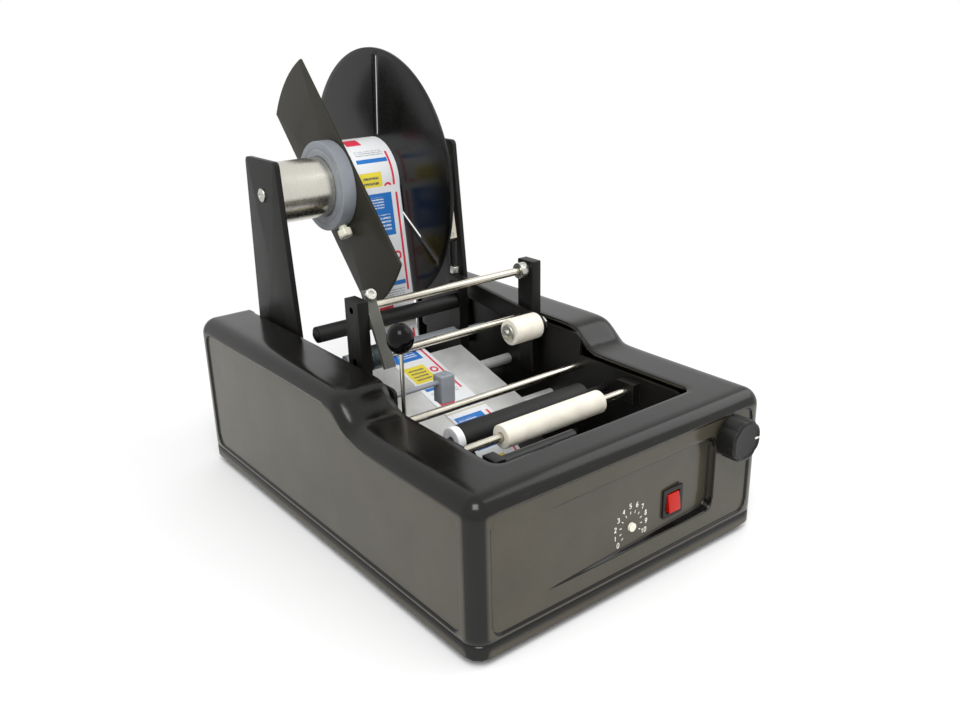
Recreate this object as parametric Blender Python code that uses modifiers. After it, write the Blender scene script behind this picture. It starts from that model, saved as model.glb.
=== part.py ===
"""Wrap-around labeler: a bench machine that rolls a bottle while a label is fed under it.

The model is drawn in a workshop frame: X to the right, Y to the back, Z up, with its corner at
the front left of the casing's lower edge. One empty shifts it so that it stands on z = 0 around
the world origin. All lengths are in metres.
"""
import math

import bmesh
import bpy
from mathutils import Matrix, Vector

# Clearances and overruns shared by all pieces
GAP = 0.0003
BORE_GAP = 0.0004
RUN_CLEARANCE = 0.001
CUT_OVERRUN = 0.006
MERGE = 0.00001

# Facets around round pieces
FINE_SIDES = 40
ROUND_SIDES = 20
SMALL_SIDES = 12
SCREW_SIDES = 8
NUT_SIDES = 6
SMOOTH_ANGLE_DEG = 30.0
CASE_SMOOTH_DEG = 40.0
FLAT_ANGLE_DEG = 1.0

# Casing
CASE_WIDTH = 0.350
CASE_DEPTH = 0.498
CASE_WALL = 0.004
CASE_CORNER_RADIUS = 0.017
CASE_CORNER_STEPS = 4
ROUND_PROFILE = 0.5
SAME_WAY_SHARE = 0.9
UPWARD_SHARE = 0.5
SIDEWAYS_SHARE = 0.1
FRONT_DECK_Z = 0.140
REAR_DECK_Z = 0.164
SLOPE_START_Y = 0.178
SLOPE_END_Y = 0.202
RIM_FLANGE_WIDTH = 0.016
RIM_FLANGE_THICKNESS = 0.004
SCREW_ROW_SHARES = (0.12, 0.5, 0.88)

# Opening in the deck and through the rear wall
WELL_LEFT_X = 0.057
WELL_RIGHT_X = CASE_WIDTH - WELL_LEFT_X
WELL_FRONT_Y = 0.041
WELL_CORNER_RADIUS = 0.012
WELL_CUT_DEPTH = 0.012
REAR_SILL_Z = 0.060

# Shallow panels pressed into the casing
PANEL_DEPTH = 0.0018
PANEL_MARGIN = 0.020
PANEL_LOW_Z = 0.017
PANEL_FRONT_TOP_Z = 0.122
PANEL_REAR_TOP_Z = 0.150
PANEL_RADIUS = 0.010
FRONT_PANEL_TOP_Z = 0.126
FRONT_PANEL_MARGIN = 0.015

# Control pocket in the front panel, deeper towards its right end
POCKET_LEFT_X = 0.072
POCKET_RIGHT_INSET = 0.067
POCKET_RIGHT_X = CASE_WIDTH - POCKET_RIGHT_INSET
POCKET_LOW_Z = 0.035
POCKET_TOP_Z = 0.109
POCKET_DEPTH = 0.009
POCKET_RADIUS = 0.010
POCKET_BACK_Y = 0.016

# Base plate and feet
BASE_THICKNESS = 0.003
BASE_INSET = 0.003
FOOT_RADIUS = 0.014
FOOT_HEIGHT = 0.005
FOOT_INSET = 0.035
FOOT_TAPER_SHARE = 0.86
STUD_LENGTH = 0.010

# Chassis side plates
PLATE_THICKNESS = 0.003
PLATE_CLEARANCE = 0.001
PLATE_FRONT_Y = 0.052
PLATE_REAR_INSET = 0.028
PLATE_REAR_Y = CASE_DEPTH - PLATE_REAR_INSET
PLATE_FRONT_TOP_Z = 0.134
PLATE_REAR_TOP_Z = 0.157
PLATE_STEP_Y = 0.188
PLATE_CORNER_RADIUS = 0.006
PLATE_FLANGE_WIDTH = 0.014

# Cross bars between the plates
CROSS_BAR_RADIUS = 0.006
FRONT_CROSS_Y = 0.068
FRONT_CROSS_Z = 0.090
BRACKET_CROSS_Z = 0.060

# Reel axis and the uprights that carry it
REEL_REAR_INSET = 0.070
REEL_Y = CASE_DEPTH - REEL_REAR_INSET
REEL_Z = 0.301
UPRIGHT_THICKNESS = 0.006
UPRIGHT_TOP_Z = 0.338
UPRIGHT_TOP_AHEAD = 0.034
UPRIGHT_TOP_FRONT_Y = REEL_Y - UPRIGHT_TOP_AHEAD
UPRIGHT_TOP_BEHIND = 0.033
UPRIGHT_TOP_REAR_Y = REEL_Y + UPRIGHT_TOP_BEHIND
UPRIGHT_FOOT_Z = 0.100
UPRIGHT_FOOT_AHEAD = 0.057
UPRIGHT_FOOT_FRONT_Y = REEL_Y - UPRIGHT_FOOT_AHEAD
UPRIGHT_CORNER_RADIUS = 0.007
UPRIGHT_RIVET_INSET = 0.0168
UPRIGHT_RIVET_DEPTH = 0.0027

# Reel
AXLE_RADIUS = 0.006
TUBE_RADIUS = 0.032
TUBE_WALL = 0.003
TUBE_END_GAP = 0.0007
TUBE_PLUG = 0.012
DISC_INSET = 0.148
DISC_LEFT_X = CASE_WIDTH - DISC_INSET
HUB_AHEAD_OF_DISC = 0.072
HUB_LEFT_X = DISC_LEFT_X - HUB_AHEAD_OF_DISC
HUB_WIDTH = 0.016
HUB_RADIUS = 0.048
GUIDE_THICKNESS = 0.003
GUIDE_HALF_WIDTH = 0.047
GUIDE_TILT_DEG = 47.65
GUIDE_ARC_STEPS = 6
DISC_RADIUS = 0.140
DISC_THICKNESS = 0.003
SLOT_INNER_RADIUS = 0.050
SLOT_OUTER_RADIUS = 0.131
SLOT_WIDTH = 0.005
SLOT_ANGLES_DEG = (94.0, 214.0, 334.0)
ROLL_RADIUS = 0.046
THUMB_ANGLE_DEG = 236.5
THUMB_SHANK_RADIUS = 0.003
THUMB_NECK_RADIUS = 0.0045
THUMB_HEAD_RADIUS = 0.0080
THUMB_NECK_LENGTH = 0.004
THUMB_HEAD_LENGTH = 0.009

# Reel brake
DRUM_RADIUS = 0.030
DRUM_WIDTH = 0.019
DRUM_SPIGOT = 0.012
STRAP_WIDTH = 0.012
STRAP_THICKNESS = 0.001
STRAP_STEPS = 16
STRAP_FRONT_END_Z = 0.228
HOOK_FORWARD = 0.013
STRAP_EYE_RADIUS = 0.0016
STRAP_EYE_RISE = 0.0048
STRAP_PIN_RADIUS = 0.003
STRAP_PIN_DROP = 0.047
SPRING_RADIUS = 0.0042
SPRING_WIRE = 0.0007
SPRING_TURNS = 9
SPRING_STEPS = 8

# Posts and their two rods
POST_WIDTH = 0.012
POST_DEPTH = 0.024
POST_BEHIND_MIDDLE = 0.012
POST_Y = CASE_DEPTH / 2 + POST_BEHIND_MIDDLE
POST_TOP_Z = 0.225
POST_FOOT_Z = 0.100
TOP_ROD_Z = 0.215
POST_ROD_RADIUS = 0.004
PIVOT_ROD_Z = 0.163
ROD_COLLAR_RADIUS = 0.0085
ROD_COLLAR_WIDTH = 0.010
PIVOT_KNOB_RADIUS = 0.012
PIVOT_KNOB_WIDTH = 0.020
PIVOT_KNOB_CHAMFER = 0.00225

# Hanging stop arm
STOP_ARM_WIDTH = 0.012
STOP_ARM_THICKNESS = 0.004
STOP_ARM_LENGTH = 0.062
STOP_ARM_TILT_DEG = 25.7
STOP_EYE_RADIUS = 0.009
STOP_EYE_STEPS = 10
STOP_ARM_LUG = 0.015
STOP_SCREW_RADIUS = 0.0055
STOP_SCREW_HEIGHT = 0.005

# Pressure arm and roller
ARM_THICKNESS = 0.006
ARM_REAR_AHEAD = 0.040
ARM_REAR_Y = REEL_Y - ARM_REAR_AHEAD
ARM_REAR_Z = 0.1767
ARM_HALF_HEIGHT = 0.010
ROLLER_AHEAD = 0.025
ROLLER_Y = POST_Y - ROLLER_AHEAD
ROLLER_Z = 0.160
PRESSURE_ROLLER_RADIUS = 0.014
PRESSURE_ROLLER_LENGTH = 0.037
PRESSURE_SHAFT_RADIUS = 0.003
ROLLER_HUB_RADIUS = 0.009
ROLLER_HUB_WIDTH = 0.003
SHAFT_NUT_RADIUS = 0.007
SHAFT_NUT_WIDTH = 0.006
ANCHOR_NUT_RADIUS = 0.005
ANCHOR_NUT_HEIGHT = 0.008
ANCHOR_NUT_TOP_SHARE = 0.7

# Rear idler
IDLER_AHEAD = 0.074
IDLER_Y = REEL_Y - IDLER_AHEAD
IDLER_Z = 0.164
IDLER_RADIUS = 0.0087
IDLER_LEFT_INSET = 0.014
IDLER_LEFT_X = WELL_LEFT_X + IDLER_LEFT_INSET
IDLER_RIGHT_INSET = 0.101
IDLER_RIGHT_X = CASE_WIDTH - IDLER_RIGHT_INSET
IDLER_SHAFT_RADIUS = 0.003
IDLER_HEAD_SHARE = 0.7
BRACKET_WIDTH = 0.012
BRACKET_DEPTH = 0.018
BRACKET_TOP_Z = 0.186

# Label web, its guides and its bed
WEB_THICKNESS = 0.0006
WEB_SIDE_GAP = 0.001
IDLER_WRAP_DEG = (6.0, -8.0)
IDLER_WRAP_STEPS = 2
GUIDE_WRAP_START_DEG = 5.0
GUIDE_WRAP_STEPS = 5
PULL_WRAP_DEG = (120.0, 180.0)
PULL_WRAP_STEPS = 4
MITRE_SHARE = 0.3
GUIDE_ROLLER_AHEAD = 0.004
GUIDE_ROLLER_Y = IDLER_Y - GUIDE_ROLLER_AHEAD
GUIDE_ROLLER_RADIUS = 0.007
BED_SLOPE_DEG = 16.2
BED_REAR_AHEAD = 0.012
BED_REAR_Y = GUIDE_ROLLER_Y - BED_REAR_AHEAD
BED_REAR_Z = 0.116
BED_FRONT_Y = 0.207
BED_LEFT_X = 0.100
BED_RIGHT_INSET = 0.105
BED_RIGHT_X = CASE_WIDTH - BED_RIGHT_INSET
BED_THICKNESS = 0.003
BED_WELD_SINK = 0.001
BED_BAR_FRONT_INSET = 0.025
BED_BAR_FRONT_Y = BED_FRONT_Y + BED_BAR_FRONT_INSET
BED_BAR_REAR_INSET = 0.033
BED_BAR_REAR_Y = BED_REAR_Y - BED_BAR_REAR_INSET
GUIDE_LEFT_END = BED_LEFT_X
GUIDE_RIGHT_END = BED_RIGHT_X

# Liner pull rollers
PULL_Y = 0.192
PULL_Z = 0.044
PULL_RADIUS = 0.015
PULL_LEFT_X = 0.120
PULL_RIGHT_INSET = 0.115
PULL_RIGHT_X = CASE_WIDTH - PULL_RIGHT_INSET
PINCH_RADIUS = 0.010
LINER_END_Z = 0.016
SHAFT_RADIUS = 0.004

# Bottle rollers and the lever shaft
DRIVE_Y = 0.113
BOTTLE_ROLLER_Z = 0.119
DRIVE_RADIUS = 0.0115
DRIVE_LEFT_X = 0.120
DRIVE_RIGHT_INSET = 0.107
DRIVE_RIGHT_X = CASE_WIDTH - DRIVE_RIGHT_INSET
REST_ROLLER_Y = 0.150
REST_ROLLER_DROP = 0.009
REST_ROLLER_RADIUS = 0.013
REST_LEFT_X = 0.100
REST_RIGHT_INSET = 0.095
REST_RIGHT_X = CASE_WIDTH - REST_RIGHT_INSET
NYLON_RING_WIDTH = 0.008
LEVER_SHAFT_Y = 0.186
LEVER_SHAFT_Z = 0.124
LEVER_X = 0.066
LEVER_RADIUS = 0.002
LEVER_LENGTH = 0.082
BALL_RADIUS = 0.0125
BALL_HEIGHT_SHARE = 1.15
BEARING_WIDTH = 0.010
BEARING_DEPTH = 0.022
BEARING_HEIGHT = 0.020
STOP_PIN_RADIUS = 0.004
STOP_PIN_LENGTH = 0.012
STOP_PIN_Z = 0.097
STOP_PIN_FRONT_Y = 0.088
GUIDE_BAR_Y = 0.078
GUIDE_BAR_Z = 0.116
GUIDE_BAR_RADIUS = 0.006
GUIDE_BAR_INSET = 0.174
GUIDE_BAR_END_X = CASE_WIDTH - GUIDE_BAR_INSET
GUIDE_BLOCK_X = 0.078
GUIDE_BLOCK_WIDTH = 0.012
GUIDE_BLOCK_HALF = 0.009

# Label sensor
SENSOR_ROD_Y = 0.199
SENSOR_ROD_Z = 0.147
SENSOR_ROD_RADIUS = 0.0025
SENSOR_LEFT_X = 0.113
SENSOR_WIDTH = 0.016
SENSOR_DEPTH = 0.014
SENSOR_TOP_Z = 0.154
SENSOR_LOW_Z = 0.126

# Belt drive
PULLEY_RADIUS = 0.009
PULLEY_WIDTH = 0.009
PULLEY_LIP = 0.0014
BELT_THICKNESS = 0.0014
MOTOR_Y = 0.108
MOTOR_RADIUS = 0.024
MOTOR_LENGTH = 0.055
GEARBOX_LENGTH = 0.024
GEARBOX_HALF = 0.027
MOTOR_SHAFT_RADIUS = 0.003

# Control board
BOARD_LEFT_X = 0.078
BOARD_WIDTH = 0.110
BOARD_FRONT_Y = 0.230
BOARD_DEPTH = 0.090
BOARD_Z = 0.012
BOARD_THICKNESS = 0.0016
STANDOFF_RADIUS = 0.003
STANDOFF_INSET = 0.008
CAN_RADIUS = 0.008
CAN_HEIGHT = 0.018
RELAY_WIDTH = 0.028
RELAY_DEPTH = 0.014
RELAY_HEIGHT = 0.016
SINK_WIDTH = 0.040
SINK_DEPTH = 0.006
SINK_HEIGHT = 0.022

# Front controls
ROCKER_INSET = 0.0505
ROCKER_X = POCKET_RIGHT_X - ROCKER_INSET
ROCKER_Z = 0.0585
ROCKER_WIDTH = 0.026
ROCKER_HEIGHT = 0.029
ROCKER_BORDER = 0.003
ROCKER_LIP = 0.0018
ROCKER_BODY_DEPTH = 0.022
ROCKER_TILT_DEG = 7.0
ROCKER_PROUD = 0.003
ROCKER_PADDLE_DEPTH = 0.006
ROCKER_PIN_RADIUS = 0.0012
ROCKER_HOLLOW_SHARE = 0.6
ROCKER_INNER_SHARE = 1.5
PADDLE_BACK_SHARE = 0.7
TIMER_FROM_ROCKER = 0.0545
TIMER_X = ROCKER_X - TIMER_FROM_ROCKER
TIMER_Z = 0.0535
TIMER_SHAFT_RADIUS = 0.004
TIMER_SHAFT_PROUD = 0.003
POT_RADIUS = 0.011
POT_DEPTH = 0.012
SPEED_INSET = 0.050
SPEED_X = CASE_WIDTH - SPEED_INSET
SPEED_Z = 0.106
KNOB_RADIUS = 0.0205
KNOB_LOBE_SHARE = 0.055
KNOB_LOBES = 8
KNOB_LOBE_STEPS = 6
KNOB_WIDTH = 0.019
KNOB_STANDOFF = 0.003
KNOB_COLLAR_RADIUS = 0.010

# Rear inlet
INLET_INSET = 0.028
INLET_X = CASE_WIDTH - INLET_INSET
INLET_Z = 0.060
INLET_WIDTH = 0.027
INLET_HEIGHT = 0.020
INLET_DEPTH = 0.020
INLET_LIP = 0.0025

# Fasteners
SCREW_RADIUS = 0.0020
SCREW_HEAD_RADIUS = 0.0038
SCREW_HEAD_HEIGHT = 0.0028
POST_SCREW_LOW_Z = 0.112
POST_SCREW_SPACING = 0.024

# Places that follow from the sizes above
PLATE_LEFT_X = WELL_LEFT_X + PLATE_CLEARANCE
PLATE_LEFT_IN = PLATE_LEFT_X + PLATE_THICKNESS
PLATE_RIGHT_OUT = WELL_RIGHT_X - PLATE_CLEARANCE
PLATE_RIGHT_IN = PLATE_RIGHT_OUT - PLATE_THICKNESS
UPRIGHT_LEFT_X = PLATE_LEFT_IN + GAP
UPRIGHT_LEFT_IN = UPRIGHT_LEFT_X + UPRIGHT_THICKNESS
UPRIGHT_RIGHT_OUT = PLATE_RIGHT_IN - GAP
UPRIGHT_RIGHT_IN = UPRIGHT_RIGHT_OUT - UPRIGHT_THICKNESS
POST_LEFT_IN = PLATE_LEFT_IN + GAP + POST_WIDTH
POST_RIGHT_IN = PLATE_RIGHT_IN - GAP - POST_WIDTH
STOP_ARM_LEFT_X = POST_LEFT_IN + GAP
POST_FRONT_Y = POST_Y - POST_DEPTH / 2
POST_REAR_Y = POST_Y + POST_DEPTH / 2
BASE_TOP_Z = -GAP
BASE_LOW_Z = BASE_TOP_Z - BASE_THICKNESS
FOOT_TOP_Z = BASE_LOW_Z - GAP
FOOT_LOW_Z = FOOT_TOP_Z - FOOT_HEIGHT
GUIDE_LEFT_X = HUB_LEFT_X + HUB_WIDTH + GAP
GUIDE_RIGHT_X = GUIDE_LEFT_X + GUIDE_THICKNESS
ROLL_LEFT_X = GUIDE_RIGHT_X + WEB_SIDE_GAP
ROLL_RIGHT_X = DISC_LEFT_X - GAP
DISC_RIGHT_X = DISC_LEFT_X + DISC_THICKNESS
DRUM_RIGHT_X = UPRIGHT_RIGHT_IN - RUN_CLEARANCE
DRUM_LEFT_X = DRUM_RIGHT_X - DRUM_WIDTH
TUBE_LEFT_X = UPRIGHT_LEFT_IN + TUBE_END_GAP
TUBE_RIGHT_X = DRUM_LEFT_X - GAP
TUBE_BORE = TUBE_RADIUS - TUBE_WALL
STRAP_CENTRE_X = DRUM_LEFT_X + DRUM_WIDTH / 2
ARM_RIGHT_X = POST_RIGHT_IN - GAP
ARM_LEFT_X = ARM_RIGHT_X - ARM_THICKNESS
ARM_MID_X = (ARM_LEFT_X + ARM_RIGHT_X) / 2
GUIDE_ROLLER_Z = BED_REAR_Z + GUIDE_ROLLER_RADIUS + WEB_THICKNESS + 2 * GAP + (
    (GUIDE_ROLLER_Y - BED_REAR_Y) * math.tan(math.radians(BED_SLOPE_DEG)))
PINCH_Y = PULL_Y - PULL_RADIUS - WEB_THICKNESS - 2 * GAP - PINCH_RADIUS
PULLEY_LEFT_X = PLATE_RIGHT_OUT + RUN_CLEARANCE
PULLEY_RIGHT_X = PULLEY_LEFT_X + PULLEY_WIDTH
REST_ROLLER_Z = BOTTLE_ROLLER_Z - REST_ROLLER_DROP
FRAME_MID_Y = (REEL_Y + DISC_RADIUS - KNOB_WIDTH - KNOB_STANDOFF + PANEL_DEPTH) / 2

PARTS = None
CUTTERS = None
ROOT = None


def clear_scene():
    """Remove what the scene holds, so that the script starts from nothing."""
    for obj in list(bpy.data.objects):
        bpy.data.objects.remove(obj, do_unlink=True)


def new_collection(name):
    """Make a collection in the scene."""
    collection = bpy.data.collections.new(name)
    bpy.context.scene.collection.children.link(collection)
    return collection


def material(name, color, roughness, metallic=0.0):
    """A Principled material with one colour."""
    made = bpy.data.materials.new(name)
    made.use_nodes = True
    shader = made.node_tree.nodes["Principled BSDF"]
    shader.inputs["Base Color"].default_value = (*color, 1.0)
    shader.inputs["Roughness"].default_value = roughness
    shader.inputs["Metallic"].default_value = metallic
    return made


def carrier(name, place):
    """An empty on a joint's axis, which carries the pieces that turn about it."""
    empty = bpy.data.objects.new(name, None)
    PARTS.objects.link(empty)
    empty.parent = ROOT
    empty.location = place
    return empty


def attach(obj, paint, on=None):
    """Put a finished piece in the parts collection, on the root or on a moving carrier."""
    PARTS.objects.link(obj)
    obj.data.materials.clear()
    obj.data.materials.append(paint)
    obj.parent = on or ROOT
    if on:
        obj.location = obj.location - on.location
    return obj


def as_cutter(obj):
    """Hide a cutting or joining body from renders."""
    CUTTERS.objects.link(obj)
    obj.parent = ROOT
    obj.hide_render = True
    obj.display_type = "WIRE"
    return obj


def mesh_object(name, bm):
    """Turn a bmesh into an object, shaded smooth where it is round."""
    mesh = bpy.data.meshes.new(name)
    bm.to_mesh(mesh)
    bm.free()
    mesh.shade_smooth()
    mesh.set_sharp_from_angle(angle=math.radians(SMOOTH_ANGLE_DEG))
    return bpy.data.objects.new(name, mesh)


def add_box(bm, low, high):
    """Add a box between two corners."""
    size = Vector(high) - Vector(low)
    middle = (Vector(high) + Vector(low)) / 2
    matrix = Matrix.Translation(middle) @ Matrix.Diagonal((*size, 1))
    return bmesh.ops.create_cube(bm, size=1, matrix=matrix)["verts"]


def turn_to(axis):
    """Rotation that takes +Z to +X, to -Y or leaves it."""
    turns = {
        "X": Matrix.Rotation(math.pi / 2, 4, "Y"),
        "-Y": Matrix.Rotation(math.pi / 2, 4, "X"),
        "Z": Matrix.Identity(4),
    }
    return turns[axis]


def add_cylinder(bm, axis, base, length, radius, sides=SMALL_SIDES, tip_radius=None):
    """Add a cylinder or cone that starts at a point and runs along an axis."""
    tip = radius if tip_radius is None else tip_radius
    matrix = Matrix.Translation(base) @ turn_to(axis) @ Matrix.Translation((0, 0, length / 2))
    return bmesh.ops.create_cone(bm, cap_ends=True, segments=sides, radius1=radius,
                                 radius2=tip, depth=length, matrix=matrix)["verts"]


def block(name, low, high):
    """A box as an object."""
    bm = bmesh.new()
    add_box(bm, low, high)
    return mesh_object(name, bm)


def rod(name, axis, base, length, radius, sides=SMALL_SIDES):
    """A straight rod as an object."""
    bm = bmesh.new()
    add_cylinder(bm, axis, base, length, radius, sides)
    return mesh_object(name, bm)


def cut(obj, *cutters):
    """Take cutting bodies out of an object."""
    for cutter in cutters:
        modifier = obj.modifiers.new("cut", "BOOLEAN")
        modifier.operation = "DIFFERENCE"
        modifier.object = as_cutter(cutter)
    return obj


def fuse(obj, *others):
    """Join overlapping bodies to an object."""
    for other in others:
        modifier = obj.modifiers.new("join", "BOOLEAN")
        modifier.operation = "UNION"
        modifier.object = as_cutter(other)
    return obj


def turned(name, axis, base, profile, steps=ROUND_SIDES, hollow=False):
    """A turned piece: (distance along the axis, radius) pairs, far end first, spun by Screw."""
    mesh = bpy.data.meshes.new(name)
    points = [(radius, 0, along) for along, radius in profile]
    edges = [(i, i + 1) for i in range(len(points) - 1)]
    if hollow:
        edges.append((len(points) - 1, 0))
    mesh.from_pydata(points, edges, [])
    obj = bpy.data.objects.new(name, mesh)
    obj.location = base
    obj.rotation_euler = turn_to(axis).to_euler()
    modifier = obj.modifiers.new("turned", "SCREW")
    modifier.axis = "Z"
    modifier.steps = steps
    modifier.render_steps = steps
    modifier.use_merge_vertices = True
    modifier.merge_threshold = MERGE
    modifier.use_smooth_shade = True
    return obj


def ring(name, axis, base, length, outer, inner, steps=ROUND_SIDES):
    """A plain ring or tube."""
    profile = ((length, inner), (length, outer), (0, outer), (0, inner))
    return turned(name, axis, base, profile, steps, hollow=True)


def circle_points(centre, radius, sides, phase=0.0):
    """Points around a circle in a plane."""
    points = []
    for i in range(sides):
        angle = phase + math.tau * i / sides
        points.append((centre[0] + radius * math.cos(angle), centre[1] + radius * math.sin(angle)))
    return points


def rounded(points, radius, steps=3):
    """Round each corner of a closed outline; a radius of zero keeps the corner."""
    radii = radius if isinstance(radius, (list, tuple)) else [radius] * len(points)
    result = []
    for i, corner in enumerate(points):
        if radii[i] <= 0:
            result.append(corner)
            continue
        here = Vector(corner)
        before = (Vector(points[i - 1]) - here).normalized()
        after = (Vector(points[(i + 1) % len(points)]) - here).normalized()
        half = math.acos(max(-1, min(1, before.dot(after)))) / 2
        reach = radii[i] / math.tan(half)
        start = here + before * reach
        end = here + after * reach
        centre = here + (before + after).normalized() * (radii[i] / math.sin(half))
        first = start - centre
        last = end - centre
        sweep = math.pi - 2 * half
        for k in range(steps + 1):
            share = k / steps
            weight_first = math.sin((1 - share) * sweep) / math.sin(sweep)
            weight_last = math.sin(share * sweep) / math.sin(sweep)
            result.append(tuple(centre + first * weight_first + last * weight_last))
    return result


PLANES = {
    "YZ": (math.pi / 2, 0, math.pi / 2),
    "XZ": (math.pi / 2, 0, 0),
    "XY": (0, 0, 0),
}


def flat(name, plane, outlines, low, high):
    """A flat plate: closed outlines, the first around the rest, between two levels."""
    curve = bpy.data.curves.new(name, "CURVE")
    curve.dimensions = "2D"
    curve.fill_mode = "BOTH"
    curve.extrude = (high - low) / 2
    for points in outlines:
        spline = curve.splines.new("POLY")
        spline.points.add(len(points) - 1)
        for point, place in zip(spline.points, points):
            point.co = (place[0], place[1], 0, 1)
        spline.use_cyclic_u = True
    drawn = bpy.data.objects.new(name, curve)
    middle = (low + high) / 2
    drawn.location = {"YZ": (middle, 0, 0), "XZ": (0, middle, 0), "XY": (0, 0, middle)}[plane]
    drawn.rotation_euler = PLANES[plane]
    return curve_to_mesh(drawn)


def curve_to_mesh(drawn):
    """Make a curve a closed mesh in the workshop frame."""
    bpy.context.scene.collection.objects.link(drawn)
    bpy.context.view_layer.update()
    graph = bpy.context.evaluated_depsgraph_get()
    mesh = bpy.data.meshes.new_from_object(drawn.evaluated_get(graph))
    matrix = drawn.matrix_world.copy()
    name = drawn.name
    bpy.data.objects.remove(drawn, do_unlink=True)
    bm = bmesh.new()
    bm.from_mesh(mesh)
    bpy.data.meshes.remove(mesh)
    bmesh.ops.transform(bm, matrix=matrix, verts=bm.verts)
    bmesh.ops.remove_doubles(bm, verts=bm.verts, dist=MERGE)
    bmesh.ops.recalc_face_normals(bm, faces=bm.faces)
    return mesh_object(name, bm)


def wire(name, points, radius, resolution=2):
    """A bent wire or rod along a list of points."""
    curve = bpy.data.curves.new(name, "CURVE")
    curve.dimensions = "3D"
    curve.bevel_depth = radius
    curve.bevel_resolution = resolution
    curve.use_fill_caps = True
    spline = curve.splines.new("POLY")
    spline.points.add(len(points) - 1)
    for point, place in zip(spline.points, points):
        point.co = (*place, 1)
    return curve_to_mesh(bpy.data.objects.new(name, curve))


def hull(points):
    """Convex hull of points in a plane, counterclockwise."""
    ordered = sorted(points)

    def half(sequence):
        chain = []
        for point in sequence:
            while len(chain) > 1 and cross(chain[-2], chain[-1], point) <= 0:
                chain.pop()
            chain.append(point)
        return chain[:-1]

    return half(ordered) + half(ordered[::-1])


def cross(first, second, third):
    """Twice the signed area of a triangle."""
    ahead = (second[0] - first[0]) * (third[1] - first[1])
    return ahead - (second[1] - first[1]) * (third[0] - first[0])


def case_profile(drop, front, rear, low):
    """Side outline of the casing, moved in by a drop from the top and given walls."""
    return [
        (front, low),
        (rear, low),
        (rear, REAR_DECK_Z - drop),
        (SLOPE_END_Y + drop / 2, REAR_DECK_Z - drop),
        (SLOPE_START_Y + drop / 2, FRONT_DECK_Z - drop),
        (front, FRONT_DECK_Z - drop),
    ]


def case_body(name, inset, radius, low):
    """The casing's outer or inner form: its side outline drawn across and rounded."""
    outline = case_profile(inset, inset, CASE_DEPTH - inset, low)
    solid = flat(name, "YZ", [outline], inset, CASE_WIDTH - inset)
    bm = bmesh.new()
    bm.from_mesh(solid.data)
    bmesh.ops.dissolve_limit(bm, angle_limit=math.radians(FLAT_ANGLE_DEG), verts=bm.verts,
                             edges=bm.edges)
    chosen = [edge for edge in bm.edges if is_outer_corner(edge, low)]
    bmesh.ops.bevel(bm, geom=chosen, offset=radius, segments=CASE_CORNER_STEPS,
                    profile=ROUND_PROFILE, affect="EDGES", clamp_overlap=True)
    bm.to_mesh(solid.data)
    bm.free()
    solid.data.shade_smooth()
    solid.data.set_sharp_from_angle(angle=math.radians(CASE_SMOOTH_DEG))
    return solid


def is_outer_corner(edge, low):
    """True for an edge between a side wall and its neighbour, above the lower rim."""
    if all(abs(vert.co.z - low) < GAP for vert in edge.verts):
        return False
    normals = [face.normal for face in edge.link_faces]
    if len(normals) != 2 or normals[0].dot(normals[1]) > SAME_WAY_SHARE:
        return False
    return not all(is_upward(normal) for normal in normals)


def is_upward(normal):
    """True for a deck or for the slope between the decks."""
    if normal.z > UPWARD_SHARE:
        return True
    return abs(normal.x) < SIDEWAYS_SHARE and normal.z > SIDEWAYS_SHARE


def pocket_cutter():
    """The wedge-shaped control pocket, which starts flush at its left end."""
    plan = [
        (POCKET_LEFT_X, PANEL_DEPTH),
        (POCKET_LEFT_X, -CUT_OVERRUN),
        (POCKET_RIGHT_X, -CUT_OVERRUN),
        (POCKET_RIGHT_X, PANEL_DEPTH + POCKET_DEPTH),
    ]
    return flat("pocket_cutter", "XY", [plan], POCKET_LOW_Z, POCKET_TOP_Z)


def pocket_back_y(x):
    """Depth of the pocket's floor at a place across the front."""
    share = (x - POCKET_LEFT_X) / (POCKET_RIGHT_X - POCKET_LEFT_X)
    return PANEL_DEPTH + POCKET_DEPTH * share


def side_panel_outline():
    """Outline of the shallow panel on the casing's side."""
    slope_mid_z = (PANEL_FRONT_TOP_Z + PANEL_REAR_TOP_Z) / 2
    points = [
        (PANEL_MARGIN, PANEL_LOW_Z),
        (CASE_DEPTH - PANEL_MARGIN, PANEL_LOW_Z),
        (CASE_DEPTH - PANEL_MARGIN, PANEL_REAR_TOP_Z),
        (SLOPE_END_Y + PANEL_MARGIN, PANEL_REAR_TOP_Z),
        (SLOPE_START_Y, slope_mid_z),
        (SLOPE_START_Y - 2 * PANEL_MARGIN, PANEL_FRONT_TOP_Z),
        (PANEL_MARGIN, PANEL_FRONT_TOP_Z),
    ]
    return rounded(points, PANEL_RADIUS)


def front_panel_outline():
    """Outline of the shallow panel on the casing's front."""
    points = [
        (FRONT_PANEL_MARGIN, PANEL_LOW_Z),
        (CASE_WIDTH - FRONT_PANEL_MARGIN, PANEL_LOW_Z),
        (CASE_WIDTH - FRONT_PANEL_MARGIN, FRONT_PANEL_TOP_Z),
        (FRONT_PANEL_MARGIN, FRONT_PANEL_TOP_Z),
    ]
    return rounded(points, PANEL_RADIUS)


def shell_screw_places():
    """Six places around the rim where the casing is screwed to its base."""
    inset = CASE_WALL + RIM_FLANGE_WIDTH / 2
    places = []
    for x in (inset, CASE_WIDTH - inset):
        for share in SCREW_ROW_SHARES:
            places.append((x, CASE_DEPTH * share))
    return places


def inlet_box(margin, front, rear):
    """The mains inlet's body, with a margin around it."""
    half_width = INLET_WIDTH / 2 + margin
    half_height = INLET_HEIGHT / 2 + margin
    return ((INLET_X - half_width, front, INLET_Z - half_height),
            (INLET_X + half_width, rear, INLET_Z + half_height))


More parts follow.
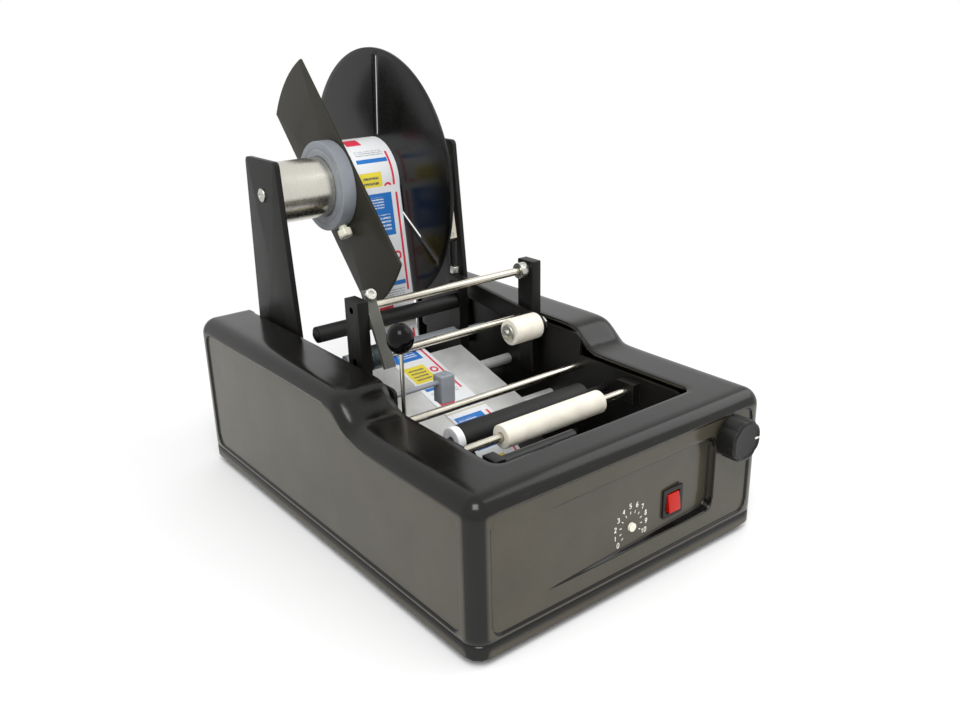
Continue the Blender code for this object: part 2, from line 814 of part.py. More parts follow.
def rocker_box(margin, front, rear):
    """The rocker switch's body, with a margin around it."""
    half_width = ROCKER_WIDTH / 2 - ROCKER_BORDER + margin
    half_height = ROCKER_HEIGHT / 2 - ROCKER_BORDER + margin
    return ((ROCKER_X - half_width, front, ROCKER_Z - half_height),
            (ROCKER_X + half_width, rear, ROCKER_Z + half_height))


def build_shell(paints):
    """Thermoformed casing: decks at two heights, the well, its panels and holes."""
    shell = case_body("top_shell", 0, CASE_CORNER_RADIUS, 0)
    cavity = case_body("cavity", CASE_WALL, CASE_CORNER_RADIUS - CASE_WALL, RIM_FLANGE_THICKNESS)
    cut(cavity, block("pocket_backing", (POCKET_LEFT_X - CASE_WALL, 0, PANEL_LOW_Z),
                      (POCKET_RIGHT_X + CASE_WALL, POCKET_BACK_Y, FRONT_PANEL_TOP_Z)))
    rim_inset = CASE_WALL + RIM_FLANGE_WIDTH
    rim = block("rim_opening", (rim_inset, rim_inset, -CUT_OVERRUN),
                (CASE_WIDTH - rim_inset, CASE_DEPTH - rim_inset, RIM_FLANGE_THICKNESS + GAP))
    well_outline = rounded([
        (WELL_LEFT_X, WELL_FRONT_Y),
        (WELL_RIGHT_X, WELL_FRONT_Y),
        (WELL_RIGHT_X, CASE_DEPTH + CUT_OVERRUN),
        (WELL_LEFT_X, CASE_DEPTH + CUT_OVERRUN),
    ], [WELL_CORNER_RADIUS, WELL_CORNER_RADIUS, 0, 0])
    well = flat("well", "XY", [well_outline], FRONT_DECK_Z - WELL_CUT_DEPTH,
                REAR_DECK_Z + CUT_OVERRUN)
    notch = block("rear_notch",
                  (WELL_LEFT_X, CASE_DEPTH - 2 * CASE_WALL, REAR_SILL_Z),
                  (WELL_RIGHT_X, CASE_DEPTH + CUT_OVERRUN, REAR_DECK_Z + CUT_OVERRUN))
    left_panel = flat("left_panel", "YZ", [side_panel_outline()], -CUT_OVERRUN, PANEL_DEPTH)
    right_panel = flat("right_panel", "YZ", [side_panel_outline()], CASE_WIDTH - PANEL_DEPTH,
                       CASE_WIDTH + CUT_OVERRUN)
    front_panel = flat("front_panel", "XZ", [front_panel_outline()], -CUT_OVERRUN, PANEL_DEPTH)
    cut(shell, cavity, rim, well, notch, left_panel, right_panel, front_panel, pocket_cutter())
    bm = bmesh.new()
    add_box(bm, *rocker_box(GAP, -CUT_OVERRUN, POCKET_BACK_Y + CUT_OVERRUN))
    add_box(bm, *inlet_box(GAP, CASE_DEPTH - 2 * CASE_WALL, CASE_DEPTH + CUT_OVERRUN))
    bore = TIMER_SHAFT_RADIUS + BORE_GAP
    reach = POCKET_BACK_Y + 2 * CUT_OVERRUN
    for x, z in ((TIMER_X, TIMER_Z), (SPEED_X, SPEED_Z)):
        add_cylinder(bm, "-Y", (x, POCKET_BACK_Y + CUT_OVERRUN, z), reach, bore)
    for x, y in shell_screw_places():
        add_cylinder(bm, "Z", (x, y, -CUT_OVERRUN), CUT_OVERRUN + RIM_FLANGE_THICKNESS + GAP,
                     SCREW_RADIUS + BORE_GAP, SCREW_SIDES)
    cut(shell, mesh_object("shell_holes", bm))
    attach(shell, paints["black_abs"])


def build_base(paints):
    """Steel base plate with its clinched studs, and the four screw-on feet."""
    low = (BASE_INSET, BASE_INSET)
    high = (CASE_WIDTH - BASE_INSET, CASE_DEPTH - BASE_INSET)
    corners = [low, (high[0], low[1]), high, (low[0], high[1])]
    outlines = [rounded(corners, CASE_CORNER_RADIUS - BASE_INSET)]
    for turn, hole in enumerate(standoff_places() + foot_places()):
        outlines.append(circle_points(hole, SCREW_RADIUS + BORE_GAP, SCREW_SIDES, turn))
    plate = flat("base_plate", "XY", outlines, BASE_LOW_Z, BASE_TOP_Z)
    bm = bmesh.new()
    root = (BASE_LOW_Z + BASE_TOP_Z) / 2
    for x, y in shell_screw_places() + plate_screw_places():
        add_cylinder(bm, "Z", (x, y, root), STUD_LENGTH, SCREW_RADIUS, SCREW_SIDES)
    attach(fuse(plate, mesh_object("base_studs", bm)), paints["black_steel"])
    names = ("front_left_foot", "rear_left_foot", "front_right_foot", "rear_right_foot")
    for name, (x, y) in zip(names, foot_places()):
        top = BASE_THICKNESS + FOOT_HEIGHT + GAP * 2
        foot = turned(name, "Z", (x, y, FOOT_LOW_Z), (
            (top + SCREW_HEAD_HEIGHT, 0), (top + SCREW_HEAD_HEIGHT, SCREW_HEAD_RADIUS),
            (top, SCREW_HEAD_RADIUS), (top, SCREW_RADIUS), (FOOT_HEIGHT, SCREW_RADIUS),
            (FOOT_HEIGHT, FOOT_RADIUS * FOOT_TAPER_SHARE), (0, FOOT_RADIUS), (0, 0)))
        attach(foot, paints["grey_rubber"])


def foot_places():
    """Places of the four feet."""
    places = []
    for x in (FOOT_INSET, CASE_WIDTH - FOOT_INSET):
        for y in (FOOT_INSET, CASE_DEPTH - FOOT_INSET):
            places.append((x, y))
    return places


def add_turned(bm, axis, base, profile, sides=SCREW_SIDES):
    """Add a turned solid to a bmesh by spinning its half outline."""
    matrix = Matrix.Translation(base) @ turn_to(axis)
    verts = [bm.verts.new((radius, 0, along)) for along, radius in profile]
    edges = [bm.edges.new((verts[i], verts[i + 1])) for i in range(len(verts) - 1)]
    made = bmesh.ops.spin(bm, geom=verts + edges, cent=(0, 0, 0), axis=(0, 0, 1),
                          angle=math.tau, steps=sides, use_merge=True)
    grown = set(verts)
    for item in made["geom_last"]:
        if isinstance(item, bmesh.types.BMVert):
            grown.add(item)
    reached = list(grown)
    seen = set(reached)
    while reached:
        vert = reached.pop()
        for edge in vert.link_edges:
            other = edge.other_vert(vert)
            if other not in seen:
                seen.add(other)
                reached.append(other)
    bmesh.ops.transform(bm, matrix=matrix, verts=list(seen))
    bmesh.ops.remove_doubles(bm, verts=list(seen), dist=MERGE)
    bmesh.ops.recalc_face_normals(bm, faces=bm.faces)


def plate_screw_places():
    """Places of the screws that hold the side plates' flanges to the base."""
    places = []
    reach = PLATE_FLANGE_WIDTH / 2 + PLATE_THICKNESS
    for x in (PLATE_LEFT_IN - PLATE_THICKNESS + reach, PLATE_RIGHT_IN + PLATE_THICKNESS - reach):
        for share in SCREW_ROW_SHARES:
            places.append((x, PLATE_FRONT_Y + (PLATE_REAR_Y - PLATE_FRONT_Y) * share))
    return places


def plate_outlines(drilled):
    """A side plate's stepped outline and its bores, each turned on so that no corners line up."""
    outline = rounded([
        (PLATE_FRONT_Y, PLATE_THICKNESS / 2),
        (PLATE_REAR_Y, PLATE_THICKNESS / 2),
        (PLATE_REAR_Y, PLATE_REAR_TOP_Z),
        (PLATE_STEP_Y, PLATE_REAR_TOP_Z),
        (PLATE_STEP_Y, PLATE_FRONT_TOP_Z),
        (PLATE_FRONT_Y, PLATE_FRONT_TOP_Z),
    ], [0, 0, PLATE_CORNER_RADIUS, PLATE_CORNER_RADIUS, 0, PLATE_CORNER_RADIUS])
    outlines = [outline]
    for turn, (y, z, radius) in enumerate(drilled):
        sides = SMALL_SIDES if radius > SCREW_RADIUS else SCREW_SIDES
        outlines.append(circle_points((y, z), radius + BORE_GAP, sides, turn))
    return outlines


def frame_screw_places():
    """Screws through the side plates into the posts and the uprights, as (y, z)."""
    high_z = POST_SCREW_LOW_Z + POST_SCREW_SPACING
    places = []
    for z in (POST_SCREW_LOW_Z, high_z):
        places.append((POST_Y, z))
        for y in (UPRIGHT_FOOT_FRONT_Y + UPRIGHT_RIVET_INSET, REEL_Y + POST_DEPTH):
            places.append((y, z))
    return places


def cross_places():
    """Axes of the cross bars that space the side plates, as (y, z)."""
    return [
        (FRONT_CROSS_Y, FRONT_CROSS_Z),
        (BED_BAR_FRONT_Y, bed_under_z(BED_BAR_FRONT_Y) - bed_bar_drop()),
        (BED_BAR_REAR_Y, bed_under_z(BED_BAR_REAR_Y) - bed_bar_drop()),
        (IDLER_Y, BRACKET_CROSS_Z),
    ]


def bed_bar_drop():
    """Height of the bed's underside over the axis of a bar that is welded under it."""
    return (CROSS_BAR_RADIUS - BED_WELD_SINK) / math.cos(math.radians(BED_SLOPE_DEG))


def bed_top_z(y):
    """Height of the sloping bed's upper face."""
    return BED_REAR_Z + (y - BED_REAR_Y) * math.tan(math.radians(BED_SLOPE_DEG))


def bed_under_z(y):
    """Height of the sloping bed's underside."""
    return bed_top_z(y) - BED_THICKNESS / math.cos(math.radians(BED_SLOPE_DEG))


def build_plates(paints):
    """Two steel side plates with their bores, foot flanges, bearing bosses and stop pins."""
    shared = [
        (PULL_Y, PULL_Z, SHAFT_RADIUS),
        (PINCH_Y, PULL_Z, SHAFT_RADIUS),
        (DRIVE_Y, BOTTLE_ROLLER_Z, SHAFT_RADIUS),
        (REST_ROLLER_Y, REST_ROLLER_Z, SHAFT_RADIUS),
        (LEVER_SHAFT_Y, LEVER_SHAFT_Z, SHAFT_RADIUS),
        (GUIDE_ROLLER_Y, GUIDE_ROLLER_Z, IDLER_SHAFT_RADIUS),
    ]
    shared += [(y, z, SCREW_RADIUS) for y, z in frame_screw_places() + cross_places()]
    left = shared + [
        (SENSOR_ROD_Y, SENSOR_ROD_Z, SENSOR_ROD_RADIUS),
        (GUIDE_BAR_Y, GUIDE_BAR_Z, SCREW_RADIUS),
    ]
    right = shared + [(MOTOR_Y, PULL_Z, MOTOR_SHAFT_RADIUS)]
    sides = (
        ("chassis_plate_left", left, PLATE_LEFT_X, PLATE_LEFT_IN, PLATE_LEFT_IN, 1),
        ("chassis_plate_right", right, PLATE_RIGHT_IN, PLATE_RIGHT_OUT, PLATE_RIGHT_IN, -1),
    )
    for name, drilled, low, high, inner, side in sides:
        plate = flat(name, "YZ", plate_outlines(drilled), low, high)
        edge = inner + side * PLATE_FLANGE_WIDTH
        root = inner - side * PLATE_THICKNESS / 2
        front = PLATE_FRONT_Y + PLATE_THICKNESS
        rear = PLATE_REAR_Y - PLATE_THICKNESS
        corners = [(min(edge, root), front), (max(edge, root), front),
                   (max(edge, root), rear), (min(edge, root), rear)]
        outlines = [corners]
        for place in plate_screw_places():
            if min(edge, root) < place[0] < max(edge, root):
                outlines.append(circle_points(place, SCREW_RADIUS + BORE_GAP, SCREW_SIDES))
        fuse(plate, flat(name + "_flange", "XY", outlines, 0, PLATE_THICKNESS))
        fuse(plate, bearing_boss(name + "_boss", inner, side))
        if side < 0:
            fuse(plate, stop_pins())
        attach(plate, paints["black_steel"])


def bearing_boss(name, inner, side):
    """Square boss inside a side plate, bored for the drive shaft."""
    start = min(inner - side * PLATE_THICKNESS / 2, inner + side * BEARING_WIDTH)
    bore = circle_points((DRIVE_Y, BOTTLE_ROLLER_Z), SHAFT_RADIUS + BORE_GAP, SMALL_SIDES, 1)
    half_depth = BEARING_DEPTH / 2
    half_height = BEARING_HEIGHT / 2
    outline = [(DRIVE_Y - half_depth, BOTTLE_ROLLER_Z - half_height),
               (DRIVE_Y + half_depth, BOTTLE_ROLLER_Z - half_height),
               (DRIVE_Y + half_depth, BOTTLE_ROLLER_Z + half_height),
               (DRIVE_Y - half_depth, BOTTLE_ROLLER_Z + half_height)]
    return flat(name, "YZ", [outline, bore], start, start + BEARING_WIDTH + PLATE_THICKNESS / 2)


def stop_pins():
    """Two pins pressed into the right side plate."""
    bm = bmesh.new()
    root = PLATE_RIGHT_IN + PLATE_THICKNESS / 2
    for y, z in ((STOP_PIN_FRONT_Y, STOP_PIN_Z),
                 (REST_ROLLER_Y + SHAFT_RADIUS, STOP_PIN_Z - SHAFT_RADIUS)):
        add_cylinder(bm, "X", (root - STOP_PIN_LENGTH, y, z), STOP_PIN_LENGTH, STOP_PIN_RADIUS)
    return mesh_object("stop_pins", bm)


def rivets(name, places, depth):
    """Rivets through both side plates, whose shanks end inside what they hold."""
    both = []
    reach = SCREW_HEAD_HEIGHT + GAP + PLATE_THICKNESS + GAP + depth
    profile = ((0, 0), (0, SCREW_HEAD_RADIUS), (SCREW_HEAD_HEIGHT, SCREW_HEAD_RADIUS),
               (SCREW_HEAD_HEIGHT, SCREW_RADIUS), (reach, SCREW_RADIUS), (reach, 0))
    for x, side in ((PLATE_LEFT_X, 1), (PLATE_RIGHT_OUT, -1)):
        bm = bmesh.new()
        head = x - side * (GAP + SCREW_HEAD_HEIGHT)
        for y, z in places:
            add_turned(bm, "X", (head, y, z),
                       [(side * along, radius) for along, radius in profile])
        both.append(mesh_object(name, bm))
    return both


def tie_bar(name, y, z):
    """Round bar between the side plates, riveted over at both ends."""
    head = SCREW_HEAD_HEIGHT
    start = PLATE_LEFT_X - GAP - head
    low = PLATE_LEFT_IN + GAP - start
    high = PLATE_RIGHT_IN - GAP - start
    end = PLATE_RIGHT_OUT + GAP - start
    return turned(name, "X", (start, y, z), (
        (end + head, 0), (end + head, SCREW_HEAD_RADIUS), (end, SCREW_HEAD_RADIUS),
        (end, SCREW_RADIUS), (high, SCREW_RADIUS), (high, CROSS_BAR_RADIUS),
        (low, CROSS_BAR_RADIUS), (low, SCREW_RADIUS), (head, SCREW_RADIUS),
        (head, SCREW_HEAD_RADIUS), (0, SCREW_HEAD_RADIUS), (0, 0)), SMALL_SIDES)


def build_cross_bars(paints):
    """The front bar between the side plates, and the one that carries the idler's bracket."""
    attach(tie_bar("front_cross_bar", FRONT_CROSS_Y, FRONT_CROSS_Z), paints["zinc_steel"])
    attach(tie_bar("bracket_cross_bar", IDLER_Y, BRACKET_CROSS_Z), paints["zinc_steel"])


def build_uprights(paints):
    """Two tapered reel uprights and two square posts, riveted to the side plates."""
    outline = rounded([
        (UPRIGHT_FOOT_FRONT_Y, UPRIGHT_FOOT_Z),
        (PLATE_REAR_Y, UPRIGHT_FOOT_Z),
        (UPRIGHT_TOP_REAR_Y, UPRIGHT_TOP_Z),
        (UPRIGHT_TOP_FRONT_Y, UPRIGHT_TOP_Z),
    ], [0, 0, UPRIGHT_CORNER_RADIUS, UPRIGHT_CORNER_RADIUS])
    outlines = [outline, circle_points((REEL_Y, REEL_Z), AXLE_RADIUS + BORE_GAP, SMALL_SIDES)]
    left = flat("left_upright", "YZ", outlines, UPRIGHT_LEFT_X, UPRIGHT_LEFT_IN)
    right = flat("right_upright", "YZ", outlines, UPRIGHT_RIGHT_IN, UPRIGHT_RIGHT_OUT)
    low = STRAP_CENTRE_X - STRAP_WIDTH / 2
    fuse(right, rod("strap_stud", "X", (low, *strap_pin_place()),
                    (UPRIGHT_RIGHT_IN + UPRIGHT_RIGHT_OUT) / 2 - low, STRAP_PIN_RADIUS))
    places = [place for place in frame_screw_places() if place[0] > UPRIGHT_FOOT_FRONT_Y]
    held_by = rivets("upright_rivets", places, UPRIGHT_RIVET_DEPTH)
    for upright, held in zip((left, right), held_by):
        attach(fuse(upright, held), paints["black_steel"])
    post = [(POST_FRONT_Y, POST_FOOT_Z), (POST_REAR_Y, POST_FOOT_Z),
            (POST_REAR_Y, POST_TOP_Z), (POST_FRONT_Y, POST_TOP_Z)]
    outlines = [post] + [circle_points((POST_Y, z), POST_ROD_RADIUS + BORE_GAP, SMALL_SIDES)
                         for z in (TOP_ROD_Z, PIVOT_ROD_Z)]
    left = flat("left_post", "YZ", outlines, PLATE_LEFT_IN + GAP, POST_LEFT_IN)
    right = flat("right_post", "YZ", outlines, POST_RIGHT_IN, PLATE_RIGHT_IN - GAP)
    places = [place for place in frame_screw_places() if place[0] < POST_REAR_Y]
    for upright, held in zip((left, right), rivets("post_rivets", places, POST_WIDTH / 2)):
        attach(fuse(upright, held), paints["black_steel"])


def strap_pin_place():
    """Where the brake strap's fixed end is pinned to the right upright."""
    strap_y = REEL_Y + DRUM_RADIUS + GAP + STRAP_THICKNESS / 2
    return (strap_y - STRAP_PIN_RADIUS - STRAP_THICKNESS / 2 - GAP, REEL_Z - STRAP_PIN_DROP)


def build_axle(paints):
    """Fixed reel axle, shouldered in both uprights and riveted over outside them."""
    head = SCREW_HEAD_HEIGHT
    start = UPRIGHT_LEFT_X - GAP - head
    end = UPRIGHT_RIGHT_OUT + GAP - start
    dome = AXLE_RADIUS + SCREW_HEAD_HEIGHT / 2
    axle = turned("reel_axle", "X", (start, REEL_Y, REEL_Z), (
        (end + head, 0), (end + head, SCREW_HEAD_RADIUS), (end + head / 2, dome), (end, dome),
        (end, AXLE_RADIUS), (head, AXLE_RADIUS), (head, dome), (head / 2, dome),
        (0, SCREW_HEAD_RADIUS), (0, 0)), SMALL_SIDES)
    attach(axle, paints["steel"])


def guide_outline():
    """A strip cut from a round plate: two straight sides and two arcs, tilted on the reel."""
    tilt = math.radians(GUIDE_TILT_DEG)
    half_angle = math.asin(GUIDE_HALF_WIDTH / DISC_RADIUS)
    points = []
    for turn in (0, math.pi):
        for k in range(GUIDE_ARC_STEPS + 1):
            angle = tilt + turn - half_angle + 2 * half_angle * k / GUIDE_ARC_STEPS
            points.append((REEL_Y + DISC_RADIUS * math.cos(angle),
                           REEL_Z + DISC_RADIUS * math.sin(angle)))
    return points


def slot_outline(angle_deg):
    """A radial slot with round ends."""
    angle = math.radians(angle_deg)
    along = Vector((math.cos(angle), math.sin(angle)))
    aside = Vector((-along.y, along.x)) * (SLOT_WIDTH / 2)
    centre = Vector((REEL_Y, REEL_Z))
    start = centre + along * SLOT_INNER_RADIUS
    end = centre + along * SLOT_OUTER_RADIUS
    tip = along * (SLOT_WIDTH / 2)
    points = (start - aside, start - tip, start + aside, end + aside, end + tip, end - aside)
    return [tuple(point) for point in points]


def build_reel(paints):
    """All that turns with the reel: tube, hub, guide strip, label roll, disc and drum."""
    reel = carrier("reel_turns", (0, REEL_Y, REEL_Z))
    centre = (REEL_Y, REEL_Z)
    slide = TUBE_RADIUS + GAP
    length = TUBE_RIGHT_X - TUBE_LEFT_X
    bore = AXLE_RADIUS + GAP
    tube = ((length, TUBE_BORE), (length, TUBE_RADIUS), (0, TUBE_RADIUS), (0, bore),
            (TUBE_PLUG, bore), (TUBE_PLUG, TUBE_BORE))
    attach(turned("spindle_tube", "X", (TUBE_LEFT_X, *centre), tube, FINE_SIDES, True),
           paints["aluminium"], reel)
    hub = ring("core_hub", "X", (HUB_LEFT_X, *centre), HUB_WIDTH, HUB_RADIUS, slide, FINE_SIDES)
    thumb_angle = math.radians(THUMB_ANGLE_DEG)
    thumb_way = Vector((0, math.cos(thumb_angle), math.sin(thumb_angle)))
    thumb_base = Vector((HUB_LEFT_X + HUB_WIDTH / 2, *centre)) + thumb_way * slide
    drill = rod("thumb_bore", "Z", (0, 0, -CUT_OVERRUN), HUB_RADIUS,
                THUMB_SHANK_RADIUS + BORE_GAP, SCREW_SIDES)
    aim = thumb_way.to_track_quat("Z", "X").to_matrix().to_4x4()
    drill.data.transform(Matrix.Translation(thumb_base) @ aim)
    attach(cut(hub, drill), paints["grey_pvc"], reel)
    build_thumb_screw(paints, reel, thumb_base, aim)
    strip = flat("outer_guide_strip", "YZ",
                 [guide_outline(), circle_points(centre, slide, FINE_SIDES)],
                 GUIDE_LEFT_X, GUIDE_RIGHT_X)
    attach(strip, paints["black_acrylic"], reel)
    roll_width = ROLL_RIGHT_X - ROLL_LEFT_X
    attach(ring("label_roll", "X", (ROLL_LEFT_X, *centre), roll_width, ROLL_RADIUS, slide,
                FINE_SIDES), paints["label_paper"], reel)
    outlines = [circle_points(centre, DISC_RADIUS, FINE_SIDES),
                circle_points(centre, slide, FINE_SIDES)]
    outlines += [slot_outline(angle) for angle in SLOT_ANGLES_DEG]
    attach(flat("inner_flange_disc", "YZ", outlines, DISC_LEFT_X, DISC_RIGHT_X),
           paints["gloss_acrylic"], reel)
    spigot = TUBE_BORE - GAP
    drum = ((DRUM_WIDTH, bore), (DRUM_WIDTH, DRUM_RADIUS), (0, DRUM_RADIUS), (0, spigot),
            (-DRUM_SPIGOT, spigot), (-DRUM_SPIGOT, bore))
    attach(turned("brake_drum", "X", (DRUM_LEFT_X, *centre), drum, FINE_SIDES, True),
           paints["aluminium"], reel)


def build_thumb_screw(paints, reel, base, aim):
    """Nylon thumb screw that clamps the hub to the tube: shank, neck and wide head."""
    shank = HUB_RADIUS - TUBE_RADIUS
    neck = shank + THUMB_NECK_LENGTH
    top = neck + THUMB_HEAD_LENGTH
    edge = THUMB_HEAD_RADIUS - THUMB_SHANK_RADIUS / 2
    bm = bmesh.new()
    add_turned(bm, "Z", (0, 0, 0), (
        (top, 0), (top, edge), (top - THUMB_SHANK_RADIUS / 2, THUMB_HEAD_RADIUS),
        (neck, THUMB_HEAD_RADIUS), (neck, THUMB_NECK_RADIUS), (shank, THUMB_NECK_RADIUS),
        (shank, THUMB_SHANK_RADIUS), (0, THUMB_SHANK_RADIUS), (0, 0)), SMALL_SIDES)
    screw = mesh_object("thumb_screw", bm)
    screw.data.transform(Matrix.Translation(base) @ aim)
    attach(screw, paints["cream_nylon"], reel)


def strap_hook_place():
    """Middle of the strap's front end, ahead of the drum, where the spring hangs."""
    drum_front = REEL_Y - DRUM_RADIUS - GAP - STRAP_THICKNESS / 2
    return (drum_front - HOOK_FORWARD, STRAP_FRONT_END_Z)


def strap_outline():
    """The brake strap: from its hook up to the drum, over its top and down behind it."""
    inner = DRUM_RADIUS + GAP
    outer = inner + STRAP_THICKNESS
    hook = Vector(strap_hook_place())
    away = hook - Vector((REEL_Y, REEL_Z))
    reach = math.acos((inner + outer) / 2 / away.length)
    start = math.tau + math.atan2(away.y, away.x) - reach
    aside = Vector((math.cos(start), math.sin(start))) * (STRAP_THICKNESS / 2)
    inside = [tuple(hook - aside)]
    outside = [tuple(hook + aside)]
    for k in range(STRAP_STEPS + 1):
        angle = start * (1 - k / STRAP_STEPS)
        inside.append((REEL_Y + inner * math.cos(angle), REEL_Z + inner * math.sin(angle)))
        outside.append((REEL_Y + outer * math.cos(angle), REEL_Z + outer * math.sin(angle)))
    low = strap_pin_place()[1] - STRAP_PIN_RADIUS
    inside.append((REEL_Y + inner, low))
    outside.append((REEL_Y + outer, low))
    return outside + inside[::-1]


def build_brake(paints):
    """Strap over the reel's drum and its tension spring, which ends on the arm's nut."""
    half = STRAP_WIDTH / 2
    strap = flat("brake_strap", "YZ", [strap_outline()], STRAP_CENTRE_X - half,
                 STRAP_CENTRE_X + half)
    hook_y = strap_hook_place()[0]
    eye_z = STRAP_FRONT_END_Z + STRAP_EYE_RISE
    eye = rod("strap_eye", "-Y", (STRAP_CENTRE_X, hook_y + CUT_OVERRUN, eye_z), CUT_OVERRUN * 2,
              STRAP_EYE_RADIUS, SCREW_SIDES)
    attach(cut(strap, eye), paints["cream_strap"])
    anchor_top = arm_top_z(hook_y) + GAP + ANCHOR_NUT_HEIGHT
    spring_low = anchor_top + GAP
    spring_high = STRAP_FRONT_END_Z - GAP - SPRING_WIRE
    points = []
    total = SPRING_TURNS * SPRING_STEPS
    for k in range(total + 1):
        angle = math.tau * k / SPRING_STEPS
        points.append((STRAP_CENTRE_X + SPRING_RADIUS * math.cos(angle),
                       hook_y + SPRING_RADIUS * math.sin(angle),
                       spring_low + SPRING_WIRE
                       + (spring_high - spring_low - SPRING_WIRE) * k / total))
    attach(wire("brake_spring", points, SPRING_WIRE, 0), paints["dark_steel"])
    return hook_y


def arm_line(y):
    """Height of the pressure arm's middle line behind its pivot."""
    share = (y - POST_Y) / (ARM_REAR_Y - POST_Y)
    return PIVOT_ROD_Z + (ARM_REAR_Z - PIVOT_ROD_Z) * share


def arm_top_z(y):
    """Height of the pressure arm's upper edge behind its pivot."""
    slope = math.atan2(ARM_REAR_Z - PIVOT_ROD_Z, ARM_REAR_Y - POST_Y)
    return arm_line(y) + ARM_HALF_HEIGHT / math.cos(slope)


def arm_outline():
    """The pressure arm: a bar with round ends, bent a little at its pivot."""
    ends = []
    for y, z in ((ROLLER_Y, ROLLER_Z), (POST_Y, PIVOT_ROD_Z), (ARM_REAR_Y, ARM_REAR_Z)):
        ends += circle_points((y, z), ARM_HALF_HEIGHT, SMALL_SIDES, math.pi / SMALL_SIDES)
    return hull(ends)


def build_pressure_arm(paints, hook_y):
    """Arm that presses its cream roller on the bottle, pivoting on the lower post rod."""
    pivot = carrier("pressure_arm_pivot", (0, POST_Y, PIVOT_ROD_Z))
    roller = carrier("pressure_roller_axis", (0, ROLLER_Y, ROLLER_Z))
    holes = [circle_points((POST_Y, PIVOT_ROD_Z), POST_ROD_RADIUS + GAP, SMALL_SIDES),
             circle_points((ROLLER_Y, ROLLER_Z), PRESSURE_SHAFT_RADIUS + GAP, SMALL_SIDES)]
    arm = flat("pressure_arm", "YZ", [arm_outline()] + holes, ARM_LEFT_X, ARM_RIGHT_X)
    attach(arm, paints["black_steel"], pivot)
    nut = turned("brake_anchor_nut", "Z", (ARM_MID_X, hook_y, arm_top_z(hook_y) + GAP), (
        (ANCHOR_NUT_HEIGHT, 0), (ANCHOR_NUT_HEIGHT, ANCHOR_NUT_RADIUS * ANCHOR_NUT_TOP_SHARE),
        (ANCHOR_NUT_HEIGHT / 2, ANCHOR_NUT_RADIUS), (0, ANCHOR_NUT_RADIUS), (0, 0)), NUT_SIDES)
    attach(nut, paints["zinc_steel"], pivot)
    left = ARM_LEFT_X - GAP - PRESSURE_ROLLER_LENGTH
    bore = PRESSURE_SHAFT_RADIUS + GAP
    attach(ring("pressure_roller", "X", (left, ROLLER_Y, ROLLER_Z), PRESSURE_ROLLER_LENGTH - GAP,
                PRESSURE_ROLLER_RADIUS, bore), paints["cream_rubber"], roller)
    start = left - GAP - ROLLER_HUB_WIDTH - SCREW_HEAD_HEIGHT
    head = SCREW_HEAD_HEIGHT
    rim = head + ROLLER_HUB_WIDTH
    nut_left = ARM_RIGHT_X + GAP - start
    end = nut_left + SHAFT_NUT_WIDTH
    shaft = turned("pressure_roller_bolt", "X", (start, ROLLER_Y, ROLLER_Z), (
        (end, 0), (end, SHAFT_NUT_RADIUS), (nut_left, SHAFT_NUT_RADIUS),
        (nut_left, PRESSURE_SHAFT_RADIUS), (rim, PRESSURE_SHAFT_RADIUS),
        (rim, ROLLER_HUB_RADIUS), (head, ROLLER_HUB_RADIUS), (head, SCREW_HEAD_RADIUS + GAP),
        (0, SCREW_HEAD_RADIUS), (0, 0)))
    attach(shaft, paints["steel"], pivot)


def build_post_rods(paints):
    """The two rods through the posts, with the upper rod's collar and the lower rod's knob."""
    outer = PLATE_LEFT_IN + GAP
    for name, z in (("top_guide_rod", TOP_ROD_Z), ("arm_pivot_rod", PIVOT_ROD_Z)):
        high = PLATE_RIGHT_IN - GAP
        attach(rod(name, "X", (outer, POST_Y, z), high - outer, POST_ROD_RADIUS), paints["steel"])
    collar_left = POST_RIGHT_IN - GAP - ROD_COLLAR_WIDTH
    collar = ring("rod_collar", "X", (collar_left, POST_Y, TOP_ROD_Z), ROD_COLLAR_WIDTH,
                  ROD_COLLAR_RADIUS, POST_ROD_RADIUS + GAP)
    attach(collar, paints["zinc_steel"])
    knob_left = POST_LEFT_IN + GAP
    bore = POST_ROD_RADIUS + GAP
    width = PIVOT_KNOB_WIDTH
    chamfer = PIVOT_KNOB_CHAMFER
    knob = turned("pivot_knob", "X", (knob_left, POST_Y, PIVOT_ROD_Z), (
        (width, bore), (width, PIVOT_KNOB_RADIUS), (chamfer, PIVOT_KNOB_RADIUS),
        (0, PIVOT_KNOB_RADIUS - chamfer), (0, bore)), ROUND_SIDES, True)
    attach(knob, paints["green_black"])


def stop_arm_frame():
    """Front normal and downward direction of the tilted stop arm, in the YZ plane."""
    tilt = math.radians(STOP_ARM_TILT_DEG)
    ahead = Vector((-math.cos(tilt), math.sin(tilt)))
    down = Vector((-math.sin(tilt), -math.cos(tilt)))
    return ahead, down


def stop_arm_outline():
    """Flat arm with a round boss behind it, which the upper rod passes through."""
    ahead, down = stop_arm_frame()
    centre = Vector((POST_Y, TOP_ROD_Z))
    front = centre + ahead * STOP_EYE_RADIUS
    back = front - ahead * STOP_ARM_THICKNESS
    join = math.acos((STOP_EYE_RADIUS - STOP_ARM_THICKNESS) / STOP_EYE_RADIUS)
    points = [front - down * STOP_ARM_LUG, front + down * STOP_ARM_LENGTH,
              back + down * STOP_ARM_LENGTH]
    for k in range(STOP_EYE_STEPS + 1):
        angle = join + (math.tau - 2 * join) * k / STOP_EYE_STEPS
        reach = ahead * math.cos(angle) + down * math.sin(angle)
        points.append(centre + reach * STOP_EYE_RADIUS)
    points.append(back - down * STOP_ARM_LUG)
    return [tuple(point) for point in points]


